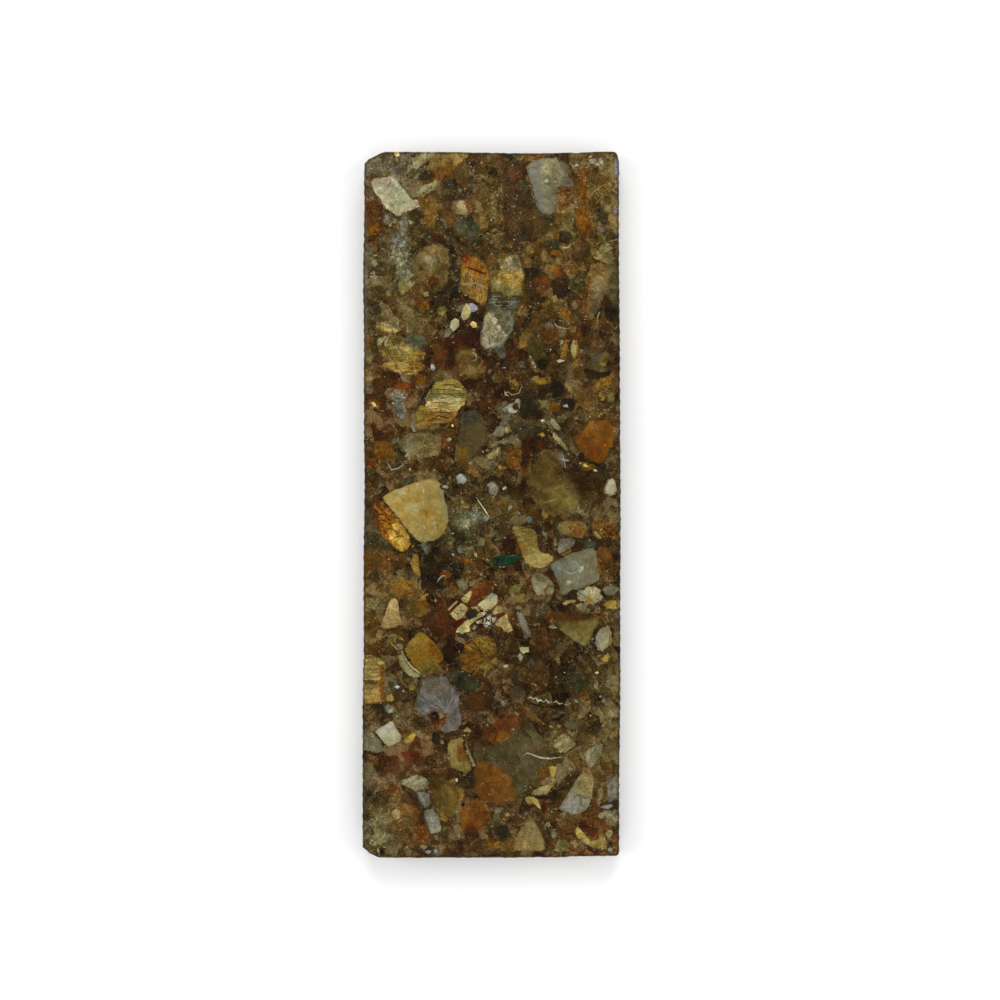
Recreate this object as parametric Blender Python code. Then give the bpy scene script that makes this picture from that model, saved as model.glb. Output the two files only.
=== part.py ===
"""A rough-sawn slab of brecciated fossil coral, lying on its back face.

Frame: +Z is up through the thickness, +Y runs along the length and +X across the width. The origin is
the middle of the footprint, on the surface that the slab rests on. Lengths are in metres.
"""

import math

import bmesh
import bpy
from mathutils import Vector, noise

MM = 0.001

# Driving dimensions
LENGTH = 150.0 * MM
WIDTH = 55.0 * MM
THICKNESS = 10.0 * MM

# The four sawn edges, each as (place along the edge, how far it lies inside the nominal rectangle).
LEFT_EDGE_WANDER = (
    (-0.50, 0.03), (-0.30, 0.00), (-0.18, 0.24), (-0.10, 0.20), (0.03, 0.42),
    (0.12, 0.28), (0.25, 0.28), (0.32, 0.12), (0.40, 0.36), (0.50, 0.34),
)
RIGHT_EDGE_WANDER = (
    (-0.50, 0.28), (-0.39, 0.29), (-0.26, 0.06), (-0.18, 0.09), (0.00, 0.00),
    (0.18, 0.14), (0.38, 0.35), (0.50, 0.34),
)
TOP_EDGE_WANDER = (
    (-0.50, 0.06), (-0.16, 0.12), (-0.05, 0.25), (0.16, 0.40), (0.32, 0.26),
    (0.42, 0.05), (0.46, 0.00), (0.50, 0.06),
)
BOTTOM_EDGE_WANDER = ((-0.50, 0.00), (0.00, 0.02), (0.25, 0.10), (0.35, 0.34), (0.50, 0.42))

# The corners, each as points (inwards along the width, inwards along the length), from the long edge round.
BROKEN_TOP_LEFT = (
    (0.00, 4.20), (0.06, 3.10), (0.26, 2.40), (1.10, 1.52),
    (2.75, 0.74), (3.60, 0.26), (4.50, 0.00),
)
BROKEN_BOTTOM_LEFT = ((0.00, 2.40), (0.30, 2.00), (1.60, 0.95), (3.00, 0.25), (4.00, 0.00))
WORN_TOP_RIGHT = ((0.00, 2.10), (0.18, 1.10), (0.55, 0.42), (1.20, 0.00))
WORN_BOTTOM_RIGHT = ((0.00, 0.80), (0.20, 0.30), (0.75, 0.00))

# The gang saw leaves shallow scallops down the edges, which run through the thickness.
SCALLOP_PITCH = 2.1 * MM
SCALLOP_DEPTH_LONG_EDGES = 0.13 * MM
SCALLOP_DEPTH_SHORT_EDGES = 0.05 * MM
SCALLOP_SLANT = 0.22
EDGE_ROUGHNESS = 0.06 * MM

POINT_SPACING = 0.62 * MM
EDGE_BREAK = 0.28 * MM
END_CUT_SLOPE = 0.036

# Open coral cups and lost crumbs in the face: (x, y, radius, depth) in millimetres.
FACE_PITS = (
    (-12.15, -44.85, 0.85, 0.75),
    (-12.70, 31.90, 0.42, 0.40),
    (-5.20, -60.30, 0.45, 0.35),
    (11.35, -36.10, 0.50, 0.35),
    (-21.60, 46.40, 0.60, 0.40),
    (18.90, 41.30, 0.55, 0.40),
    (3.15, 12.75, 0.50, 0.35),
    (-18.75, -8.20, 0.48, 0.35),
)

# Flakes lost from the front rim: (edge, place along it from -0.5 to 0.5, radius in millimetres).
RIM_FLAKES = (
    ("left", 0.31, 1.3),
    ("left", 0.07, 0.9),
    ("left", -0.22, 1.1),
    ("left", -0.39, 1.5),
    ("right", 0.26, 1.0),
    ("right", -0.03, 1.2),
    ("right", -0.31, 1.0),
    ("top", -0.18, 0.9),
    ("top", 0.20, 1.1),
    ("bottom", 0.12, 1.0),
    ("bottom", -0.24, 1.2),
)
FLAKE_SINK = 0.62

STONE_COLOUR = (0.105, 0.068, 0.030, 1.0)
STONE_ROUGHNESS = 0.45


def clear_scene():
    for old in list(bpy.data.objects):
        bpy.data.objects.remove(old)


def smooth_between(table, place):
    """The table's value at place, eased between its rows."""
    for (start, low), (end, high) in zip(table, table[1:]):
        if place <= end:
            share = max(0.0, (place - start) / (end - start))
            return low + (high - low) * share * share * (3.0 - 2.0 * share)
    return table[-1][1]


def edge_point(edge, place):
    """The point of a sawn edge at place, from -0.5 to 0.5 along it, before its scallops."""
    if edge == "left":
        return Vector((-WIDTH / 2 + smooth_between(LEFT_EDGE_WANDER, place) * MM, place * LENGTH))
    if edge == "right":
        return Vector((WIDTH / 2 - smooth_between(RIGHT_EDGE_WANDER, place) * MM, place * LENGTH))
    if edge == "top":
        return Vector((place * WIDTH, LENGTH / 2 - smooth_between(TOP_EDGE_WANDER, place) * MM))
    return Vector((place * WIDTH, -LENGTH / 2 + smooth_between(BOTTOM_EDGE_WANDER, place) * MM))


def corner_points(corner, side_x, side_y):
    """A broken corner's points in the slab's frame, from its long edge to its short edge."""
    long_edge = "left" if side_x < 0 else "right"
    short_edge = "bottom" if side_y < 0 else "top"
    points = []
    for along_width, along_length in corner:
        share_up = side_y * (0.5 - along_length * MM / LENGTH)
        share_across = side_x * (0.5 - along_width * MM / WIDTH)
        x = edge_point(long_edge, share_up).x - side_x * along_width * MM
        y = edge_point(short_edge, share_across).y - side_y * along_length * MM
        points.append(Vector((x, y)))
    return points


def plain_edge(edge, start, end, count=40):
    """Points of one edge strictly between two places on it."""
    return [edge_point(edge, start + (end - start) * n / count) for n in range(1, count)]


def place_along_length(point):
    return point.y / LENGTH


def place_along_width(point):
    return point.x / WIDTH


def rough_outline():
    """The slab's outline without scallops, anticlockwise from above, starting at the bottom right."""
    top_left = corner_points(BROKEN_TOP_LEFT, -1, 1)
    bottom_left = corner_points(BROKEN_BOTTOM_LEFT, -1, -1)
    top_right = corner_points(WORN_TOP_RIGHT, 1, 1)
    bottom_right = corner_points(WORN_BOTTOM_RIGHT, 1, -1)
    bottom_right.reverse()
    top_left.reverse()
    loop = list(bottom_right)
    loop += plain_edge("right", place_along_length(loop[-1]), place_along_length(top_right[0]))
    loop += top_right
    loop += plain_edge("top", place_along_width(loop[-1]), place_along_width(top_left[0]))
    loop += top_left
    loop += plain_edge("left", place_along_length(loop[-1]), place_along_length(bottom_left[0]))
    loop += bottom_left
    loop += plain_edge("bottom", place_along_width(loop[-1]), place_along_width(bottom_right[0]))
    return loop


def evenly_spaced(loop, spacing):
    """The closed loop resampled at about the given spacing."""
    closed = loop + loop[:1]
    lengths = [(b - a).length for a, b in zip(closed, closed[1:])]
    count = round(sum(lengths) / spacing)
    step = sum(lengths) / count
    points, stretch, passed = [], 0, 0.0
    for n in range(count):
        target = n * step
        while passed + lengths[stretch] < target:
            passed += lengths[stretch]
            stretch += 1
        share = (target - passed) / lengths[stretch]
        points.append(closed[stretch].lerp(closed[stretch + 1], share))
    return points


def outward_normals(loop):
    """The outward direction at each point of an anticlockwise loop."""
    normals = []
    for n, _ in enumerate(loop):
        along = loop[(n + 1) % len(loop)] - loop[n - 1]
        normals.append(Vector((along.y, -along.x)).normalized())
    return normals


def scallop(point, normal, height):
    """How far a saw scallop is cut in at an outline point, at a height through the thickness."""
    on_long_edge = abs(normal.x) > abs(normal.y)
    along = point.y if on_long_edge else point.x
    depth = SCALLOP_DEPTH_LONG_EDGES if on_long_edge else SCALLOP_DEPTH_SHORT_EDGES
    drift = 0.9 * math.sin(along / (7.3 * MM)) + 0.6 * math.sin(along / (2.9 * MM) + 1.0)
    phase = 2.0 * math.pi * (along + SCALLOP_SLANT * height) / SCALLOP_PITCH + drift
    return depth * abs(math.cos(phase / 2.0))


def ring(loop, normals, height, inset):
    """The outline's points at one height, scalloped and roughened, moved in by inset."""
    points = []
    for point, normal in zip(loop, normals):
        here = Vector((point.x, point.y, height))
        grain = EDGE_ROUGHNESS * noise.noise(here / (1.7 * MM))
        end_cut = END_CUT_SLOPE * (THICKNESS - height) * max(0.0, -normal.y) ** 4
        out = grain + end_cut - inset - scallop(point, normal, height)
        points.append(here + Vector((normal.x, normal.y, 0.0)) * out)
    return points


def slab_mesh():
    """The slab as one closed body of stacked rings, with flat sawn faces."""
    outline = evenly_spaced(rough_outline(), POINT_SPACING)
    normals = outward_normals(outline)
    levels = (
        (0.0, EDGE_BREAK),
        (EDGE_BREAK, 0.0),
        (THICKNESS * 0.5, 0.02 * MM),
        (THICKNESS - EDGE_BREAK, 0.0),
        (THICKNESS, EDGE_BREAK),
    )
    body = bmesh.new()
    rings = []
    for height, inset in levels:
        rings.append([body.verts.new(p) for p in ring(outline, normals, height, inset)])
    for lower, upper in zip(rings, rings[1:]):
        for n in range(len(lower)):
            after = (n + 1) % len(lower)
            body.faces.new((lower[n], lower[after], upper[after], upper[n]))
    body.faces.new(rings[-1])
    body.faces.new(list(reversed(rings[0])))
    body.normal_update()
    mesh = bpy.data.meshes.new("coral_slab")
    body.to_mesh(mesh)
    body.free()
    return mesh


def stone_material():
    stone = bpy.data.materials.new("fossil_coral")
    stone.use_nodes = True
    shader = stone.node_tree.nodes["Principled BSDF"]
    shader.inputs["Base Color"].default_value = STONE_COLOUR
    shader.inputs["Roughness"].default_value = STONE_ROUGHNESS
    shader.inputs["Metallic"].default_value = 0.0
    return stone


def make_slab():
    slab = bpy.data.objects.new("coral_slab", slab_mesh())
    slab.data.materials.append(stone_material())
    bpy.context.scene.collection.objects.link(slab)
    return slab


def add_lump(cutter, centre, radius, height, seed):
    """Adds a rough ball to a cutter's mesh, for one bite out of the slab."""
    made = bmesh.ops.create_icosphere(cutter, subdivisions=2, radius=1.0)["verts"]
    for vert in made:
        rough = 1.0 + 0.22 * noise.noise(vert.co * 1.7 + Vector((seed, 0.0, 0.0)))
        vert.co = Vector((vert.co.x * radius, vert.co.y * radius, vert.co.z * height)) * rough + centre


def bite(slab, cutter, name):
    """Cuts a finished cutter mesh out of the slab."""
    mesh = bpy.data.meshes.new(name)
    cutter.to_mesh(mesh)
    cutter.free()
    tool = bpy.data.objects.new(name, mesh)
    bpy.context.scene.collection.objects.link(tool)
    tool.hide_render = True
    tool.display_type = "WIRE"
    cut = slab.modifiers.new(name, "BOOLEAN")
    cut.operation = "DIFFERENCE"
    cut.solver = "EXACT"
    cut.object = tool


def cut_pits(slab):
    cutter = bmesh.new()
    for number, (x, y, radius, depth) in enumerate(FACE_PITS):
        centre = Vector((x * MM, y * MM, THICKNESS))
        add_lump(cutter, centre, radius * MM, depth * MM, seed=number)
    bite(slab, cutter, "face_pits")


def cut_flakes(slab):
    cutter = bmesh.new()
    for number, (edge, place, size) in enumerate(RIM_FLAKES):
        radius = size * MM
        on_edge = edge_point(edge, place)
        outwards = {"left": (-1, 0), "right": (1, 0), "top": (0, 1), "bottom": (0, -1)}[edge]
        centre = Vector((on_edge.x, on_edge.y, THICKNESS))
        centre += Vector((outwards[0], outwards[1], 1.0)) * radius * FLAKE_SINK
        add_lump(cutter, centre, radius, radius, seed=20 + number)
    bite(slab, cutter, "rim_flakes")


def main():
    clear_scene()
    slab = make_slab()
    cut_pits(slab)
    cut_flakes(slab)


main()
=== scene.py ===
import math
import random

import bmesh
import bpy
import numpy as np
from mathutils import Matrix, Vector, geometry, kdtree, noise


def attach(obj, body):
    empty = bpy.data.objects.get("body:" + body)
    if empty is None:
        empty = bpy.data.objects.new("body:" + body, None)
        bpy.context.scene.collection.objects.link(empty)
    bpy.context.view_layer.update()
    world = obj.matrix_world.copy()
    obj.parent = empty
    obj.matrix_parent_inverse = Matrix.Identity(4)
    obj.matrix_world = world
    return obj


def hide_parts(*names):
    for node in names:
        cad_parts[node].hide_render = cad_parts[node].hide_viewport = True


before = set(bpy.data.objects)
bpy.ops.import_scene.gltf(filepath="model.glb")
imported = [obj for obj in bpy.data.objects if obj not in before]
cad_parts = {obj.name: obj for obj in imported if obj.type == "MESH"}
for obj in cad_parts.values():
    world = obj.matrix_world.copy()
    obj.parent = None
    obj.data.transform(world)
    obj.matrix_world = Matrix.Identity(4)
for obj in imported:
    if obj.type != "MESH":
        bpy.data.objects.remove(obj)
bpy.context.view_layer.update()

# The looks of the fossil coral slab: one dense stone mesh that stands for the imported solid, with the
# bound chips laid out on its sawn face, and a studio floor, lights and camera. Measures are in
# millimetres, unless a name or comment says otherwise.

MM = 0.001
THICK = 10.0

# The face as the photograph shows it: the pixel at the slab's middle, and the length of one pixel.
MIDDLE_X = 491.6
MIDDLE_Y = 504.6
MM_PER_PIXEL = 0.2121

# Mesh fineness
FACE_STEP = 0.50
BACK_STEP = 1.5
SIDE_STEP = 0.72
OUTLINE_STEP = 0.46
CHUNK = 2000                # points that are compared with an outline at a time
SAME_PLACE = 0.002
SAME_HEIGHT = 0.01
FLAT_NORMAL = 0.999         # the upward part of a flat face's normal
MOST_SPLITS = 6             # how often the side's long edges are halved at most
ROW_HEIGHT = 0.866          # between two rows of a triangular grid, in steps
GRID_REACH = (28, 76)       # half the grid's size, across and along
GRID_JITTER = 0.12          # in steps
CLEAR_OF_POINTS = 0.55      # how far a grid point stays from the rim and the outlines, in steps
CLEAR_OF_RIM = 0.2          # how far an outline's points stay from the rim
PIT_RINGS = (0.0, 0.35, 0.7, 1.0, 1.25)     # the rings of points round a pit, in radii
PIT_STEP = 0.2
SHARP_EDGE = math.radians(40)

# Relief of the sawn face, below the highest plane of the stone
MATRIX_SINK = 0.035
MATRIX_GRAIN = 0.035
CHIP_SINK = 0.008
SEAM_DEPTH = 0.05
SEAM_HALF_WIDTH = 0.16
THIN_HALF_WIDTH = 0.20      # a chip narrower than this has no seam and no faded edge
CRISP = 0.3                 # a chip that fades less than this has an edge in the mesh
DEEPEST_CHIP = 8.5
SKIN_DEPTH = 9.5            # how far down the sides the face's chips are looked up
SKIN_INSET = 0.5            # where the sides look a chip up: this far inside the rim, and further
SKIN_LEAN = 0.22            # by this much for each millimetre down
STRIP_SINK = 0.10
STRIP_GRAIN = 0.10
STRIP_EDGE = (408, 213, 350)
SIDE_ROUGHNESS = 0.03

# Open coral cups and lost crumbs: (x, y, radius, depth), as in the solid.
FACE_PITS = (
    (-12.15, -44.85, 0.85, 0.75),
    (-12.70, 31.90, 0.42, 0.40),
    (-5.20, -60.30, 0.45, 0.35),
    (11.35, -36.10, 0.50, 0.35),
    (-21.60, 46.40, 0.60, 0.40),
    (18.90, 41.30, 0.55, 0.40),
    (3.15, 12.75, 0.50, 0.35),
    (-18.75, -8.20, 0.48, 0.35),
)

LOOK = {
    "soft": 0.22,       # width of the fade at the edge, where a chip sinks into the resin
    "cover": 0.95,      # how much of the ground the chip hides
    "bands": 0.0,       # strength of growth bands in the accent tone
    "lean": 0.0,        # direction of the bands, degrees from +X
    "pitch": 1.6,       # bands to a millimetre
    "specks": 0.0,      # strength of dots in the accent tone
    "rays": 0.0,        # strength of a coral cup's septa
    "middle": None,     # pixel of the cup's middle
    "core": 0.0,        # radius of the cup's middle in millimetres
    "grit": 0.5,        # strength of the finest grain
    "round": False,     # cuts the outline's corners
    "thin": False,      # a glint or fibre too thin for a seam of its own
}
CHIPS = []
GROUNDS = []


def on_face(pixel_x, pixel_y):
    """A pixel of the photograph as millimetres on the face."""
    return ((pixel_x - MIDDLE_X) * MM_PER_PIXEL, (MIDDLE_Y - pixel_y) * MM_PER_PIXEL)


def tone(text):
    """A colour written as RRGGBB, as linear values."""
    parts = [int(text[place:place + 2], 16) / 255 for place in (0, 2, 4)]
    return [part / 12.92 if part <= 0.04045 else ((part + 0.055) / 1.055) ** 2.4 for part in parts]


def chip(name, outline, tones, **look):
    """One bound fragment: its outline in pixels of the photograph, and its main, second and accent
    tone."""
    unknown = set(look) - set(LOOK)
    if unknown:
        raise ValueError(f"{name}: {unknown}")
    points = [on_face(outline[at], outline[at + 1]) for at in range(0, len(outline), 2)]
    colours = [tone(text) for text in tones.split()]
    CHIPS.append({**LOOK, **look, "name": name, "points": points, "tones": colours})


def thread(name, line, width, tones, **look):
    """A thin curved fibre, given by the pixels along it and its width in pixels."""
    points = [Vector((line[at], line[at + 1])) for at in range(0, len(line), 2)]
    left = []
    right = []
    for at, point in enumerate(points):
        along = (points[min(at + 1, len(points) - 1)] - points[max(at - 1, 0)]).normalized()
        taper = 0.35 if at in (0, len(points) - 1) else 1.0
        aside = Vector((-along.y, along.x)) * width * 0.5 * taper
        left.append(point + aside)
        right.append(point - aside)
    outline = [value for point in left + right[::-1] for value in point]
    chip(name, outline, tones, soft=0.08, thin=True, **look)


def ground(middle, reach, text, busy):
    """The matrix round a place: pixel, reach in pixels, colour, and how gritty it is."""
    GROUNDS.append((on_face(*middle), reach * MM_PER_PIXEL, (*tone(text), busy)))


# Tones of the matrix
ground((390, 165), 22, "5a4d38", 0.9)
ground((445, 190), 26, "50401f", 0.6)
ground((490, 180), 24, "5a4a28", 1.0)
ground((592, 190), 26, "5c4720", 0.9)
ground((374, 225), 18, "4e3416", 0.6)
ground((400, 250), 12, "605a40", 0.9)
ground((432, 232), 16, "3d2e18", 0.5)
ground((540, 256), 24, "5a4821", 0.5)
ground((374, 300), 22, "4b4029", 0.7)
ground((405, 318), 22, "544527", 0.7)
ground((447, 300), 18, "382a1a", 0.6)
ground((560, 322), 28, "523c1c", 0.6)
ground((608, 345), 16, "3b2b1b", 0.3)
ground((455, 355), 24, "3c210f", 0.3)
ground((510, 380), 26, "40290f", 0.4)
ground((590, 402), 20, "5a4421", 0.5)
ground((376, 405), 22, "4a2f18", 0.6)
ground((545, 420), 24, "332818", 0.5)
ground((395, 465), 22, "4c3a20", 0.6)
ground((595, 490), 24, "3a2a14", 0.3)
ground((465, 502), 20, "40341f", 0.8)
ground((372, 550), 22, "4b3b22", 0.6)
ground((430, 568), 20, "2c2216", 0.6)
ground((465, 530), 16, "4a4631", 0.8)
ground((505, 585), 22, "442f16", 0.5)
ground((400, 602), 20, "564323", 0.6)
ground((440, 630), 24, "3c2512", 0.3)
ground((545, 670), 34, "35250f", 0.25)
ground((604, 695), 18, "4c3e22", 0.6)
ground((480, 700), 22, "3a2614", 0.5)
ground((385, 712), 18, "443720", 0.6)
ground((596, 745), 20, "584829", 0.5)
ground((400, 775), 24, "4b321b", 0.4)
ground((372, 810), 18, "474026", 0.7)
ground((560, 785), 22, "4a3c21", 0.5)
ground((480, 838), 28, "442f18", 0.4)
ground((590, 835), 24, "503519", 0.5)


def lay_large_chips():
    """The large and the murky fragments, from the top of the slab down."""
    chip("brown_top_left", (363, 150, 392, 150, 412, 152, 410, 176, 398, 176, 386, 172, 372, 176, 362,
         178), "615847 53493a 8a8672", soft=1.0, cover=0.7, specks=0.6)
    chip("slate_streak", (390, 163, 393, 164, 397, 172, 399, 179, 396, 178, 392, 171),
         "62625f 53524f 74736e", soft=0.4, cover=0.8)
    chip("olive_cream_top", (412, 158, 424, 153, 436, 152, 431, 159, 424, 164, 418, 170, 413, 168),
         "92906a 80794f a4a078", soft=0.5, cover=0.85)
    chip("olive_top", (424, 166, 428, 160, 437, 154, 450, 151, 468, 151, 467, 158, 458, 164, 448, 174,
         440, 178, 431, 176, 423, 171), "957f4a 84703c 7a5626", soft=0.5, bands=0.25, lean=20, pitch=0.7)
    chip("light_grit_band", (417, 190, 425, 184, 436, 181, 441, 183, 434, 189, 424, 196, 418, 196),
         "928c68 807a58 a8a27e", soft=0.4, cover=0.85, specks=0.8, grit=1.0)
    chip("dark_under_olive", (418, 178, 424, 170, 430, 168, 436, 177, 426, 181), "33281a 2a2014 483a26",
         soft=0.4)
    chip("rust_under_top", (432, 170, 442, 166, 452, 168, 448, 178, 436, 180), "62441c 523614 785826",
         soft=0.8, cover=0.85)
    chip("gold_glint_top", (394, 153, 398, 153, 399, 156, 396, 157), "e0c890 caaf74 f0dcb0", soft=0.05,
         thin=True)
    chip("grit_by_corner_one", (383, 214, 390, 212, 395, 219, 392, 227, 386, 226, 383, 220),
         "8a8668 767256 b0ac90", soft=1.0, cover=0.75, specks=1.0, grit=1.0)
    chip("grit_by_corner_two", (398, 216, 405, 212, 408, 220, 408, 230, 401, 232, 398, 224),
         "615f4e 525040 8f8d7a", soft=0.9, cover=0.75, specks=1.0, grit=1.0)
    chip("rust_under_olive", (443, 165, 452, 160, 456, 166, 449, 176, 440, 180, 437, 174),
         "66421a 563612 785626", soft=0.9, cover=0.8)
    chip("light_streak", (413, 180, 417, 171, 423, 165, 430, 160, 428, 166, 421, 172, 418, 181),
         "9a9676 84806a b0ad90", soft=0.3, specks=0.3)
    chip("pale_corner", (371, 182, 374, 178, 382, 177, 392, 176, 397, 180, 403, 187, 409, 195, 416, 201,
         419, 204, 414, 208, 406, 212, 398, 217, 391, 213, 384, 207, 378, 198, 374, 190),
         "aca27c a09a78 b8b092", soft=0.2, specks=0.5, grit=1.0)
    chip("corner_green_glow", (392, 188, 402, 190, 408, 198, 402, 206, 392, 204, 388, 196),
         "8a9068 7b8259 9ca27a", soft=0.8, cover=0.6, specks=0.4, grit=1.0)
    chip("corner_pink_head", (378, 180, 386, 178, 394, 177, 398, 181, 394, 187, 384, 189),
         "a2927a 927f68 b2a48c", soft=0.6, cover=0.7)
    chip("pink_rim", (399, 211, 404, 207, 410, 203, 415, 200, 419, 203, 417, 208, 409, 211, 402, 213, 397,
         216), "b8a888 aa9878 c6b69c", soft=0.4, cover=0.85)
    chip("grey_left_of_corner", (370, 180, 378, 178, 381, 186, 380, 194, 376, 196, 373, 189),
         "949078 827e68 a8a48e", soft=0.5, cover=0.6, specks=0.6, grit=1.0)
    chip("rust_below_corner", (364, 203, 376, 200, 384, 210, 384, 226, 378, 233, 366, 231),
         "5a3815 4b2d12 6e4a1a", soft=0.8, cover=0.85)
    chip("ochre_spot_left", (370, 226, 379, 224, 381, 231, 376, 236, 369, 233), "80500f 6e430f 96661c",
         soft=0.5, cover=0.8)
    chip("ochre_long", (418, 196, 427, 194, 436, 199, 437, 212, 434, 224, 431, 230, 426, 222, 421, 210),
         "6e5426 5e461c 86693a", soft=0.7, bands=0.4, lean=80, pitch=1.0, grit=0.9)
    chip("ochre_tip", (418, 195, 424, 192, 427, 196, 423, 199), "a5762a 94681f b58a40", soft=0.25)
    chip("ochre_foot", (426, 214, 435, 214, 435, 224, 431, 229, 427, 223), "70501e 604216 86652c",
         soft=0.7)
    chip("beige_square", (452, 201, 463, 200, 468, 206, 471, 213, 466, 216, 458, 215, 453, 208),
         "877b5d 786a4a 968c70", soft=0.45)
    chip("brown_beside_square", (464, 200, 469, 202, 474, 212, 473, 216, 469, 214),
         "6a4720 5a3a1a 7c5a30", soft=0.4)
    chip("slate_block", (456, 219, 465, 216, 473, 219, 479, 227, 479, 237, 470, 240, 461, 237, 456, 230),
         "474539 3d3b30 54513f", soft=0.7, cover=0.9)
    chip("red_brown_left_of_slate", (440, 196, 448, 194, 455, 214, 455, 226, 446, 222, 441, 208),
         "5c4224 4c341a 6c4e2c", soft=0.8, cover=0.8)
    chip("dark_wedge", (455, 199, 462, 191, 468, 185, 474, 187, 471, 195, 463, 200),
         "32281a 3c301e 4c3c22", soft=0.5)
    chip("black_by_ochre", (418, 211, 423, 210, 427, 216, 424, 220, 418, 218), "2b2519 352c1d 3f3420",
         soft=0.4)
    chip("slate_by_ochre", (426, 229, 433, 228, 434, 236, 427, 237), "37342c 2c2822 45412f", soft=0.4)
    chip("maroon_brown", (430, 234, 438, 232, 446, 238, 446, 244, 432, 243), "3c2313 32200f 4c2a18",
         soft=0.7)
    chip("grey_green_flakes", (438, 213, 443, 217, 448, 226, 450, 232, 444, 228, 440, 221),
         "73735d 5d5c46 8d8d78", soft=0.2, specks=0.6)
    chip("gritty_band_left", (392, 236, 399, 232, 408, 238, 408, 262, 404, 274, 397, 272, 393, 262, 391,
         247), "6f6b52 5a5641 9b977c", soft=1.0, cover=0.6, specks=1.0, grit=1.0)
    chip("lilac_grit_left", (392, 236, 398, 232, 404, 234, 406, 242, 404, 249, 397, 250, 392, 246),
         "68645a 54504a 908c80", soft=0.9, cover=0.65, specks=1.0, grit=1.0)
    chip("olive_grit_left", (395, 252, 402, 250, 407, 254, 406, 266, 401, 272, 396, 266, 394, 258),
         "6f6c4e 58563e 96937a", soft=0.6, cover=0.7, specks=1.0, grit=1.0)
    chip("pale_bit_left_one", (371, 262, 375, 260, 378, 264, 374, 267), "8a846c 78725c 9e987e", soft=0.2,
         thin=True, grit=1.0)
    chip("pale_bit_left_two", (369, 276, 374, 275, 379, 277, 374, 279), "8f8c78 7c7966 a4a18c", soft=0.2,
         thin=True)
    chip("grey_bit_left", (364, 248, 369, 245, 373, 250, 370, 256, 365, 255), "5a5645 4a4638 757160",
         soft=0.4, specks=0.8, grit=1.0)
    chip("yellow_leaf_left", (386, 291, 390, 289, 391, 295, 387, 297), "7f7040 6d6034 948452", soft=0.3,
         thin=True)
    chip("yellow_bit_by_disc", (423, 293, 428, 291, 429, 296, 424, 297), "837548 72653c 988a5c", soft=0.3,
         thin=True)
    chip("rust_cap", (520, 162, 528, 155, 546, 153, 549, 156, 539, 160, 530, 166, 523, 167),
         "62431a 513412 7a5826", soft=0.5)
    chip("dark_maroon_block", (503, 168, 508, 163, 516, 159, 521, 163, 527, 180, 531, 194, 538, 207, 546,
         217, 548, 228, 544, 236, 536, 241, 526, 243, 518, 245, 511, 241, 505, 236, 503, 212),
         "3e3020 32261a 4c3824", soft=0.7, cover=0.97, bands=0.4, lean=12, pitch=0.35)
    chip("red_patch", (512, 168, 524, 166, 528, 182, 531, 192, 524, 196, 514, 188),
         "472014 3c1c12 55301c", soft=1.0, cover=0.7)
    chip("slate_in_maroon", (520, 180, 527, 181, 530, 190, 524, 193, 519, 188), "3b3a2e 34332a 45432f",
         soft=0.5)
    chip("olive_foot_of_maroon", (526, 216, 536, 210, 546, 218, 548, 228, 543, 236, 534, 240, 527, 236),
         "524021 463619 604c28", soft=0.9, cover=0.85)
    chip("taupe_square", (505, 224, 514, 219, 527, 224, 528, 238, 518, 242, 508, 237),
         "4b3822 3e3020 5b452a", soft=0.5, cover=0.8)
    chip("slate_core", (516, 229, 524, 228, 526, 237, 518, 239), "38352c 302c24 44402f", soft=0.5)
    chip("red_foot", (507, 239, 516, 243, 528, 241, 529, 245, 517, 248, 510, 245), "491a10 381510 5a2a18",
         soft=0.3)
    chip("grey_cream_left", (525, 167, 529, 163, 535, 160, 541, 158, 548, 158, 556, 159, 561, 163, 565,
         170, 569, 177, 574, 183, 573, 187, 566, 186, 559, 187, 557, 196, 558, 205, 555, 212, 550, 216,
         544, 214, 539, 210, 536, 205, 534, 197, 531, 187, 528, 177), "76705e 6a6456 86816e", soft=0.2,
         grit=0.1)
    chip("grey_cream_right", (541, 159, 549, 158, 556, 159, 561, 165, 564, 172, 564, 181, 559, 186, 552,
         187, 541, 187), "8c8766 807a5a 9a9472", soft=0.45, cover=0.95, grit=0.1)
    chip("cream_spark", (544, 180, 546, 178, 549, 179, 548, 182, 545, 182), "aaa68a 98947a bcb89c",
         soft=0.3, thin=True, cover=0.8)
    thread("cream_facet_line", (543, 183, 550, 184, 558, 184), 1.6, "6c6548 5e583e 7c7656", cover=0.5)
    chip("cream_glow", (543, 184, 553, 185, 557, 190, 556, 204, 551, 213, 545, 210),
         "7c7454 6e664a 8c8462", soft=0.5, cover=0.9, bands=0.3, lean=88, pitch=0.8, grit=0.1)
    chip("brown_side_of_cream", (562, 176, 568, 177, 574, 183, 573, 187, 566, 186, 562, 184),
         "6e6242 5e5236 7e7252", soft=0.6, cover=0.8)
    chip("rust_in_cream", (555, 189, 561, 186, 568, 188, 575, 192, 574, 202, 568, 208, 560, 212, 556, 206,
         557, 198), "624220 4a3218 8a6c3c", soft=0.8, specks=1.0, grit=1.0, cover=0.85)
    chip("taupe_by_cream", (560, 161, 567, 162, 572, 170, 570, 176, 565, 172, 562, 167),
         "6a5c4a 5c4f3e 786a58", soft=0.3)
    chip("slate_under_cream", (533, 198, 537, 206, 543, 213, 550, 217, 551, 226, 545, 222, 537, 212),
         "3b3731 302c26 4a4438", soft=0.35)
    chip("orange_upper", (577, 170, 582, 167, 585, 175, 586, 188, 588, 204, 581, 205, 578, 190),
         "744711 603a0e 865a1c", soft=0.5, cover=0.85, bands=0.4, lean=85, pitch=0.8)
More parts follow.
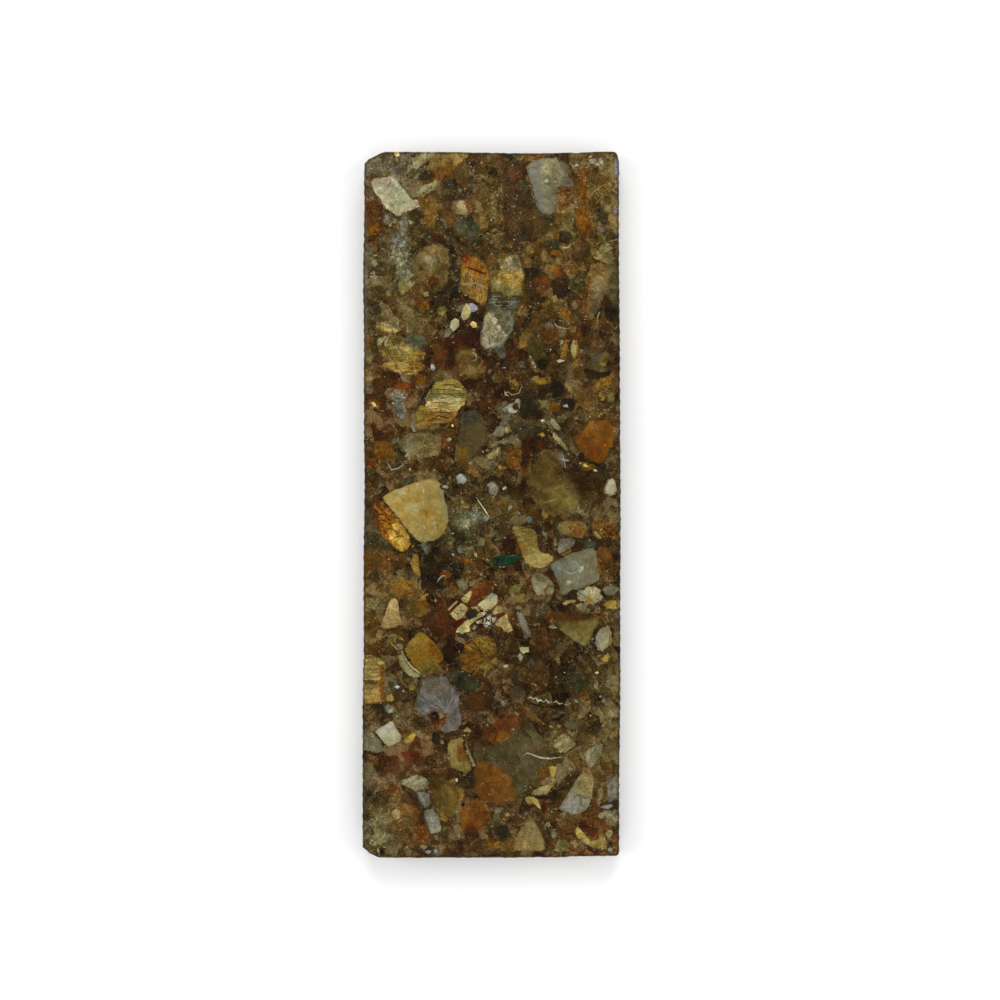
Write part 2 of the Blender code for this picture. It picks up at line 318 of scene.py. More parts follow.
    chip("orange_middle", (573, 214, 577, 206, 584, 204, 589, 212, 593, 218, 593, 230, 590, 238, 584, 240,
         579, 234, 575, 224), "6e440c 5c3a0c 84561c", soft=0.3, grit=0.9, bands=0.4, lean=75, pitch=0.8)
    chip("light_cluster_one", (572, 164, 575, 162, 578, 165, 577, 170, 573, 169), "9a967c 88846a aeaa90",
         soft=0.2, thin=True, grit=1.0)
    chip("light_cluster_two", (588, 160, 593, 157, 598, 160, 596, 165, 590, 164), "88846a 767258 a09c84",
         soft=0.5, cover=0.75, specks=1.0, grit=1.0)
    chip("light_cluster_three", (598, 158, 603, 155, 605, 162, 602, 168, 598, 165),
         "8c886e 7a765c a4a088", soft=0.4, cover=0.8, specks=0.9, grit=1.0)
    chip("light_cluster_four", (585, 164, 588, 163, 589, 167, 586, 168), "b0ac92 9e9a80 c4c0a6", soft=0.1,
         thin=True)
    chip("yellow_dot_right", (607, 184, 610, 182, 612, 185, 610, 188, 607, 188), "8a7a32 786a28 9e8e48",
         soft=0.12, thin=True)
    chip("light_olive_right", (598, 208, 604, 206, 609, 213, 609, 221, 603, 226, 598, 220),
         "3a3220 2e2718 56502f", soft=0.8, cover=0.85)
    chip("dark_beside_fleck", (594, 223, 598, 224, 599, 232, 595, 235), "241f18 1d1913 38322a", soft=0.3)
    chip("blue_grey_right", (593, 209, 597, 208, 600, 213, 596, 216), "40443f 343834 555a54", soft=0.3)
    chip("lilac_rim_four", (613, 194, 619, 194, 619, 203, 614, 202), "4c4644 403a38 605a58", soft=0.3)
    chip("olive_by_orange", (560, 214, 574, 211, 574, 228, 566, 231, 560, 225), "6a5a34 5a4a28 80744e",
         soft=0.7, cover=0.7, specks=0.5)
    chip("dark_round", (558, 234, 563, 230, 570, 231, 572, 238, 567, 244, 560, 242),
         "2e251a 261e15 3c3020", soft=0.5)
    chip("slate_round", (549, 241, 557, 240, 560, 246, 554, 249, 549, 246), "3e3d35 33322b 4c4b3e",
         soft=0.4)
    chip("orange_small_one", (549, 252, 552, 249, 558, 249, 562, 252, 561, 256, 555, 257, 550, 256),
         "7f5116 6a4410 96702c", soft=0.2)
    chip("orange_small_two", (551, 268, 556, 265, 562, 267, 563, 273, 558, 277, 553, 274),
         "6e4212 5c380e 865a20", soft=0.5)
    chip("lilac_rim_one", (613, 155, 618, 158, 620, 176, 614, 178), "7f7a86 6c6772 96929c", soft=0.3)
    chip("lilac_rim_two", (613, 181, 620, 180, 620, 192, 615, 192), "78747f 68646e 8c8894", soft=0.3)
    chip("lilac_rim_three", (612, 205, 620, 204, 620, 216, 613, 216), "7d727a 6c6268 8c828a", soft=0.3)
    chip("blue_fleck", (599, 227, 603, 228, 605, 232, 601, 232), "5c6468 4c5458 6e767c", soft=0.1,
         thin=True)
    chip("fibrous_beige", (594, 257, 598, 250, 601, 244, 607, 243, 612, 249, 614, 256, 615, 263, 609, 265,
         603, 262, 597, 260), "776d46 625836 8d8560", soft=0.5, cover=0.85, bands=0.8, lean=35, pitch=1.3)
    chip("olive_strip_right", (609, 266, 617, 266, 618, 300, 610, 300, 606, 290, 608, 278),
         "4f4a30 423e28 68623f", soft=0.6, cover=0.85, specks=0.5)
    thread("curl_right_one", (571, 243, 570, 246, 566, 248, 562, 247), 1.7, "a69a68 94885a b8ac7c")
    thread("curl_right_two", (570, 255, 571, 260, 569, 264, 566, 267), 2.2, "80703e 6e6032 948454",
           cover=0.85)
    chip("curl_right_crumb", (565, 262, 569, 260, 570, 264, 567, 267), "8c7c48 7a6a3a a0905c", soft=0.1,
         thin=True)
    chip("tan_long", (590, 264, 598, 262, 606, 266, 608, 277, 607, 288, 603, 299, 598, 309, 594, 318, 588,
         321, 582, 318, 583, 306, 585, 292, 588, 277), "6e5630 5c4624 806a42", soft=0.7, cover=0.95,
         bands=0.5, lean=78, pitch=0.8, grit=0.6)
    chip("pink_on_tan", (592, 284, 599, 281, 604, 284, 600, 300, 594, 312, 590, 312, 590, 296),
         "7c6c50 6c5c42 8c7e62", soft=0.8, cover=0.7)
    chip("rust_left_of_tan", (584, 292, 588, 276, 591, 276, 588, 296, 586, 318, 583, 316),
         "5e3c12 50310f 70481c", soft=0.5)
    chip("beige_right_of_tan", (597, 284, 602, 278, 607, 282, 606, 289, 602, 299, 598, 309, 594, 317, 590,
         318, 591, 306, 594, 294), "74664a 665a3e 857858", soft=0.6, cover=0.8, bands=0.4, lean=75,
         pitch=1.0)
    chip("dark_block_right", (606, 304, 612, 301, 620, 303, 620, 320, 611, 321, 604, 314),
         "2e2a1e 25221a 3b3626", soft=0.6)
    chip("honey_block", (490, 287, 490, 281, 494, 276, 499, 270, 504, 265, 512, 265, 522, 268, 523, 275,
         522, 285, 521, 291, 516, 292, 508, 290, 500, 291, 494, 291), "84702c 74602a a0905c", soft=0.35,
         grit=1.0, bands=0.4, lean=30, pitch=1.0)
    chip("honey_foot", (492, 289, 500, 288, 506, 287, 521, 288, 520, 296, 508, 296, 505, 292, 496, 292),
         "73693a 615730 948b60", soft=0.4, cover=0.9, specks=0.4)
    chip("honey_glow", (493, 283, 498, 279, 502, 282, 499, 288, 494, 289), "a2966a 948858 b2a682",
         soft=0.4, cover=0.8)
    thread("honey_stripe_one", (512, 275, 512, 281, 513, 288), 1.6, "a89a60 968850 b8aa78", cover=0.7)
    chip("honey_patch_above", (500, 268, 503, 262, 506, 257, 513, 255, 519, 258, 522, 266, 521, 275, 512,
         272, 505, 270), "74694a 5f563a 968d70", soft=0.5, cover=0.85, specks=0.8, grit=1.0, bands=0.6,
         lean=-65, pitch=1.2)
    chip("dark_square", (524, 268, 536, 267, 549, 275, 551, 284, 546, 293, 535, 297, 527, 294, 524, 284),
         "3b2a17 302213 4c3318", soft=0.4)
    chip("dark_square_top", (525, 269, 534, 267, 541, 270, 540, 277, 532, 280, 526, 277),
         "2c2216 221a10 3c2e1e", soft=0.45, cover=0.85)
    chip("rust_in_dark_square", (536, 279, 548, 277, 551, 286, 546, 292, 538, 290),
         "553212 47290f 664018", soft=0.8, cover=0.8)
    chip("black_brown_right", (550, 281, 558, 277, 567, 279, 569, 290, 563, 299, 554, 298),
         "2c2016 241a12 3a2a1a", soft=0.5)
    chip("grey_top", (487, 297, 491, 293, 498, 293, 508, 296, 518, 296, 522, 299, 520, 306, 516, 313, 515,
         320, 514, 328, 510, 336, 506, 342, 504, 348, 506, 357, 503, 360, 499, 357, 495, 351, 490, 349,
         484, 348, 480, 344, 480, 337, 482, 326, 484, 314, 486, 305), "57523f 454234 6c6a58", soft=0.2,
         grit=0.9)
    chip("grey_top_streaks", (489, 298, 494, 295, 506, 298, 519, 300, 517, 307, 511, 312, 500, 310, 489,
         307), "4c483a 3a382e 77766a", soft=0.5, bands=0.9, lean=-35, pitch=1.2, grit=1.0)
    chip("grey_beige_middle", (496, 404, 506, 400, 514, 410, 508, 421, 498, 418), "6e6248 5e543c 8c8066",
         soft=0.8, cover=0.75, specks=0.9, grit=1.0)
    chip("ochre_middle", (498, 500, 510, 498, 520, 508, 514, 518, 500, 516), "5a4826 4a3b1e 6c5830",
         soft=1.0, cover=0.8, specks=0.4, grit=0.6)
    chip("light_in_grey_top", (508, 302, 514, 301, 517, 305, 513, 310, 509, 308), "6d6b5e 5b594e 84827a",
         soft=0.5, cover=0.8, specks=0.6)
    chip("grey_sparkly", (481, 344, 481, 337, 483, 327, 485, 317, 488, 312, 495, 312, 503, 312, 511, 313,
         513, 320, 512, 328, 508, 336, 503, 343, 495, 346, 488, 348), "8c8566 756e50 b2ac92", soft=0.6,
         specks=0.6, grit=1.0)
    chip("sparkly_blue_side", (507, 316, 514, 316, 513, 330, 509, 334, 506, 326), "747260 62604f 8c8a78",
         soft=0.5, cover=0.7, grit=1.0)
    chip("spark_in_grey_one", (492, 319, 495, 317, 498, 320, 495, 324, 493, 323), "b4b296 a2a084 c6c4aa",
         soft=0.1, thin=True, grit=1.0)
    chip("spark_in_grey_two", (503, 335, 506, 333, 507, 336, 504, 337), "aaa88c 98967a bcbaa0", soft=0.1,
         thin=True)
    chip("spark_in_grey_three", (484, 338, 487, 336, 488, 341, 486, 347, 484, 344),
         "a09e84 8e8c72 b4b298", soft=0.1, thin=True)
    chip("spark_in_grey_four", (496, 327, 499, 325, 501, 328, 498, 330), "a6a488 949276 b8b69c", soft=0.1,
         thin=True)
    chip("steel_foot", (495, 348, 502, 344, 506, 347, 506, 358, 502, 358, 498, 354),
         "56544a 484740 6a6960", soft=0.45)
    chip("olive_streak", (519, 349, 519, 338, 527, 327, 535, 318, 540, 320, 533, 333, 527, 346),
         "695325 5b451c 7c6632", soft=0.6, cover=0.85)
    chip("rust_mid_right", (538, 340, 539, 331, 546, 326, 556, 327, 560, 334, 558, 341, 550, 343),
         "573a18 482d12 684c22", soft=0.9, cover=0.85)
    chip("smear", (543, 338, 551, 341, 557, 342, 549, 346, 543, 343), "7e6634 6c5428 927a48", soft=0.3)
    chip("amber_round", (558, 311, 565, 308, 572, 312, 569, 318, 561, 318), "7b5212 6a440f 8c6420",
         soft=0.6, round=True)
    chip("pink_beige_right", (570, 301, 576, 299, 580, 306, 577, 311, 571, 309), "7d6444 6c5538 907858",
         soft=0.3)
    chip("cream_specks_right", (552, 297, 556, 295, 558, 300, 554, 303), "80703c 6e6030 94844e", soft=0.2,
         thin=True)
    chip("olive_near_amber", (570, 278, 582, 277, 584, 290, 575, 294, 569, 288), "4a4424 3e391d 5c5632",
         soft=0.6, cover=0.8)
    chip("slit_orange", (559, 359, 561, 351, 563, 343, 566, 338, 571, 338, 571, 346, 569, 354, 567, 360,
         562, 360), "83581c 6e4714 a27c38", soft=0.25, bands=0.6, lean=75, pitch=1.2, grit=1.0)
    chip("slit_light", (571, 344, 572, 339, 577, 339, 580, 346, 579, 355, 576, 360, 571, 360, 570, 352),
         "86641e 704e14 a48a48", soft=0.2, bands=0.6, lean=85, pitch=1.2, grit=1.0)
    chip("slit_dark", (569, 345, 571, 341, 571, 350, 570, 360, 567, 360, 568, 352),
         "3c2c12 2e210e 5a461c", soft=0.15)
    chip("slate_wedge", (580, 366, 586, 362, 592, 356, 598, 352, 606, 350, 609, 355, 604, 360, 598, 366,
         590, 369), "48423a 3e3830 585042", soft=0.3)
    chip("olive_in_slate", (586, 364, 594, 360, 600, 362, 598, 367, 590, 369), "46401f 3a351a 585030",
         soft=0.6, cover=0.8)
    chip("olive_in_wedge", (600, 357, 609, 352, 613, 357, 604, 366, 599, 364), "5e4e20 50421b 6c5c2a",
         soft=0.6)
    chip("black_band", (584, 367, 592, 370, 600, 372, 612, 369, 610, 375, 600, 379, 590, 380, 585, 374),
         "241b11 1d150e 352a1a", soft=0.5)
    chip("ochre_right", (597, 385, 599, 380, 605, 378, 612, 377, 611, 384, 607, 388, 600, 389),
         "83601e 6e4c14 a2803c", soft=0.4, grit=1.0, bands=0.3, lean=15, pitch=1.0)
    chip("brown_under_streaks", (589, 187, 601, 181, 612, 188, 612, 203, 600, 206, 590, 198),
         "4c3a1e 3c2d16 86703c", soft=0.9, cover=0.85, specks=0.8, grit=1.0)
    thread("gold_streak_a", (590, 196, 597, 189, 606, 184), 1.2, "8a7440 786234 a08c58", cover=0.7)
    thread("gold_streak_b", (596, 204, 602, 197, 610, 192), 1.2, "7e6838 6c582c 968250", cover=0.7)
    chip("brown_under_curls", (562, 256, 575, 254, 584, 262, 580, 273, 568, 274, 562, 266),
         "4e3a1e 3e2d18 7a6238", soft=0.9, cover=0.85, specks=0.7, grit=1.0)
    chip("brown_under_wedge", (587, 402, 600, 400, 606, 410, 600, 419, 589, 416), "54401f 443218 8a7040",
         soft=0.9, cover=0.9, specks=0.9, grit=1.0)
    chip("brown_left_of_gold", (489, 371, 501, 369, 506, 379, 500, 388, 490, 384), "442e16 352310 6a5028",
         soft=0.9, cover=0.9, specks=0.6, grit=1.0)
    chip("gold_by_spark", (508, 380, 515, 379, 520, 385, 517, 391, 510, 389), "66521f 544216 927c44",
         soft=0.6, cover=0.9, specks=0.8, grit=1.0)
    thread("rim_by_gold", (507, 391, 512, 395, 519, 393, 522, 386), 1.2, "8a8262 766e50 a29a78",
           cover=0.7)
    chip("beige_lavender", (564, 384, 568, 380, 576, 379, 583, 384, 590, 392, 593, 402, 591, 410, 585,
         412, 580, 404, 574, 397, 568, 391), "6a5838 5a492c 86764e", soft=0.4, bands=0.5, lean=-55,
         pitch=1.0)
    chip("ochre_low_right", (597, 393, 600, 390, 604, 391, 606, 398, 605, 403, 600, 402),
         "a8843a 8e6a2c c0a062", soft=0.3, grit=1.0)
    chip("olive_low_right", (606, 392, 616, 392, 615, 402, 607, 402), "80713a 705f2e 948654", soft=0.5,
         cover=0.85)
    chip("black_zone_upper", (551, 382, 560, 380, 566, 388, 564, 396, 553, 398), "1d170f 17120b 30281a",
         soft=0.5)
    chip("beige_top_zone", (534, 400, 548, 400, 548, 409, 535, 409), "6f6240 5f5336 867852", soft=0.8,
         cover=0.7, specks=0.5)
    chip("orange_brown_zone", (548, 402, 558, 402, 558, 411, 549, 411), "64400f 54350c 7c5620", soft=0.6)
    chip("black_with_spark", (560, 400, 572, 398, 577, 404, 572, 411, 561, 412), "221c13 1b160f 342c20",
         soft=0.5)
    chip("spark_in_dark", (563, 405, 567, 404, 568, 407, 564, 407), "9a9888 888676 acaa9a", soft=0.08,
         thin=True)
    chip("pale_by_dark", (573, 415, 578, 413, 581, 417, 577, 421, 573, 419), "6f6a56 5f5a48 827c68",
         soft=0.3)
    chip("brown_in_beige", (579, 385, 586, 389, 591, 397, 590, 407, 585, 410, 580, 402, 576, 393),
         "5a4522 4c391b 6e582e", soft=0.7, cover=0.8)
    chip("dark_dome", (526, 352, 527, 344, 534, 339, 541, 342, 547, 351, 550, 362, 545, 370, 537, 366,
         530, 358), "443a1a 352d16 554922", soft=0.35, round=True)
    chip("dome_foot", (536, 360, 544, 357, 549, 364, 545, 371, 537, 367), "1c1710 15110c 2c2416",
         soft=0.4)
    chip("dome_glint_one", (529, 356, 531, 356, 532, 360, 530, 360), "9c9a8c 8a887a b0aea0", soft=0.08,
         thin=True)
    chip("dome_glint_two", (531, 361, 534, 361, 535, 364, 532, 365), "a8a69a 969488 bcbaae", soft=0.08,
         thin=True)
    chip("dome_glint_three", (533, 365, 536, 365, 536, 368, 534, 368), "96968c 84847a aaaaa0", soft=0.08,
         thin=True)
    chip("slit_cream_core", (571, 345, 573, 342, 576, 346, 576, 353, 573, 358, 571, 352),
         "a0925c 8a7c46 b6aa78", soft=0.2, thin=True, grit=0.8)
    chip("orange_streak_low_right", (581, 388, 585, 389, 588, 398, 590, 408, 586, 410, 583, 400),
         "76501e 643f14 8e6a34", soft=0.5, cover=0.85)
    chip("mauve_brown_wedge", (556, 374, 566, 366, 580, 368, 590, 382, 594, 396, 586, 398, 574, 384, 562,
         380), "54412a 453421 685438", soft=1.0, cover=0.7)
    chip("ochre_crumb", (533, 377, 539, 374, 545, 376, 551, 377, 549, 384, 541, 385, 535, 382),
         "7e6426 6c521a 9c843e", soft=0.5, specks=0.6, grit=1.0)
    chip("slit_over_crumb", (536, 372, 541, 372, 546, 377, 540, 378), "17120c 120e0a 2a2014", soft=0.15)
    chip("orange_striated", (462, 268, 464, 260, 470, 257, 477, 258, 483, 262, 487, 268, 489, 276, 489,
         290, 488, 300, 485, 308, 481, 306, 474, 301, 468, 298, 463, 293, 460, 285, 459, 277),
         "8a6624 765016 9c8450", soft=0.2, bands=0.6, lean=80, pitch=1.0, grit=0.9)
    chip("orange_head", (463, 262, 464, 258, 470, 256, 477, 257, 484, 262, 488, 270, 489, 277, 480, 276,
         469, 272, 461, 270), "7d4e13 693a0c 9a6c26", soft=0.6, cover=0.85, bands=0.6, lean=70, pitch=1.0)
    thread("orange_dark_band", (465, 267, 472, 269, 480, 272, 487, 275), 2.2, "4a240c 3c1c0a 6a3c14",
           cover=0.7)
    thread("orange_dark_hatch", (470, 275, 474, 281, 476, 290), 1.6, "5e3a12 4e2e0e 76521e", cover=0.6)
    thread("orange_pale_hatch", (482, 286, 484, 293, 483, 300), 1.6, "a08a54 8e7844 b09c6c", cover=0.6)
    chip("orange_olive_side", (458, 285, 465, 287, 468, 293, 464, 294, 460, 290), "5f5626 50481e 746a36",
         soft=0.4)
    chip("rust_tip", (461, 258, 465, 252, 470, 256, 466, 264), "5c260e 4a1f0c 743a14", soft=0.4)
    chip("dark_seam_upper", (446, 252, 450, 252, 456, 264, 460, 276, 455, 277, 449, 266),
         "2f2a20 26211a 3f3a2c", soft=0.3)
    chip("olive_beige_large", (412, 263, 417, 254, 426, 246, 438, 243, 447, 249, 450, 262, 449, 274, 443,
         288, 434, 291, 426, 285, 416, 275), "6d5c36 605028 80744c", soft=0.6, cover=0.9)
    chip("pinkish_disc", (415, 257, 421, 251, 427, 253, 427, 261, 421, 266, 416, 263),
         "7a6642 6c5836 8a7852", soft=0.5, round=True)
    chip("pale_in_olive", (426, 257, 433, 255, 437, 260, 432, 266, 427, 263), "8d8360 7c7250 9c9474",
         soft=0.4)
    chip("rust_in_olive", (425, 278, 433, 275, 440, 279, 438, 288, 430, 289), "4a280e 3c200b 5c381a",
         soft=0.6, round=True)
    chip("beige_yellow", (396, 284, 400, 279, 408, 278, 416, 281, 417, 285, 412, 289, 407, 293, 402, 297,
         398, 291), "87794e 7a6a38 988c62", soft=0.3)
    chip("gritty_head", (394, 272, 408, 269, 414, 276, 408, 280, 398, 280), "7c785a 6a664c 9c987c",
         soft=0.4, specks=0.6)
    chip("teal_speck", (393, 265, 396, 264, 397, 271, 394, 272), "34484a 2b3a3c 4c5e5e", soft=0.2)
    chip("black_patch_mid", (446, 292, 452, 287, 459, 289, 461, 295, 453, 298), "25211a 1e1a15 37312a",
         soft=0.35)
    chip("dark_mottle_mid", (430, 290, 446, 289, 449, 303, 440, 309, 428, 304), "281d13 33271a 44331f",
         soft=0.8, cover=0.8, specks=0.5)
    chip("orange_blob_left", (415, 303, 420, 297, 428, 299, 430, 308, 424, 313, 417, 309),
         "6a4616 5a3a12 80601f", soft=0.5, specks=0.4)
    chip("maroon_slit", (399, 304, 408, 303, 418, 308, 419, 312, 408, 308), "2c1512 38161a 42221a",
         soft=0.25)
    chip("yellow_cap", (461, 316, 463, 308, 467, 303, 470, 307, 471, 313, 467, 319, 463, 320),
         "b0a56e 9c9056 c6bc92", soft=0.1, thin=True, grit=0.2)
    chip("lavender_cap", (469, 303, 473, 303, 477, 306, 478, 309, 475, 312, 471, 312),
         "9a97a0 84818c b4b1ba", soft=0.1, thin=True, grit=0.2)
    chip("small_cream", (450, 328, 451, 321, 455, 318, 459, 320, 459, 326, 455, 330, 450, 333),
         "aaa47e 988f68 bcb690", soft=0.12, thin=True, grit=0.2)
    chip("cream_tail", (444, 337, 446, 330, 450, 327, 453, 331, 448, 337), "6e6c5c 5e5c4e 807e6c",
         soft=0.3, thin=True)
    chip("dark_red_zone", (434, 346, 446, 338, 462, 332, 482, 332, 482, 348, 470, 354, 460, 352, 456, 366,
         446, 374, 434, 368), "3c1e0d 30180b 502810", soft=1.0, cover=0.85, bands=0.3, lean=5, pitch=0.5)
    chip("khaki_mid", (457, 354, 464, 347, 474, 350, 483, 360, 482, 374, 473, 381, 464, 374, 459, 364),
         "584826 4a3c1e 6c5c36", soft=0.9, cover=0.85, specks=0.6, grit=1.0)
    chip("beige_in_khaki", (463, 368, 468, 365, 473, 368, 470, 374, 465, 373), "6c5a38 5c4a2c 7e6c48",
         soft=0.5, thin=True)
    chip("orange_brown_by_zone", (432, 346, 440, 342, 447, 348, 446, 362, 440, 372, 434, 366),
         "52361a 43290f 684624", soft=0.8, cover=0.8)
    chip("near_black_zone", (447, 350, 455, 349, 456, 362, 450, 369, 446, 362), "22130c 1b100a 321c10",
         soft=0.6)
    chip("honey_cream_left", (376, 322, 383, 323, 389, 324, 395, 327, 402, 329, 400, 332, 391, 332, 383,
         332, 377, 329), "8a7a46 76683a a4986c", soft=0.5, bands=0.6, lean=-12, pitch=1.1, grit=1.0)
    chip("olive_fleck_left", (437, 308, 445, 306, 448, 311, 441, 315, 436, 313), "766a38 625826 988c54",
         soft=0.4, thin=True, grit=1.0)
    chip("olive_banded", (384, 346, 388, 339, 397, 335, 407, 337, 414, 343, 418, 350, 425, 353, 425, 359,
         412, 360, 398, 360, 386, 360, 382, 354), "77672e 62521f 9a8c54", soft=0.5, cover=0.92, bands=0.6,
         lean=4, pitch=1.0, grit=1.0)
    chip("cream_cap_of_lobe", (430, 381, 433, 374, 439, 369, 447, 371, 454, 380, 446, 383, 436, 384),
         "52482c 443b22 6c6444", soft=0.6, cover=0.85, grit=1.0)
    chip("grey_green_in_banded", (405, 337, 413, 334, 424, 336, 426, 345, 420, 350, 409, 348, 403, 343),
         "4d5040 41443a 63675a", soft=0.7, cover=0.9, grit=0.8)
    chip("orange_banded", (381, 363, 388, 361, 396, 360, 405, 361, 413, 360, 421, 361, 427, 366, 425, 371,
         418, 374, 410, 376, 400, 375, 390, 371, 383, 368), "8a6828 6a4614 a88e4e", soft=0.3, bands=0.9,
         lean=4, pitch=1.2, grit=1.0)
    chip("stripe_olive_mid", (383, 350, 396, 352, 410, 353, 424, 352, 426, 359, 410, 361, 392, 360, 383,
         357), "6e5a20 5c481a 8a7432", soft=0.6, cover=0.8, bands=0.8, lean=3, pitch=1.2, specks=0.5,
         grit=1.0)
    chip("stripe_cream_upper", (392, 345, 402, 342, 410, 348, 404, 353, 394, 352), "8d8150 7a6f40 a09668",
         soft=0.7, cover=0.8, grit=1.0)
    chip("lilac_streak_top", (388, 393, 395, 390, 403, 390, 408, 394, 404, 400, 396, 402, 390, 399),
         "5e5a4c 4e4a3e 8a867c", soft=0.5, cover=0.85, specks=1.0, grit=1.0, bands=0.5, lean=-10,
         pitch=1.2)
    chip("grey_bit_column", (395, 404, 400, 402, 404, 407, 403, 414, 399, 418, 396, 412),
         "5e5b50 4e4b40 86837a", soft=0.7, cover=0.7, specks=1.0, grit=1.0)
    chip("grit_left_edge", (364, 385, 370, 382, 375, 387, 373, 394, 366, 394), "5c5340 4c4434 7c745e",
         soft=0.6, cover=0.8, specks=1.0, grit=1.0)
    chip("brown_patch_left", (378, 392, 386, 394, 387, 402, 380, 404, 375, 398), "3c2a16 30200f 4e3820",
         soft=0.7, cover=0.8)
    chip("cream_bit_edge", (364, 352, 371, 350, 376, 355, 373, 361, 366, 361), "6a5c34 594c2a 867a50",
         soft=0.6, cover=0.8, specks=0.6, grit=1.0)
    chip("rust_column_by_edge", (362, 334, 370, 333, 374, 342, 371, 350, 363, 348),
         "5a3e1c 4a3116 745428", soft=0.8, cover=0.8, bands=0.5, lean=85, pitch=1.0)
    chip("pale_green_dot", (432, 366, 434, 364, 436, 368, 434, 371, 431, 370), "848e7c 727c6a 989f90",
         soft=0.08, thin=True)
    thread("twig_one", (400, 371, 401, 376, 405, 381, 410, 382), 1.8, "7a745e 6a6450 8e8872", cover=0.8)
    chip("rust_under_bands", (394, 384, 404, 382, 417, 386, 414, 391, 400, 390), "5e340c 4e2a0a 764a1c",
         soft=0.4)
    chip("dark_under_bands", (389, 370, 396, 371, 402, 376, 396, 380, 388, 377), "3a2210 2e1a0c 50341c",
         soft=0.4)
    chip("cream_in_bands", (396, 363, 402, 362, 409, 364, 407, 368, 399, 368), "9c8648 8a743a b09c60",
         soft=0.3, thin=True, cover=0.85)
    chip("rust_disc", (412, 379, 416, 374, 424, 374, 428, 379, 423, 385, 415, 385),
         "5d3d11 4e310e 6e4c18", soft=0.5, round=True)
    chip("red_orange_fleck", (395, 385, 402, 382, 410, 386, 406, 390, 398, 389), "78400c 66340a 8e5a1a",
         soft=0.4)
    chip("lobe_shadow", (420, 400, 424, 392, 430, 385, 436, 380, 436, 384, 430, 390, 426, 398),
         "2c2412 241d10 3c321c", soft=0.5)
    chip("yellow_lobe", (424, 400, 426, 396, 429, 390, 433, 385, 438, 381, 444, 379, 452, 379, 459, 381,
         464, 386, 467, 391, 469, 396, 467, 399, 464, 404, 460, 407, 452, 408, 446, 408, 438, 407, 432,
         406, 427, 403), "a2924c 887840 4a3a1c", soft=0.12, specks=0.9, grit=1.0, bands=0.7, lean=3,
         pitch=2.2)
    chip("lobe_band", (425, 401, 434, 399, 446, 397, 458, 398, 466, 399, 464, 404, 460, 407, 446, 408,
         432, 406, 427, 404), "d8ca92 bcae74 7a6a3c", soft=0.5, cover=0.9, grit=0.9, specks=0.5,
         bands=0.7, lean=3, pitch=2.0)
    chip("lobe_crown", (436, 383, 444, 380, 454, 380, 462, 386, 458, 391, 448, 389, 438, 390),
         "86742e 6f5e24 3e3116", soft=0.5, cover=0.75, specks=1.0, grit=1.0)
    chip("lower_lobe", (415, 419, 416, 412, 420, 407, 428, 405, 440, 408, 450, 409, 458, 409, 457, 414,
         452, 420, 444, 424, 436, 424, 430, 427, 424, 429, 419, 428, 416, 424), "8f7a3c 80601f 552a0e",
         soft=0.14, bands=1.0, lean=5, pitch=1.9, grit=0.8, specks=0.4)
    chip("lobe_cheek", (415, 419, 416, 412, 420, 407, 428, 405, 431, 409, 427, 417, 426, 427, 419, 428,
         416, 424), "94843f 80702f 5c4a20", soft=0.5, cover=0.7, specks=0.6, bands=0.6, lean=5, pitch=1.8)
    chip("lobe_dark_end", (440, 410, 450, 409, 458, 409, 457, 414, 452, 420, 444, 423, 441, 418),
         "7c5222 5a2c0c 9c783a", soft=0.5, cover=0.8, bands=1.2, lean=5, pitch=1.6, grit=1.0)
    chip("lobe_join", (424, 405, 434, 402, 446, 403, 457, 404, 459, 410, 448, 413, 434, 411, 425, 410),
         "c4b276 a48e50 7a5028", soft=0.6, cover=0.75, bands=0.8, lean=4, pitch=1.8, grit=1.0)
    thread("lobe_streak_one", (430, 391, 437, 389, 444, 390, 452, 388), 1.1, "4e3c18 3e3012 6a5426",
           cover=0.7)
    thread("lobe_streak_two", (433, 395, 441, 393, 449, 395, 458, 393, 465, 394), 1.1,
           "4e3c18 3e3012 6a5426", cover=0.7)
    thread("lobe_streak_three", (438, 386, 446, 384, 454, 385, 461, 388), 1.0, "544018 443412 6e5828",
           cover=0.7)
    thread("lobe_streak_four", (431, 403, 440, 402, 449, 404, 457, 402), 1.1, "6a4c20 5a3e18 86683a",
           cover=0.7)
    thread("lobe_streak_five", (434, 414, 442, 412, 450, 413, 457, 411), 1.2, "4a1e0a 3c1808 682e12",
           cover=0.8)
    thread("lobe_streak_six", (431, 418, 439, 416, 447, 418, 453, 416), 1.3, "4a1e0a 3c1808 682e12",
           cover=0.8)
    thread("lobe_streak_seven", (423, 412, 431, 411, 438, 412), 1.1, "7a4018 683412 92582a", cover=0.7)
    thread("lobe_gleam_one", (429, 393, 436, 392, 446, 393, 456, 391), 1.2, "a8985a 98884e b8a86c",
           cover=0.5)
    thread("lobe_gleam_two", (441, 388, 449, 387, 457, 389, 463, 391), 1.1, "b4a25a a4924c c8b878",
           cover=0.7)
    thread("lobe_gleam_three", (425, 399, 434, 397, 444, 398, 455, 397, 466, 396), 1.5,
           "b2a47a a2946a c2b28a", cover=0.45)
    chip("lobe_rust", (458, 399, 464, 400, 465, 404, 459, 405), "96702c 7c5620 b0904e", soft=0.5,
         cover=0.7)
    chip("seam_under_lobe", (412, 424, 415, 428, 421, 431, 433, 431, 440, 429, 434, 434, 420, 434, 413,
         431), "2a241a 221d15 3a3322", soft=0.3)
    chip("olive_under_lobe", (398, 440, 406, 435, 416, 433, 430, 433, 440, 436, 441, 446, 438, 455, 426,
         458, 410, 456, 400, 450), "6a5e3c 5c5030 827a58", soft=0.9, cover=0.85, bands=0.2, lean=85,
         pitch=1.2, grit=0.8)
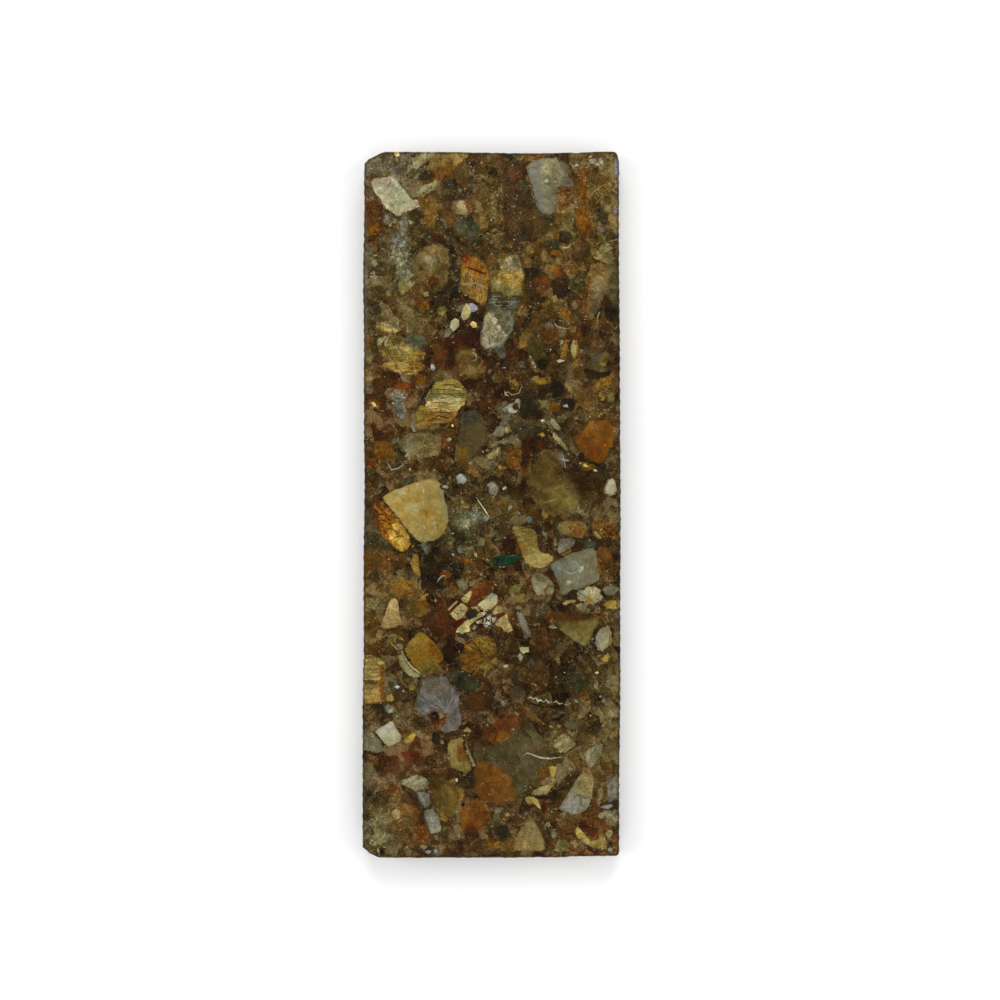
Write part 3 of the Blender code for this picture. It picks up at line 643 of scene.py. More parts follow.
    chip("pale_edge_of_olive", (403, 446, 406, 436, 412, 433, 414, 446, 408, 454), "7e7a60 6e6a50 908c72",
         soft=0.9, cover=0.8)
    chip("grey_column", (392, 404, 398, 401, 405, 402, 407, 412, 404, 419, 397, 419, 393, 412),
         "5e5a4e 4c483c 8c8a82", soft=0.9, cover=0.65, specks=1.0, grit=1.0)
    chip("dark_square_left", (383, 408, 392, 407, 394, 418, 385, 420), "39220f 2f1c0d 4a2e15", soft=0.3)
    chip("ochre_zone_left", (374, 442, 393, 440, 394, 458, 382, 461, 374, 456), "5e4312 50380f 705218",
         soft=0.7, cover=0.85)
    chip("brown_by_curl", (573, 238, 584, 237, 592, 246, 591, 260, 578, 264, 572, 254),
         "44331e 382817 58462c", soft=0.8, cover=0.75, specks=0.3, grit=0.9)
    chip("olive_grey_upper_left", (437, 181, 446, 179, 455, 184, 456, 193, 449, 198, 440, 196, 434, 189),
         "5e5236 4c4028 807252", soft=0.7, cover=0.8, specks=0.8, grit=1.0)
    chip("violet_upper_left", (446, 183, 450, 182, 452, 186, 448, 189), "5c5248 4e453c 746a60", soft=0.45,
         cover=0.8)
    chip("dark_strip_left", (372, 432, 392, 431, 393, 439, 374, 441), "3e2a11 33220e 4e3617", soft=0.6)
    chip("orange_rim_left", (366, 458, 376, 459, 377, 466, 368, 468), "7a470e 683b0c 8e5c1c", soft=0.5)
    chip("rust_zone_mid", (439, 430, 453, 429, 455, 446, 451, 460, 446, 474, 440, 472, 438, 455),
         "50341a 402812 6a5028", soft=1.0, cover=0.75, specks=0.8, grit=1.0)
    chip("orange_in_rust", (448, 431, 455, 430, 456, 440, 450, 440), "543614 44290e 70501f", soft=0.6,
         cover=0.8)
    chip("grey_olive_mid", (456, 462, 456, 450, 457, 438, 459, 428, 460, 418, 463, 413, 470, 411, 478,
         412, 483, 419, 487, 428, 490, 436, 486, 444, 480, 450, 474, 456, 470, 462, 464, 464),
         "4a4028 3f382a 5a4e2e", soft=0.3, cover=0.95, bands=0.3, lean=80, pitch=0.8, grit=0.1)
    thread("olive_pale_edge", (457, 443, 456, 452, 455, 462), 1.8, "6b5c30 5c4f28 7c6c40", cover=0.7)
    # Painted glint: a tiny gold highlight
    chip("gold_dot", (451, 425, 453, 424, 454, 426, 452, 427), "d8b868 c2a050 e4c884", soft=0.05,
         thin=True)
    chip("green_white_dot", (446, 439, 449, 437, 450, 441, 448, 443), "666a52 545840 84886c", soft=0.1,
         thin=True)
    chip("grey_lilac_smear", (501, 415, 508, 413, 511, 423, 505, 425), "5d5648 4f493c 716a5a", soft=0.5)
    chip("dark_before_white", (493, 391, 501, 391, 501, 398, 494, 399), "2a170a 221208 3c2814", soft=0.5)
    chip("slate_head", (461, 415, 470, 411, 481, 412, 484, 421, 472, 424, 460, 422),
         "423d35 37332c 5e5a50", soft=0.6, cover=0.85, specks=0.5, grit=1.0)
    chip("honey_foot_of_grey", (455, 461, 457, 447, 466, 446, 470, 456, 466, 463, 460, 465),
         "64481a 54390f 766024", soft=0.8, cover=0.85)
    chip("cream_ochre_grain", (484, 448, 491, 444, 500, 446, 499, 456, 490, 461, 485, 457),
         "857a4c 6c5a2c a0986c", soft=0.3, specks=0.7, grit=1.0)
    chip("pale_blue_round", (455, 477, 459, 473, 465, 474, 468, 480, 464, 485, 457, 484),
         "98998e 868a7e aaaca2", soft=0.15)
    chip("golden_fibres", (466, 464, 472, 466, 478, 474, 481, 481, 477, 482, 470, 474),
         "5c4824 4a3818 7a683e", soft=0.5, bands=0.5, lean=-50, pitch=1.4, grit=1.0)
    chip("gold_crumbs_mid", (461, 499, 466, 496, 470, 501, 468, 510, 463, 512, 460, 506),
         "584622 48381a 7c6a40", soft=0.6, specks=1.0, grit=1.0, cover=0.85)
    chip("brown_over_crumb_one", (465, 462, 474, 463, 482, 472, 484, 482, 476, 484, 468, 476, 464, 468),
         "4c3a20 3c2d17 6c5834", soft=0.5, cover=0.97, specks=0.5, grit=1.0)
    chip("brown_over_crumb_two", (462, 489, 473, 487, 481, 492, 481, 501, 470, 504, 463, 500),
         "3c2d1a 2d2213 5c4a2e", soft=0.6, cover=0.97, specks=0.6, grit=1.0)
    thread("gold_fibre_one", (466, 465, 471, 470, 475, 477), 1.2, "8a7240 765f32 a08a5a", cover=0.8)
    thread("gold_fibre_two", (471, 464, 477, 471, 482, 479), 1.0, "7e6838 6a562c 947e50", cover=0.7)
    chip("dark_spindle", (477, 497, 482, 502, 487, 509, 490, 518, 485, 513, 480, 506),
         "22221a 1a1a14 34342a", soft=0.35)
    chip("slate_sliver", (398, 489, 403, 482, 409, 478, 414, 475, 418, 478, 412, 482, 406, 485, 401, 488),
         "3f4c4a 33403e 56645f", soft=0.14)
    chip("crack_by_star", (444, 487, 450, 486, 452, 500, 451, 514, 447, 508), "2b2116 221a12 3c2f1f",
         soft=0.3)


def lay_middle_chips():
    """The fragments of the slab's middle third."""
    chip("white_with_spot", (503, 409, 508, 404, 513, 402, 517, 398, 521, 400, 520, 408, 517, 413, 511,
         414), "a59d86 938b70 bab4a0", soft=0.12)
    chip("spot_in_white", (513, 406, 516, 403, 519, 405, 518, 408, 514, 409), "5b3a20 4a2e1a 7a5a38",
         soft=0.1, round=True)
    chip("blue_tip", (502, 409, 506, 406, 508, 410, 505, 412), "787a80 686a70 8c8e94", soft=0.25,
         thin=True)
    chip("grey_square", (493, 433, 496, 427, 500, 425, 505, 427, 505, 434, 503, 437, 498, 437, 494, 436),
         "777258 686348 8a866c", soft=0.1)
    chip("cream_tip", (504, 429, 507, 427, 509, 430, 506, 433), "a88e52 967c40 bca46c", soft=0.1,
         thin=True)
    chip("pale_diagonal", (484, 451, 488, 446, 494, 441, 500, 439, 508, 438, 510, 441, 506, 445, 498, 446,
         492, 449, 487, 454), "827a54 726a44 948c64", soft=0.3)
    chip("ochre_grain", (505, 447, 513, 445, 520, 449, 522, 460, 521, 469, 514, 471, 508, 466, 506, 458),
         "58380f 482c0c 7e6430", soft=0.35, specks=0.7, grit=1.0)
    chip("maroon_zone", (520, 436, 534, 434, 551, 439, 549, 449, 533, 452, 528, 470, 527, 490, 521, 486,
         521, 460), "2e180e 24110a 46260f", soft=1.0, cover=0.8, specks=0.5, grit=1.0)
    chip("slate_zone", (508, 420, 534, 421, 540, 430, 528, 437, 512, 436), "3a3629 2f2b22 4c473a",
         soft=0.9, cover=0.75, specks=0.5)
    chip("dark_by_white", (520, 390, 532, 388, 541, 404, 541, 418, 524, 417, 519, 411),
         "282119 221c15 3a3126", soft=0.6, cover=0.85)
    chip("stick_upper", (549, 422, 551, 418, 554, 418, 557, 422, 562, 428, 566, 434, 569, 438, 565, 438,
         560, 432, 554, 428), "7a7858 6a684a 949276", soft=0.1, bands=0.5, lean=-48, pitch=1.6)
    chip("stick_lower", (552, 432, 554, 430, 559, 436, 564, 442, 569, 449, 566, 451, 561, 447, 556, 441,
         552, 436), "8e8354 7c7244 a49a70", soft=0.1, bands=0.4, lean=-50, pitch=1.6)
    chip("slate_between", (560, 431, 566, 436, 573, 442, 578, 447, 573, 447, 567, 441, 561, 436),
         "484d40 3d4136 5a6050", soft=0.12)
    chip("orange_right_large", (570, 438, 574, 435, 580, 433, 584, 430, 587, 425, 590, 421, 596, 419, 604,
         419, 611, 423, 613, 432, 615, 440, 614, 447, 610, 450, 608, 456, 605, 462, 598, 464, 590, 462,
         584, 456, 578, 448), "70450a 603a0c 7f5218", soft=0.2, grit=0.1)
    chip("light_cross", (558, 453, 562, 452, 565, 453, 565, 458, 570, 459, 569, 462, 565, 463, 565, 468,
         562, 467, 561, 460, 557, 458), "70685c 605a4e 868072", soft=0.2)
    # Painted glint: a gold-white highlight under the orange chip
    chip("cream_under_orange", (581, 465, 587, 463, 591, 468, 586, 469), "a6996a 94885a b8ac7c", soft=0.1,
         thin=True)
    chip("ochre_under_orange", (580, 461, 590, 463, 598, 465, 594, 470, 582, 470), "7a5a20 684b19 8e7034",
         soft=0.4, cover=0.9)
    chip("tiny_pink_dot", (604, 443, 607, 443, 607, 446, 604, 446), "a05c30 8e4c24 b06c40", soft=0.08,
         thin=True)
    # Painted highlight along the orange chip's upper rim
    chip("orange_rim_highlight", (582, 432, 587, 426, 590, 421, 595, 421, 592, 430, 587, 437),
         "8a5e26 7a501c 9c7038", soft=0.6, cover=0.8, grit=0.1)
    chip("brown_in_orange", (600, 424, 611, 424, 613, 436, 606, 442, 601, 436), "553a12 48300e 644618",
         soft=0.8, cover=0.8, grit=0.1)
    # Painted glints: three small pale highlights
    chip("pale_streak_low", (574, 510, 579, 509, 584, 512, 586, 516, 582, 516, 578, 513),
         "6c6044 5a4f38 8c8064", soft=0.3, thin=True, grit=1.0)
    chip("blue_white_bit", (526, 518, 529, 516, 533, 518, 532, 521, 529, 523, 527, 521),
         "5e645e 4e544e 848c86", soft=0.3, thin=True, grit=1.0)
    chip("green_white_bit", (508, 507, 510, 505, 513, 506, 512, 508, 510, 509, 509, 511),
         "868a72 747860 a2a68e", soft=0.2, thin=True, grit=1.0)
    thread("cross_line_one", (562, 451, 564, 460, 566, 468), 1.2, "8f8b7e 7c786c a8a498", cover=0.8)
    thread("cross_line_two", (555, 460, 562, 459, 570, 461), 1.2, "8f8b7e 7c786c a8a498", cover=0.8)
    chip("red_in_orange", (588, 448, 597, 447, 601, 454, 596, 459, 588, 456), "6a340c 5a2c0c 7c4418",
         soft=0.6, cover=0.8, grit=0.1)
    chip("white_tooth", (602, 493, 604, 486, 608, 480, 612, 477, 616, 481, 618, 489, 616, 495, 609, 497),
         "a39d82 918a68 b9b59c", soft=0.25, grit=0.2)
    chip("dark_round_right", (592, 474, 596, 466, 603, 462, 609, 466, 610, 478, 603, 483, 596, 481),
         "30291b 272117 403726", soft=0.4, round=True)
    chip("dark_brown_right", (563, 470, 576, 467, 590, 471, 593, 486, 592, 500, 582, 502, 573, 488, 565,
         478), "34260f 2a1e0d 443216", soft=0.7, cover=0.85)
    chip("slate_diagonal", (558, 470, 565, 474, 573, 485, 580, 496, 586, 505, 578, 502, 569, 489, 560,
         480), "3b3935 302f2b 4c4a42", soft=0.35)
    chip("olive_brown_large", (532, 466, 540, 455, 549, 451, 558, 453, 562, 468, 566, 478, 573, 487, 580,
         499, 577, 508, 569, 513, 556, 516, 545, 513, 538, 506, 531, 496, 526, 488, 529, 476),
         "524426 44371c 62532a", soft=0.8, cover=0.94, bands=0.3, lean=-40, pitch=0.6, grit=0.1)
    chip("olive_glow", (548, 490, 560, 483, 571, 494, 579, 502, 575, 510, 560, 512, 550, 503),
         "62552a 564a24 706235", soft=0.9, cover=0.8, grit=0.1)
    chip("white_grain", (486, 485, 491, 479, 497, 482, 500, 490, 496, 498, 489, 495),
         "8b856c 77715a a39e88", soft=0.3, specks=0.5, grit=1.0)
    chip("cream_star", (382, 497, 392, 490, 400, 488, 408, 484, 416, 482, 424, 479, 432, 478, 438, 479,
         441, 484, 444, 489, 444, 497, 445, 503, 447, 508, 448, 515, 448, 522, 446, 530, 443, 535, 438,
         539, 432, 541, 418, 541, 413, 537, 408, 531, 402, 523, 396, 516, 390, 509, 384, 501),
         "988145 8e763a a69460", soft=0.1, rays=0.25, middle=(426, 514), core=1.1, grit=0.0)
    chip("star_ochre_arm", (394, 503, 408, 492, 420, 496, 418, 510, 408, 522, 400, 514),
         "8f7534 866a2a a0884a", soft=1.2, cover=0.6, grit=0.0)
    chip("star_core", (422, 511, 425, 508, 430, 509, 431, 517, 428, 521, 423, 519),
         "94691e 8a601a a07a34", soft=1.0, cover=0.8, grit=0.0)
    chip("star_pale_middle", (405, 505, 414, 503, 419, 508, 415, 513, 406, 512), "a5976a 9a8c5e b2a67e",
         soft=0.7, cover=0.75, grit=0.0)
    chip("star_pale_arm", (394, 492, 404, 489, 407, 493, 398, 496), "a3956a 96885c b0a47c", soft=0.5,
         cover=0.75, grit=0.0)
    chip("star_foot", (417, 536, 436, 536, 434, 541, 418, 541), "868158 767148 96916c", soft=0.6,
         cover=0.8, grit=0.0)
    chip("star_pale_arc", (437, 485, 443, 484, 446, 489, 441, 490), "a8a078 989064 b8b08c", soft=0.3,
         thin=True)
    thread("star_stroke_one", (423, 488, 424, 491, 423, 494), 1.5, "b0a684 a09674 c0b696", cover=0.7)
    thread("star_stroke_two", (423, 524, 424, 526, 426, 529), 1.5, "b0a684 a09674 c0b696", cover=0.7)
    thread("star_stroke_three", (432, 520, 435, 526, 437, 531), 1.2, "aca27e 9c926e bcb292", cover=0.5)
    thread("star_seam", (379, 497, 387, 507, 396, 518, 405, 530, 414, 541), 1.9, "241a0e 1c140b 3a2c18",
           cover=0.85)
    chip("star_shade", (446, 489, 449, 490, 452, 500, 450, 508, 447, 502), "241d13 1d170f 362c1c",
         soft=0.3)
    chip("star_grey_rim", (437, 483, 441, 484, 444, 489, 444, 497, 447, 508, 448, 520, 443, 516, 440,
         498), "8f8a64 7f7a54 a09c7c", soft=0.5, cover=0.7, grit=0.0)
    chip("grey_under_star", (418, 543, 432, 543, 431, 551, 427, 555, 422, 550), "565548 484740 6c6c60",
         soft=0.22)
    chip("orange_grain", (372, 508, 374, 502, 378, 499, 383, 500, 389, 507, 396, 516, 403, 526, 409, 536,
         411, 543, 408, 549, 402, 552, 397, 550, 391, 544, 385, 539, 379, 532, 373, 527, 370, 518),
         "8a5515 6a3409 b08434", soft=0.15, rays=1.0, middle=(386, 521), core=0.3, specks=0.5, grit=1.0)
    chip("orange_grain_light", (389, 536, 390, 526, 398, 520, 404, 528, 409, 537, 410, 543, 407, 549, 402,
         551, 396, 549), "a8822f 8f681c c4a456", soft=0.5, cover=0.9, rays=0.8, middle=(388, 524),
         core=0.5, specks=0.4, grit=1.0)
    thread("grain_net_one", (373, 512, 379, 515, 386, 514, 392, 517), 1.4, "5a260a 481c08 7a4a1c",
           cover=0.75)
    thread("grain_net_two", (377, 522, 383, 520, 389, 524, 396, 523), 1.4, "5a260a 481c08 7a4a1c",
           cover=0.75)
    thread("grain_net_three", (380, 505, 383, 511, 388, 519, 393, 528), 1.3, "5a260a 481c08 7a4a1c",
           cover=0.7)
    thread("grain_net_four", (383, 531, 388, 528, 393, 530, 399, 535), 1.2, "6a360f 562a0b 8a5a26",
           cover=0.7)
    thread("grain_net_five", (391, 541, 396, 537, 402, 536, 408, 538), 1.1, "7a5018 684010 9a7434",
           cover=0.6)
    chip("dark_red_side", (369, 510, 373, 505, 378, 510, 380, 519, 385, 528, 388, 538, 381, 535, 374, 529,
         370, 520), "5a2a0d 48200a 8a5a20", soft=0.6, cover=0.8, specks=0.9, grit=1.0)
    chip("grey_brown_left", (364, 508, 371, 508, 376, 524, 382, 536, 392, 548, 380, 550, 364, 548),
         "4c4431 403828 5e5640", soft=0.8, cover=0.8, specks=0.3)
    chip("rust_ochre_left", (364, 553, 392, 551, 408, 556, 406, 568, 384, 571, 364, 571),
         "593f18 4b3313 6c5020", soft=0.9, cover=0.8)
    chip("maroon_dot", (391, 572, 396, 570, 398, 576, 394, 578), "1f0f0e 180c0b 32201a", soft=0.2,
         round=True)
    chip("ochre_leaf", (409, 563, 412, 554, 417, 552, 420, 558, 420, 566, 422, 574, 419, 578, 413, 572),
         "9c7c36 8a6a2a ac8c48", soft=0.22)
    chip("black_zone_mid", (424, 555, 440, 548, 450, 556, 448, 572, 440, 590, 428, 590, 424, 575),
         "251c13 1e1710 3a2c1c", soft=0.8, cover=0.85, specks=0.4)
    chip("ochre_zone_low", (386, 582, 402, 578, 418, 582, 425, 596, 412, 600, 394, 597),
         "6e5122 5f441b 80632e", soft=0.7, cover=0.8, specks=0.3)
    chip("mottled_grey", (450, 522, 456, 512, 464, 509, 474, 513, 484, 512, 488, 524, 484, 538, 476, 546,
         466, 548, 456, 543, 451, 532), "44402e 34301f 6c6a50", soft=1.0, cover=0.8, specks=0.9, grit=1.0)
    chip("mottle_pale_one", (454, 519, 463, 515, 470, 520, 467, 529, 459, 533, 454, 527),
         "6e6b50 58553c 9a987c", soft=0.7, cover=0.9, specks=1.0, grit=1.0)
    chip("mottle_blue", (468, 513, 479, 512, 481, 519, 473, 523, 468, 519), "4c4e48 3c3e38 767a74",
         soft=0.6, cover=0.85, specks=0.6, grit=1.0)
    chip("mottle_dark_one", (452, 534, 462, 533, 470, 538, 466, 546, 456, 544), "2c2619 221d13 4a4230",
         soft=0.9, cover=0.8, specks=0.6, grit=1.0)
    chip("mottle_dark_two", (480, 521, 489, 523, 490, 535, 481, 534), "32281a 271f14 4e422a", soft=0.9,
         cover=0.8, specks=0.5)
    chip("mottle_pale_two", (470, 528, 477, 526, 480, 534, 474, 540, 469, 535), "484030 3a3326 6c6450",
         soft=0.7, cover=0.8, specks=0.9, grit=1.0)
    chip("cream_olive_block", (456, 581, 462, 577, 468, 580, 469, 588, 463, 593, 458, 588),
         "6f684a 5f583c 847c5c", soft=0.14, bands=0.4, lean=-60, pitch=1.2)
    chip("band_over_zebra", (468, 583, 476, 579, 484, 575, 489, 575, 482, 580, 474, 585, 469, 588),
         "786840 675834 8f8056", soft=0.12, bands=0.5, lean=28, pitch=1.2)
    chip("orange_dome", (449, 582, 453, 580, 456, 586, 456, 592, 452, 594, 449, 588),
         "6a3c10 58300d 80521c", soft=0.2)
    chip("orange_by_dome", (441, 576, 444, 570, 450, 571, 451, 578, 445, 580), "6a3e10 5a330e 7c4e1a",
         soft=0.4)
    chip("honey_column", (511, 527, 514, 525, 522, 526, 530, 528, 535, 530, 538, 535, 538, 545, 539, 550,
         543, 553, 548, 554, 552, 557, 553, 561, 549, 564, 547, 566, 541, 567, 534, 567, 528, 564, 523,
         557, 521, 550, 518, 545, 516, 540, 514, 534), "7a6830 6a5824 8f7d48", soft=0.12, bands=0.6,
         lean=8, pitch=1.6, grit=0.7)
    chip("honey_column_foot", (522, 553, 534, 550, 547, 553, 553, 558, 548, 566, 534, 568, 525, 563),
         "95834b 86743c a6966a", soft=0.8, cover=0.85, bands=0.4, lean=8, pitch=0.8)
    chip("amber_in_column", (519, 545, 523, 542, 526, 547, 522, 550), "9b6e12 8a5f10 ac8430", soft=0.4,
         round=True)
    chip("dark_by_column", (501, 538, 510, 534, 515, 545, 518, 556, 508, 556, 502, 549),
         "2c1b0c 23160b 3c2814", soft=0.4)
    chip("teal_chip", (491, 562, 497, 557, 505, 555, 514, 555, 521, 553, 522, 557, 517, 562, 510, 565,
         498, 566), "0f4132 0c3328 1e5543", soft=0.14, grit=0.2)
    chip("teal_dark_end", (489, 562, 496, 557, 505, 556, 503, 565, 496, 566), "161f22 12191c 24343a",
         soft=0.5)
    chip("greenish_grey_large", (551, 563, 557, 560, 562, 557, 570, 553, 578, 551, 586, 549, 593, 548,
         596, 552, 597, 560, 598, 568, 600, 575, 599, 580, 594, 583, 588, 587, 581, 590, 575, 591, 571,
         595, 566, 598, 561, 595, 559, 588, 556, 580, 553, 572), "6f6b4e 656249 828068", soft=0.1,
         grit=0.1)
    chip("grey_right_side", (586, 556, 596, 552, 598, 568, 600, 575, 598, 581, 590, 584, 584, 572),
         "6a6248 5d553e 7a725a", soft=0.7, cover=0.8, grit=0.1)
    chip("grey_blue_edge", (551, 564, 557, 561, 562, 566, 560, 574, 556, 576, 552, 570),
         "7a8072 6b7164 8c9286", soft=0.5, cover=0.75, grit=0.1)
    chip("grey_pale_middle", (562, 564, 572, 559, 582, 562, 584, 572, 576, 580, 566, 574),
         "7e7c66 706e58 918f7a", soft=0.9, cover=0.7, grit=0.1)
    chip("grey_glint_one", (578, 571, 580, 567, 583, 566, 584, 569, 580, 573), "a8aea0 969c8e bcc2b4",
         soft=0.1, thin=True)
    chip("grey_glint_two", (566, 581, 570, 580, 572, 583, 568, 584), "9ea496 8c9284 b2b8aa", soft=0.1,
         thin=True)
    thread("grey_vein_one", (563, 570, 570, 574, 577, 572), 1.3, "989c88 868a76 acb09c", cover=0.7)
    thread("grey_vein_two", (574, 560, 579, 566, 581, 575), 1.2, "8f9380 7d816e a4a894", cover=0.6)
    chip("rust_by_grey", (595, 549, 604, 547, 612, 552, 611, 566, 604, 574, 598, 570, 598, 558),
         "583a16 482e10 6c4c22", soft=1.0)
    chip("grit_right_edge", (598, 608, 616, 607, 618, 620, 606, 622, 598, 616), "4a3c24 3c2f1a 7c6c4a",
         soft=0.8, specks=1.0, grit=1.0, cover=0.85)
    chip("grey_lilac", (560, 538, 566, 537, 576, 538, 575, 544, 571, 549, 565, 552, 559, 555, 557, 550,
         557, 544), "716a58 615a4a 827a68", soft=0.12)
    chip("amber_lip", (560, 555, 566, 552, 571, 549, 572, 551, 564, 556), "7a5015 68440f 8e642a",
         soft=0.1, thin=True)
    chip("pale_stick", (552, 535, 556, 534, 558, 545, 556, 554, 553, 548), "776f55 665e46 8b846a",
         soft=0.2)
    chip("pinkish_orange", (558, 523, 566, 521, 578, 521, 585, 522, 588, 528, 587, 535, 576, 537, 566,
         535, 559, 533), "665632 573e19 847450", soft=0.35, specks=0.9, grit=1.0)
    chip("cream_head_of_pink", (560, 523, 567, 521, 572, 524, 570, 531, 562, 533), "76683f 685934 8a7e56",
         soft=0.5, cover=0.8, specks=0.5, grit=1.0)
    chip("cream_side_of_pink", (560, 533, 560, 527, 563, 524, 567, 524, 566, 533), "7a6b40 6b5d34 8a7e5a",
         soft=0.4)
    chip("orange_foot_of_pink", (570, 529, 580, 527, 588, 531, 587, 536, 576, 536),
         "583a15 4a2e0f 6c4a1a", soft=0.8, cover=0.7, specks=0.8, grit=1.0)
    chip("rust_speckled_right", (591, 524, 598, 519, 610, 519, 618, 526, 617, 538, 606, 544, 596, 538),
         "5e4018 4e3210 8a6a30", soft=1.0, cover=0.85, specks=1.0, grit=1.0)
    chip("ochre_fleck_right", (593, 532, 596, 531, 600, 536, 602, 539, 598, 539), "90793f 7e6830 a48e58",
         soft=0.1, thin=True)
    chip("slate_strip", (583, 541, 595, 540, 596, 547, 585, 549), "3f4239 34372f 50533f", soft=0.4)
    chip("dark_strip", (595, 539, 612, 538, 613, 547, 597, 547), "2a2014 221a11 3c2f1e", soft=0.4)
    chip("cream_stick", (541, 531, 545, 530, 549, 535, 550, 540, 546, 538, 542, 535),
         "7f7c62 6f6c54 949178", soft=0.12)
    chip("grey_beige_low", (531, 575, 536, 572, 542, 573, 549, 578, 554, 583, 553, 591, 547, 595, 537,
         596, 533, 590, 531, 582), "847c5c 736b4c 9a9474", soft=0.2)
    chip("grey_beige_second", (545, 590, 549, 586, 554, 587, 555, 591, 551, 595, 546, 594),
         "7a7048 696039 8d8460", soft=0.12)
    chip("olive_head_of_beige", (534, 573, 541, 573, 546, 580, 543, 583, 535, 580),
         "5f5532 51482a 706640", soft=0.5, cover=0.8)
    chip("flower_one", (577, 598, 576, 593, 580, 589, 584, 590, 586, 587, 589, 585, 592, 587, 595, 584,
         597, 588, 601, 590, 601, 594, 604, 597, 601, 601, 598, 602, 594, 605, 590, 604, 586, 606, 583,
         602, 580, 602), "9a926c 87805c b6b090", soft=0.08, rays=0.7, middle=(590, 599), core=0.9,
         grit=0.9)
    chip("flower_core", (588, 599, 590, 595, 593, 597, 593, 601, 590, 603, 588, 602),
         "9a7620 866416 ac8a3c", soft=0.6)
    chip("flower_two_grey", (600, 589, 606, 585, 612, 583, 619, 583, 619, 590, 615, 596, 608, 597, 603,
         593), "76715a 66614a 8c8870", soft=0.3, rays=0.4, middle=(611, 601), core=0.5, grit=1.0)
    chip("flower_two_yellow", (603, 604, 606, 600, 612, 599, 618, 600, 619, 609, 612, 611, 604, 609),
         "8b7330 7a6220 a08c48", soft=0.25, rays=0.4, middle=(611, 601), core=0.8, bands=0.3, lean=80,
         pitch=1.2)
    chip("pale_crescent", (562, 604, 566, 601, 571, 600, 576, 600, 575, 602, 570, 603, 566, 605),
         "9c8c52 8a7b42 b0a26c", soft=0.08, thin=True)
    chip("black_wedge", (562, 599, 567, 594, 573, 590, 577, 595, 573, 599), "2b2017 221911 3e3022",
         soft=0.25)
    chip("olive_star", (507, 592, 510, 587, 515, 584, 520, 585, 522, 589, 517, 592, 511, 595),
         "665f30 575126 787044", soft=0.4)
    chip("ochre_triangle", (514, 602, 515, 596, 519, 593, 524, 592, 527, 595, 526, 602, 520, 606),
         "76632a 655421 86743a", soft=0.3)
    chip("cream_small_star", (514, 608, 517, 603, 522, 606, 524, 610, 518, 611), "7f775b 6d6549 948d72",
         soft=0.2)
    chip("white_drop", (535, 613, 538, 611, 540, 614, 537, 617), "a19d86 8f8b74 b4b19e", soft=0.15,
         round=True)
    chip("white_sliver", (548, 627, 553, 625, 558, 628, 553, 629), "86826c 757159 9a967f", soft=0.15)


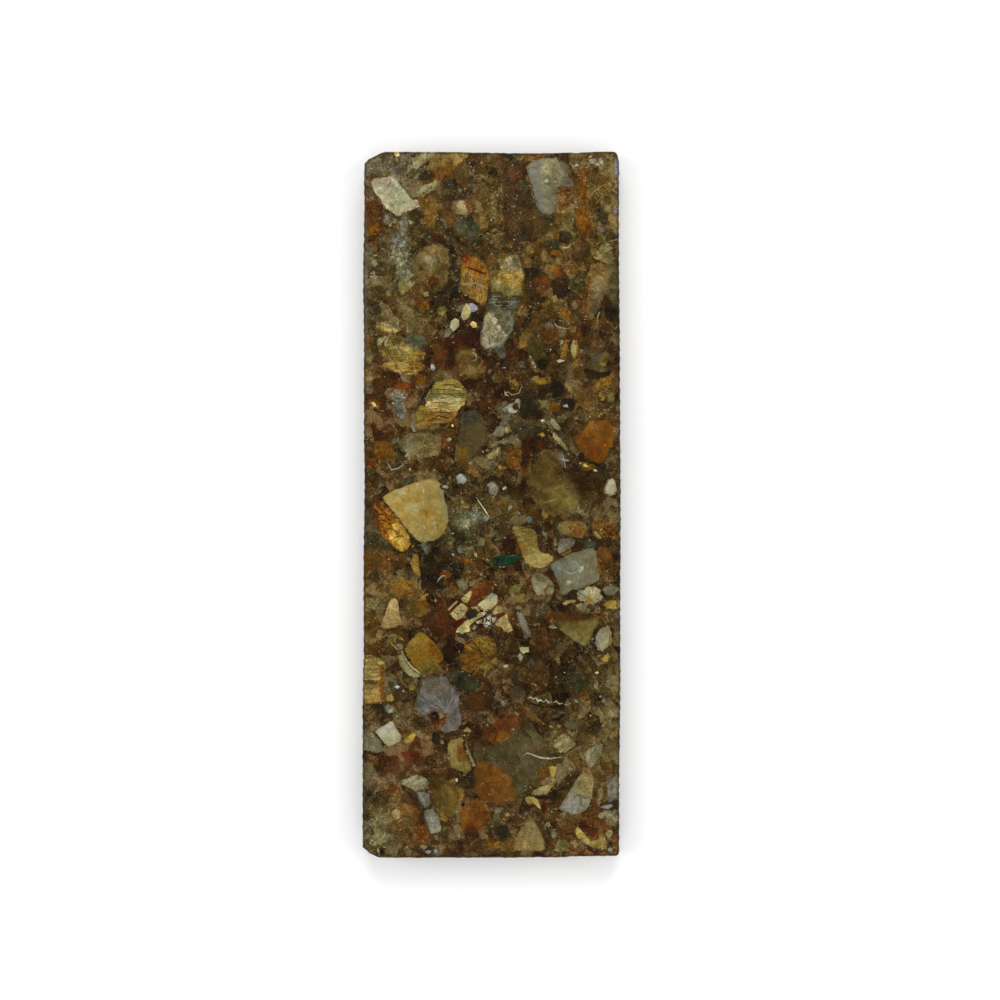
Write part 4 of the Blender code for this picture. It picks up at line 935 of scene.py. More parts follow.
def lay_zebra():
    """The banded maroon and cream coral under the middle."""
    chip("dark_right_of_zebra", (530, 598, 546, 600, 553, 612, 542, 626, 530, 618),
         "3a2c16 2f2311 4c3a1e", soft=0.9, cover=0.75, specks=0.4, grit=1.0)
    chip("zebra", (449, 611, 452, 604, 458, 600, 463, 594, 471, 589, 479, 582, 491, 580, 493, 592, 499,
         599, 501, 605, 505, 609, 509, 617, 513, 626, 512, 633, 503, 633, 494, 628, 484, 627, 472, 631,
         461, 634, 454, 630, 450, 621), "5a4026 3c1a10 6e5638", soft=0.35, cover=0.95, specks=0.4,
         grit=1.0)
    chip("zebra_cream_one", (450, 614, 455, 609, 461, 603, 464, 604, 468, 608, 466, 613, 462, 618, 457,
         621, 453, 618), "a89a62 948654 bcae82", soft=0.08, thin=True, grit=0.3)
    chip("zebra_slash", (450, 611, 453, 606, 457, 602, 459, 603, 455, 608, 451, 613),
         "4a120e 380e0b 5c2418", soft=0.08, thin=True)
    thread("zebra_fine_arc", (454, 612, 458, 614, 462, 613), 1.0, "6a4a24 5a3c1c 7c5c34", cover=0.8)
    chip("zebra_stripe_mid", (471, 607, 476, 606, 482, 609, 478, 612, 474, 611), "a2965e 90844a b4a876",
         soft=0.1, thin=True)
    chip("zebra_wedge", (461, 599, 465, 595, 470, 591, 473, 592, 470, 598, 467, 603, 463, 602),
         "a8985c 96864c b8aa78", soft=0.1, thin=True)
    chip("zebra_rust", (470, 602, 471, 594, 476, 587, 482, 582, 491, 581, 492, 590, 487, 596, 480, 601,
         475, 605), "56321a 46260f 6a3818", soft=0.4, bands=0.6, lean=30, pitch=1.2)
    chip("zebra_cream_two", (477, 605, 482, 601, 488, 598, 495, 596, 499, 600, 496, 605, 491, 609, 483,
         609), "aca27a 9c9264 beb68c", soft=0.08, thin=True, grit=0.2)
    chip("zebra_cream_corner", (448, 609, 452, 604, 457, 600, 458, 602, 453, 606, 449, 611),
         "9c8a54 86743e b4a474", soft=0.08, thin=True)
    chip("zebra_band", (456, 632, 458, 627, 464, 622, 470, 619, 476, 616, 481, 611, 485, 608, 489, 611,
         485, 615, 479, 618, 474, 622, 469, 626, 470, 631, 464, 633), "aea262 94874e c0b282", soft=0.08,
         thin=True, specks=0.4, grit=1.0)
    chip("zebra_maroon", (452, 624, 456, 621, 461, 619, 466, 618, 464, 623, 458, 628, 454, 628),
         "4a120e 380e0b 5c2418", soft=0.1, thin=True)
    chip("zebra_slate", (466, 618, 470, 611, 474, 609, 478, 612, 476, 617, 470, 619),
         "22242c 1b1d24 3a3c44", soft=0.08)
    chip("zebra_cream_three", (495, 624, 499, 619, 504, 615, 507, 614, 508, 620, 511, 625, 513, 630, 508,
         633, 504, 631, 501, 627, 497, 626), "aa9c64 90703e beb082", soft=0.1, thin=True, specks=0.5,
         grit=1.0)
    chip("zebra_light_grain", (480, 620, 485, 614, 494, 613, 499, 619, 496, 626, 488, 630, 481, 627),
         "7a6c4c 3a1a10 a8a084", soft=0.4, specks=1.0, grit=1.0)
    chip("zebra_shoulder", (494, 610, 497, 606, 501, 606, 505, 610, 507, 614, 502, 615, 498, 613),
         "7c7040 6a5c34 968a58", soft=0.1, thin=True, grit=1.0)
    thread("zebra_dark_crack", (452, 620, 458, 622, 465, 619), 1.3, "2c0f0a 240c08 42201a")
    chip("zebra_edge_seam", (477, 607, 484, 611, 491, 611, 488, 613, 480, 612), "3a140c 2c100a 4c2a18",
         soft=0.3, thin=True)
    chip("zebra_green", (487, 597, 492, 593, 497, 595, 498, 598, 490, 599), "8a8f76 7a7f68 a0a58c",
         soft=0.1, thin=True)
    thread("zebra_curl_one", (482, 616, 485, 619, 484, 623, 487, 626), 1.2, "9aa090 888e7e aeb4a4",
           cover=0.8)
    thread("zebra_curl_two", (489, 616, 491, 620, 489, 624), 1.1, "9aa090 888e7e aeb4a4", cover=0.8)
    chip("zebra_white_one", (481, 613, 484, 611, 486, 613, 484, 616), "a8a488 989478 bcb8a0", soft=0.06,
         thin=True)
    chip("zebra_white_two", (486, 617, 489, 615, 491, 618, 488, 620), "a4a48c 94947c b8b8a2", soft=0.06,
         thin=True)
    chip("zebra_white_three", (484, 623, 488, 621, 491, 624, 487, 627, 484, 626), "a8aa94 989a84 bcbea8",
         soft=0.06, thin=True)
    chip("zebra_white_four", (492, 611, 496, 610, 498, 613, 494, 615), "a08c6c 907c5c b4a080", soft=0.06,
         thin=True)
    chip("zebra_white_five", (492, 619, 495, 617, 496, 621, 493, 623), "9a9076 8a8066 aea48a", soft=0.06,
         thin=True)
    chip("zebra_white_six", (476, 622, 480, 620, 482, 622, 478, 624), "a09468 908458 b4a87c", soft=0.06,
         thin=True)
    chip("zebra_white_seven", (472, 629, 474, 625, 477, 626, 475, 630), "8c866c 7c765c a09a80", soft=0.06,
         thin=True)
    chip("zebra_dark_one", (478, 625, 482, 623, 485, 627, 481, 629), "36100a 2c0d08 4c2014", soft=0.06,
         thin=True)
    chip("zebra_dark_two", (499, 614, 503, 612, 506, 614, 502, 617), "5a2814 4a2010 6e3c22", soft=0.06,
         thin=True)
    thread("zebra_net_one", (474, 624, 479, 619, 486, 617, 492, 613), 1.0, "3a120c 2c0e0a 52241a",
           cover=0.8)
    thread("zebra_net_two", (477, 628, 483, 624, 490, 626, 497, 622), 1.0, "2c0f0a 220c08 44201a",
           cover=0.8)
    thread("zebra_net_three", (453, 610, 457, 614, 460, 619), 0.9, "5a3018 4a2612 6e4224", cover=0.7)
    thread("zebra_net_four", (459, 606, 462, 611, 466, 612), 0.9, "6a4424 5a381c 80582f", cover=0.7)
    thread("zebra_red_line_one", (466, 603, 470, 606, 476, 605, 484, 610), 1.6, "52160e 40120c 642a1c")
    thread("zebra_red_line_two", (472, 625, 478, 620, 485, 616, 491, 611), 1.4, "3e120c 300f0a 5a2418")
    thread("zebra_red_line_three", (494, 622, 500, 616, 506, 611), 1.5, "5a2414 48180f 6c3420")


def lay_lower_chips():
    """The fragments of the slab's lower third."""
    chip("pink_tan", (380, 628, 382, 620, 385, 612, 388, 604, 391, 598, 395, 597, 398, 600, 399, 606, 400,
         613, 401, 619, 402, 625, 396, 628, 388, 629), "a48a56 947c46 b89e70", soft=0.12, bands=0.5,
         lean=-22, pitch=1.0)
    chip("grey_by_pink", (371, 603, 376, 598, 381, 596, 380, 600, 374, 605), "79725e 696250 8e8874",
         soft=0.3)
    chip("grey_by_pink_low", (376, 608, 380, 602, 383, 603, 381, 609, 377, 615), "615e49 52503c 78755e",
         soft=0.4)
    chip("grey_lilac_low", (396, 644, 401, 642, 404, 647, 400, 651, 397, 649), "6b685c 5b584e 827f72",
         soft=0.4)
    chip("brown_ochre_mid", (401, 603, 414, 600, 428, 603, 431, 612, 420, 618, 405, 617),
         "5b4a22 4d3e1c 6c5828", soft=0.7, cover=0.85)
    chip("orange_in_ochre", (414, 601, 427, 600, 428, 609, 419, 610), "6f4a14 5f3e10 80581e", soft=0.6,
         cover=0.8)
    chip("red_brown_mid", (430, 606, 446, 604, 450, 622, 456, 636, 452, 656, 436, 650, 428, 632),
         "3a2111 2f1b0e 4c2c16", soft=0.9, cover=0.85)
    chip("yellow_bits", (376, 640, 379, 638, 381, 644, 377, 644), "94832f 826f24 a8994c", soft=0.12)
    thread("yellow_thread", (388, 638, 392, 644, 397, 650), 2.0, "8a7838 7a682c 9c8c50")
    chip("olive_triangle", (554, 620, 562, 619, 574, 620, 588, 619, 599, 617, 598, 624, 594, 633, 590,
         642, 586, 649, 580, 646, 574, 641, 567, 636, 560, 630), "685a2a 594c20 786c3c", soft=0.3,
         cover=0.95, bands=0.4, lean=35, pitch=0.8, grit=0.2)
    chip("triangle_pale_left", (560, 630, 566, 626, 576, 632, 582, 642, 578, 643, 570, 637),
         "746c42 655d36 888058", soft=0.5, cover=0.75, bands=0.4, lean=-40, pitch=1.0, grit=0.2)
    chip("brown_head_of_triangle", (546, 613, 560, 611, 584, 611, 601, 614, 600, 620, 578, 622, 558, 622,
         547, 619), "4a2e12 3d250c 5a3c1a", soft=0.8, cover=0.9)
    chip("grit_under_flower", (575, 605, 582, 603, 590, 605, 598, 606, 601, 611, 593, 614, 583, 614, 577,
         611), "6a5c3e 4c3a22 9c9478", soft=0.6, cover=0.8, specks=1.0, grit=1.0)
    chip("grey_cream_under_flower", (578, 605, 583, 603, 586, 607, 584, 612, 580, 611),
         "86805c 746e4c 9c9674", soft=0.45, cover=0.85, grit=0.8)
    chip("red_under_flower", (590, 607, 594, 606, 595, 611, 591, 612), "5e2214 4c180e 74321e", soft=0.12)
    chip("cream_white_right", (596, 637, 599, 631, 602, 627, 606, 624, 610, 625, 612, 631, 612, 641, 609,
         647, 602, 652, 597, 650, 595, 643), "938d6a 827c56 a6a07e", soft=0.15, grit=0.2)
    chip("white_blue_edge", (596, 642, 596, 636, 600, 629, 602, 630, 599, 640, 600, 650, 598, 650),
         "7c7b70 6c6b60 8e8d82", soft=0.3, thin=True, cover=0.75)
    chip("white_ochre_edge", (609, 630, 611, 636, 613, 641, 610, 646, 608, 645, 609, 638),
         "8e7a48 7e6a3a a28e5c", soft=0.3, thin=True, cover=0.75)
    chip("ochre_under_white", (598, 660, 603, 655, 608, 652, 611, 656, 612, 661, 606, 663),
         "a0853c 8c7030 b09a54", soft=0.2)
    chip("grey_stick", (515, 612, 518, 610, 523, 613, 527, 620, 531, 629, 532, 636, 528, 640, 523, 639,
         521, 630, 517, 620), "6a6250 5a5444 7c7664", soft=0.25, bands=0.5, lean=-65, pitch=1.2, grit=0.6)
    chip("white_square_small", (520, 647, 529, 647, 529, 652, 523, 653, 520, 650), "aca474 9a925e beb68a",
         soft=0.06, thin=True)
    chip("black_over_white", (520, 641, 529, 640, 529, 645, 520, 646), "1b150d 15110b 2c2316", soft=0.1)
    chip("white_under_square", (517, 656, 520, 653, 523, 657, 520, 661), "8d8769 7a7456 a19b80", soft=0.1,
         thin=True)
    chip("ochre_large", (404, 650, 408, 643, 413, 637, 418, 632, 423, 631, 428, 636, 433, 641, 437, 646,
         441, 651, 444, 657, 443, 661, 438, 664, 432, 667, 428, 672, 424, 674, 418, 672, 414, 668, 411,
         663, 407, 657), "78591c 6c4c12 8a7030", soft=0.14, specks=0.4, bands=0.4, lean=20, pitch=1.0,
         grit=0.2)
    chip("ochre_glow", (406, 650, 411, 640, 419, 633, 425, 640, 421, 652, 413, 655),
         "7a6224 6c541c 8b7434", soft=0.7, cover=0.8)
    chip("orange_side_of_ochre", (428, 638, 434, 643, 440, 651, 443, 658, 436, 660, 430, 652),
         "74490f 643c0c 86601f", soft=0.6, cover=0.85)
    chip("olive_side_of_ochre", (418, 664, 430, 661, 440, 662, 432, 667, 427, 673, 420, 670),
         "665a26 564b1c 7a6e38", soft=0.5, cover=0.85, specks=0.5)
    chip("olive_under_arc", (397, 655, 402, 652, 405, 659, 410, 666, 415, 671, 420, 674, 421, 677, 414,
         679, 407, 675, 401, 668, 398, 661), "8a8258 7a7248 9c946c", soft=0.12, bands=0.5, lean=-50,
         pitch=1.4)
    thread("white_arc", (402, 652, 407, 661, 413, 668, 421, 674), 1.3, "b9a87c a3926a cdbf98")
    chip("ochre_foot_large", (421, 672, 428, 668, 441, 666, 441, 674, 430, 677), "58441a 4a3812 6a5626",
         soft=0.4)
    chip("tan_left_middle", (362, 677, 379, 677, 381, 688, 362, 688), "7c6836 6c582a 907c48", soft=0.5,
         bands=0.5, lean=2, pitch=1.2)
    chip("tan_left_upper", (362, 655, 370, 654, 380, 657, 385, 661, 388, 668, 385, 671, 386, 678, 379,
         681, 362, 681), "84703a 76602c a08c58", soft=0.2, bands=0.8, lean=5, pitch=1.2, grit=0.9)
    chip("tan_left_lower", (360, 682, 372, 683, 384, 682, 384, 702, 376, 704, 360, 704),
         "94793b 83682c a98f55", soft=0.22, bands=0.7, lean=2, pitch=0.8)
    chip("rust_column_left", (380, 666, 385, 667, 384, 684, 385, 702, 380, 702, 379, 684),
         "6a3e15 5b3412 7c5022", soft=0.35)
    chip("yellow_block_left", (385, 695, 392, 693, 395, 699, 393, 702, 385, 702), "9b8b44 8a7a34 ac9e60",
         soft=0.15)
    chip("white_specks_left", (384, 688, 390, 686, 392, 690, 385, 691), "a3a28c 8e8d77 b8b7a4", soft=0.12)
    chip("white_speck_two", (401, 688, 404, 689, 406, 693, 402, 694), "aaa98d 96957a bdbca6", soft=0.12)
    chip("olive_lens", (402, 706, 405, 702, 408, 710, 408, 721, 404, 727, 401, 716),
         "504a38 433e2e 645e48", soft=0.3)
    chip("yellow_in_lens", (408, 684, 414, 683, 415, 689, 410, 691), "5e5424 50481c 70663a", soft=0.5)
    chip("purple_star", (413, 709, 415, 700, 418, 692, 421, 685, 421, 679, 427, 677, 434, 677, 441, 676,
         447, 676, 450, 683, 455, 688, 459, 693, 460, 701, 459, 709, 462, 717, 461, 725, 457, 730, 450,
         733, 443, 733, 437, 729, 431, 724, 424, 718, 418, 713), "69635d 5c5853 7d7873", soft=0.16,
         rays=0.8, middle=(446, 711), core=0.6, grit=0.2)
    chip("taupe_head", (422, 680, 434, 678, 446, 678, 449, 685, 444, 698, 432, 697, 424, 690),
         "6e6452 5f5645 7e7460", soft=0.8, cover=0.8)
    chip("blue_grey_cheek", (447, 712, 459, 708, 461, 722, 455, 730, 447, 726), "585247 4c473c 666056",
         soft=0.8, cover=0.8)
    chip("rust_round_pit", (427, 716, 431, 711, 438, 710, 446, 713, 447, 721, 443, 728, 437, 729, 431,
         725), "58300f 482810 7a5a30", soft=0.5, specks=0.7, grit=1.0)
    chip("cream_by_pit", (438, 713, 442, 712, 444, 717, 440, 719), "746838 64582c 887c4c", soft=0.2,
         thin=True)
    chip("pit_hole", (431, 713, 435, 711, 438, 714, 437, 718, 433, 719), "17130f 120f0c 2a241d", soft=0.2)
    chip("black_oval", (431, 734, 434, 731, 440, 732, 441, 738, 439, 744, 434, 744, 431, 740),
         "211e18 1a1814 322d25", soft=0.12)
    chip("ochre_crumb_low", (404, 740, 408, 736, 413, 733, 416, 735, 413, 740, 409, 743, 405, 743),
         "a08636 8a7026 b89e50", soft=0.12, thin=True)
    chip("cream_square", (374, 731, 380, 727, 387, 723, 393, 720, 396, 726, 399, 732, 403, 738, 400, 741,
         394, 745, 389, 747, 384, 743, 379, 737), "a09c88 a09a78 aeab9c", soft=0.08, grit=0.0)
    chip("cream_square_heart", (383, 735, 390, 730, 397, 737, 390, 743), "a8a078 9c9468 b4ae8c", soft=0.8,
         cover=0.7)
    chip("grey_olive_left", (362, 737, 366, 732, 373, 732, 378, 737, 383, 744, 387, 749, 385, 752, 377,
         754, 370, 753, 363, 750), "7c7658 6c664c 90896c", soft=0.25, specks=0.4, grit=0.9)
    chip("grit_left_mid", (383, 707, 388, 704, 394, 708, 393, 714, 386, 713), "6c6c62 5a5a50 8e8e84",
         soft=0.5, cover=0.8, specks=1.0, grit=1.0)
    chip("green_white_left", (388, 710, 391, 709, 392, 712, 389, 713), "96a090 849080 aab4a4", soft=0.06,
         thin=True)
    chip("white_speck_three", (394, 687, 397, 685, 400, 687, 397, 689), "a3a294 908f82 b6b5a8", soft=0.06,
         thin=True)
    chip("fibrous_ochre", (460, 656, 466, 645, 474, 639, 486, 636, 494, 640, 497, 652, 495, 664, 488, 672,
         478, 680, 468, 676, 461, 668), "523610 42280c 70561f", soft=0.8, bands=0.8, lean=-20, pitch=1.2,
         specks=0.6, grit=1.0, rays=0.8, middle=(486, 656), core=0.3)
    thread("fibre_one", (464, 644, 472, 650, 482, 656), 1.5, "84591c 704814 a07a34", cover=0.75)
    thread("fibre_two", (461, 656, 471, 657, 483, 658), 1.4, "7d5418 6a4410 98702c", cover=0.75)
    thread("fibre_three", (463, 668, 472, 663, 483, 660), 1.5, "84591c 704814 a07a34", cover=0.75)
    thread("fibre_four", (471, 678, 477, 670, 485, 662), 1.4, "7a5a1e 684a16 947434", cover=0.75)
    thread("fibre_five", (472, 638, 479, 647, 485, 655), 1.4, "806020 6c4f18 9c7c38", cover=0.75)
    thread("fibre_six", (484, 637, 486, 646, 487, 655), 1.6, "84783a 70652e 9c9050", cover=0.75)
    thread("fibre_seven", (494, 644, 491, 650, 489, 656), 1.5, "7c7236 685f2a 948a4c", cover=0.75)
    thread("fibre_eight", (484, 677, 486, 669, 488, 661), 1.6, "7c7236 685f2a 948a4c", cover=0.75)
    chip("orange_in_fibres", (463, 658, 470, 651, 480, 654, 478, 664, 470, 669), "64400f 54340c 7a5620",
         soft=0.6, cover=0.8, specks=0.5, grit=1.0)
    chip("yellow_fibre_foot", (479, 664, 494, 659, 494, 666, 486, 670, 480, 669), "6e6430 5e5426 847a48",
         soft=0.4, cover=0.8, bands=0.8, lean=-12, pitch=1.4)
    chip("olive_fibres", (480, 639, 490, 637, 495, 645, 493, 659, 484, 658), "5c4c1c 4c3c14 70602e",
         soft=0.5, cover=0.8, bands=0.8, lean=-75, pitch=1.4, grit=0.9)
    chip("slate_diag_low", (449, 676, 457, 669, 467, 672, 478, 680, 483, 686, 472, 691, 459, 690, 452,
         684), "37362c 2d2c24 48463a", soft=0.5)
    chip("dark_brown_low", (461, 694, 480, 690, 494, 698, 492, 712, 470, 712, 462, 704),
         "33200f 2a1a0d 452c16", soft=0.9, cover=0.8)
    chip("violet_dot", (473, 715, 475, 713, 478, 715, 477, 718, 474, 718), "4f4a66 403c54 66617c",
         soft=0.15)
    chip("slate_in_dark", (509, 671, 519, 669, 522, 683, 511, 685), "2a2622 221f1b 38342e", soft=0.9,
         cover=0.8)
    chip("murky_over_gold", (526, 667, 546, 665, 550, 678, 540, 686, 527, 682), "3c2a18 2e2012 543c22",
         soft=0.9, cover=0.97)
    chip("rust_mid_low", (532, 628, 546, 627, 549, 644, 541, 654, 532, 644), "50340f 40290e 644820",
         soft=0.8, cover=0.95)
    chip("brown_by_square", (509, 645, 518, 643, 519, 654, 512, 656), "3a2814 2c1e10 503a20", soft=0.5,
         cover=0.95)
    chip("olive_dark_right", (566, 676, 582, 671, 592, 677, 589, 690, 572, 690), "302d1e 26251a 44412c",
         soft=1.0, cover=0.75, specks=0.4)
    chip("taupe_disc", (508, 693, 513, 686, 521, 686, 526, 693, 524, 702, 514, 703),
         "4c4337 40382d 5e5447", soft=0.4)
    chip("dark_strip_by_tan", (470, 745, 474, 746, 477, 756, 479, 768, 475, 769, 472, 758),
         "2e1c12 25160e 44301f", soft=0.3)
    chip("pinkish_diag", (517, 706, 523, 703, 532, 711, 542, 719, 539, 724, 528, 718),
         "5f4325 50381e 70543a", soft=0.4)
    chip("black_crescent", (549, 721, 552, 718, 558, 715, 563, 713, 567, 713, 564, 718, 559, 721, 553,
         722), "171210 120e0c 282220", soft=0.12)
    chip("olive_grey_right", (561, 723, 567, 720, 576, 721, 583, 719, 586, 723, 581, 729, 572, 731, 566,
         727), "53523c 454431 656450", soft=0.3)
    chip("beige_over_olive", (573, 718, 579, 714, 583, 710, 586, 712, 585, 718, 579, 720),
         "716649 61573b 847a5c", soft=0.2)
    chip("pale_fibrous", (551, 745, 556, 738, 561, 734, 566, 733, 571, 737, 575, 742, 578, 744, 574, 748,
         569, 751, 566, 754, 560, 753, 555, 749), "82784c 6c6238 9a9068", soft=0.12, bands=0.9, lean=35,
         pitch=1.3)
    chip("yellow_green_bit", (549, 734, 553, 728, 558, 730, 557, 736, 552, 740), "736b3c 635b30 868050",
         soft=0.3)
    chip("grey_olive_large", (473, 744, 484, 735, 495, 730, 507, 724, 517, 716, 526, 717, 533, 725, 541,
         736, 548, 745, 546, 757, 540, 766, 533, 773, 528, 784, 520, 795, 512, 804, 498, 804, 485, 800,
         475, 792, 473, 778, 477, 764, 473, 752), "4a4230 3e3724 564d3a", soft=0.35, cover=0.95, grit=0.2)
    chip("grey_heart", (508, 752, 524, 736, 538, 738, 541, 750, 532, 764, 516, 768),
         "524836 463e2c 605542", soft=1.2, cover=0.75, grit=0.2)
    chip("brown_head_of_grey", (483, 732, 496, 721, 512, 714, 524, 716, 524, 726, 508, 734, 492, 745, 478,
         748), "4b2d14 3e2511 5c3c1c", soft=0.7, cover=0.9)
    chip("rust_band", (488, 741, 493, 733, 503, 730, 511, 735, 504, 741, 494, 745),
         "704815 5f3c11 825a20", soft=0.5)
    chip("orange_lower_left", (473, 766, 484, 761, 497, 767, 508, 777, 515, 788, 514, 800, 500, 805, 485,
         801, 475, 793), "764e16 664210 56360e", soft=0.6, cover=0.93, specks=0.5, grit=0.2)
    chip("ochre_right_low", (598, 738, 600, 728, 604, 721, 611, 721, 611, 732, 607, 738),
         "685c34 584d28 7c7048", soft=0.5)
    chip("cream_slivers", (611, 733, 613, 728, 617, 727, 615, 734, 612, 741, 609, 738),
         "77715c 67614e 8c8670", soft=0.12)
    chip("yellow_sparkle", (602, 714, 608, 708, 615, 711, 614, 717, 605, 718), "8a7a42 5c4a22 b4a468",
         soft=0.3, cover=0.8, specks=0.9, grit=1.0)
    chip("beige_grey_low", (584, 755, 588, 748, 594, 745, 600, 742, 604, 744, 603, 751, 600, 757, 596,
         763, 592, 769, 588, 767, 585, 761), "7e7858 6e6849 928c70", soft=0.2, bands=0.4, lean=60,
         pitch=0.9)
    chip("red_brown_left", (401, 752, 412, 749, 420, 753, 420, 760, 411, 763, 404, 760),
         "532915 452212 64381e", soft=0.4)
    chip("brown_left_low", (376, 757, 398, 755, 402, 770, 396, 780, 378, 778), "4c2f19 402714 5e3e22",
         soft=0.7, cover=0.85)
    chip("taupe_left_low", (380, 774, 396, 772, 399, 781, 388, 786, 380, 784), "5c4a36 4d3e2d 6e5c46",
         soft=0.5, cover=0.85)
    chip("olive_tan_left", (362, 765, 368, 759, 374, 762, 377, 770, 373, 778, 362, 778),
         "675b35 594d2b 786c44", soft=0.3)
    chip("rust_left_low", (370, 781, 382, 778, 384, 790, 372, 791), "684626 58381e 7a5634", soft=0.5)
    chip("cream_streaky", (400, 783, 404, 779, 410, 776, 418, 774, 425, 777, 429, 782, 429, 788, 424, 790,
         418, 793, 412, 790, 406, 787), "827a54 6a6140 9a9674", soft=0.14, bands=0.9, lean=25, pitch=1.2)
    chip("grey_under_streaky", (416, 792, 422, 790, 429, 793, 431, 800, 430, 808, 424, 809, 420, 804, 417,
         798), "68645a 585448 807c70", soft=0.3, bands=0.5, lean=-65, pitch=1.0)
    chip("black_edge_left", (400, 783, 405, 787, 411, 793, 417, 800, 423, 808, 426, 818, 431, 830, 430,
         834, 426, 826, 421, 812, 413, 802, 405, 793, 400, 788), "2d2e28 242520 3e4038", soft=0.14)
    chip("grey_white_stick", (423, 810, 428, 809, 433, 808, 437, 813, 440, 822, 442, 830, 438, 834, 431,
         834, 428, 826, 425, 818), "86826e 767260 9a9684", soft=0.1, bands=0.3, lean=-65, pitch=1.0)
    chip("dark_edge_right", (432, 806, 438, 811, 445, 823, 442, 825, 436, 813), "33291a 292115 443825",
         soft=0.2)
    chip("orange_tan_low", (392, 812, 398, 807, 405, 803, 413, 806, 420, 814, 426, 826, 430, 838, 427,
         846, 412, 848, 400, 846, 395, 835, 392, 822), "64492a 553c1e 7c6238", soft=0.6, cover=0.97,
         bands=0.4, lean=-60, pitch=0.6)
    chip("orange_side_low", (414, 812, 420, 818, 427, 832, 428, 843, 418, 845, 416, 828),
         "6c4014 5a330e 80541f", soft=0.8, cover=0.85)
    thread("tan_arc_one", (398, 822, 404, 818, 411, 820), 1.6, "94845a 82734c a89870", cover=0.6)
    thread("tan_arc_two", (399, 831, 406, 826, 414, 828), 1.6, "94845a 82734c a89870", cover=0.6)
    chip("orange_mottle_low", (386, 790, 393, 785, 400, 790, 402, 799, 398, 806, 390, 806, 386, 799),
         "6c4a20 5a3a16 8a6e3c", soft=0.6, cover=0.85, specks=0.9, grit=1.0)
    chip("beige_by_tan", (392, 811, 396, 809, 400, 811, 400, 818, 396, 820, 392, 816),
         "84744a 72633c 988a62", soft=0.3, thin=True)
    chip("tan_arcs", (403, 818, 411, 817, 414, 826, 411, 836, 404, 834, 402, 826), "6a5430 5a4626 7e6a40",
         soft=0.8, cover=0.8, bands=0.5, lean=-60, pitch=1.0)
    chip("ochre_grit_low", (387, 794, 395, 790, 400, 798, 398, 808, 390, 808), "6a5630 584626 8a7a4c",
         soft=0.7, cover=0.85, specks=0.9, grit=1.0)
    chip("orange_over_low", (385, 785, 396, 783, 399, 789, 392, 793, 385, 791), "5e3a12 4e2f0e 744e20",
         soft=0.6, cover=0.9)
    chip("red_side_of_tan", (414, 808, 420, 811, 427, 824, 431, 834, 424, 840, 415, 834, 413, 820),
         "5d3a12 4e300f 6e4a1c", soft=0.8, cover=0.85)
    chip("olive_gray_low", (384, 826, 394, 824, 400, 838, 396, 850, 384, 848), "554a2c 483f25 665a38",
         soft=0.7, cover=0.8)
    chip("pale_spot_bottom", (418, 848, 421, 845, 427, 844, 428, 848, 424, 850), "7c7049 6c603c 908660",
         soft=0.12)
    # Painted glints: two bluish-white highlights near the bottom edge
    chip("blue_white_bottom_one", (425, 852, 428, 850, 431, 851, 429, 853), "8c97a4 7b8692 a0abb8",
         soft=0.06, thin=True)
    chip("blue_white_bottom_two", (434, 852, 436, 850, 438, 851, 437, 853), "7f8b9c 6f7a8a 949fae",
         soft=0.06, thin=True)
    chip("tan_cream", (447, 753, 447, 743, 453, 738, 462, 736, 466, 742, 469, 750, 472, 759, 476, 767,
         472, 770, 466, 775, 459, 772, 452, 768, 447, 760), "7d6a3a 6e5a2c 918050", soft=0.2, bands=0.4,
         lean=-70, pitch=0.8)
    chip("orange_in_tan", (456, 745, 463, 744, 466, 752, 466, 762, 460, 762, 456, 754),
         "7a5220 6a4418 8c6832", soft=0.5, cover=0.85)
    chip("cream_line_right", (463, 743, 467, 742, 470, 750, 473, 758, 476, 766, 473, 769, 470, 761, 466,
         752), "8e845c 7e744c a2986e", soft=0.1)
    chip("olive_low_mid", (427, 781, 436, 776, 446, 778, 455, 786, 461, 797, 459, 808, 450, 818, 442, 817,
         436, 808, 431, 795), "54431c 463612 66542a", soft=0.8, cover=0.93, bands=0.4, lean=-70,
         pitch=0.6, grit=0.2)
    chip("orange_brown_low", (460, 812, 463, 804, 472, 800, 483, 802, 488, 812, 486, 823, 480, 832, 468,
         834, 460, 828), "5c3810 4c2c0c 70481e", soft=0.6, specks=0.3, grit=0.2)
    chip("orange_crumb_low", (441, 818, 446, 816, 450, 818, 448, 822, 443, 823), "8a6a26 785a1a 9c7e3c",
         soft=0.14)
    chip("gritty_left_low", (364, 822, 376, 816, 386, 822, 384, 838, 372, 842, 363, 838),
         "6d6948 4d4830 929070", soft=0.6, cover=0.85, specks=0.8, grit=1.0)
    chip("grey_grit_left_low", (366, 828, 378, 824, 388, 828, 386, 842, 374, 847, 366, 840),
         "5c563e 484330 827e62", soft=0.9, cover=0.9, specks=0.8, grit=1.0)
    chip("trapezoid", (558, 809, 562, 804, 566, 797, 570, 789, 575, 781, 581, 774, 585, 773, 593, 777,
         593, 785, 592, 795, 590, 806, 586, 811, 580, 814, 573, 814, 566, 812), "7f7a62 746c4c 908c7c",
         soft=0.1, grit=0.2)
    chip("trapezoid_cool_side", (560, 808, 564, 802, 571, 794, 578, 798, 582, 808, 576, 813, 566, 812),
         "969080 868070 a8a292", soft=0.8, cover=0.85)
    thread("trapezoid_crack_one", (574, 797, 579, 794, 585, 798, 591, 797), 1.1, "3c362c 302b22 504a3c",
           cover=0.75)
    thread("trapezoid_crack_two", (578, 794, 582, 799, 581, 805, 586, 808), 1.0, "443e32 38332a 585244",
           cover=0.7)
    thread("trapezoid_crack_three", (583, 786, 586, 791, 587, 797), 1.0, "50482f 443d28 665e44",
           cover=0.6)
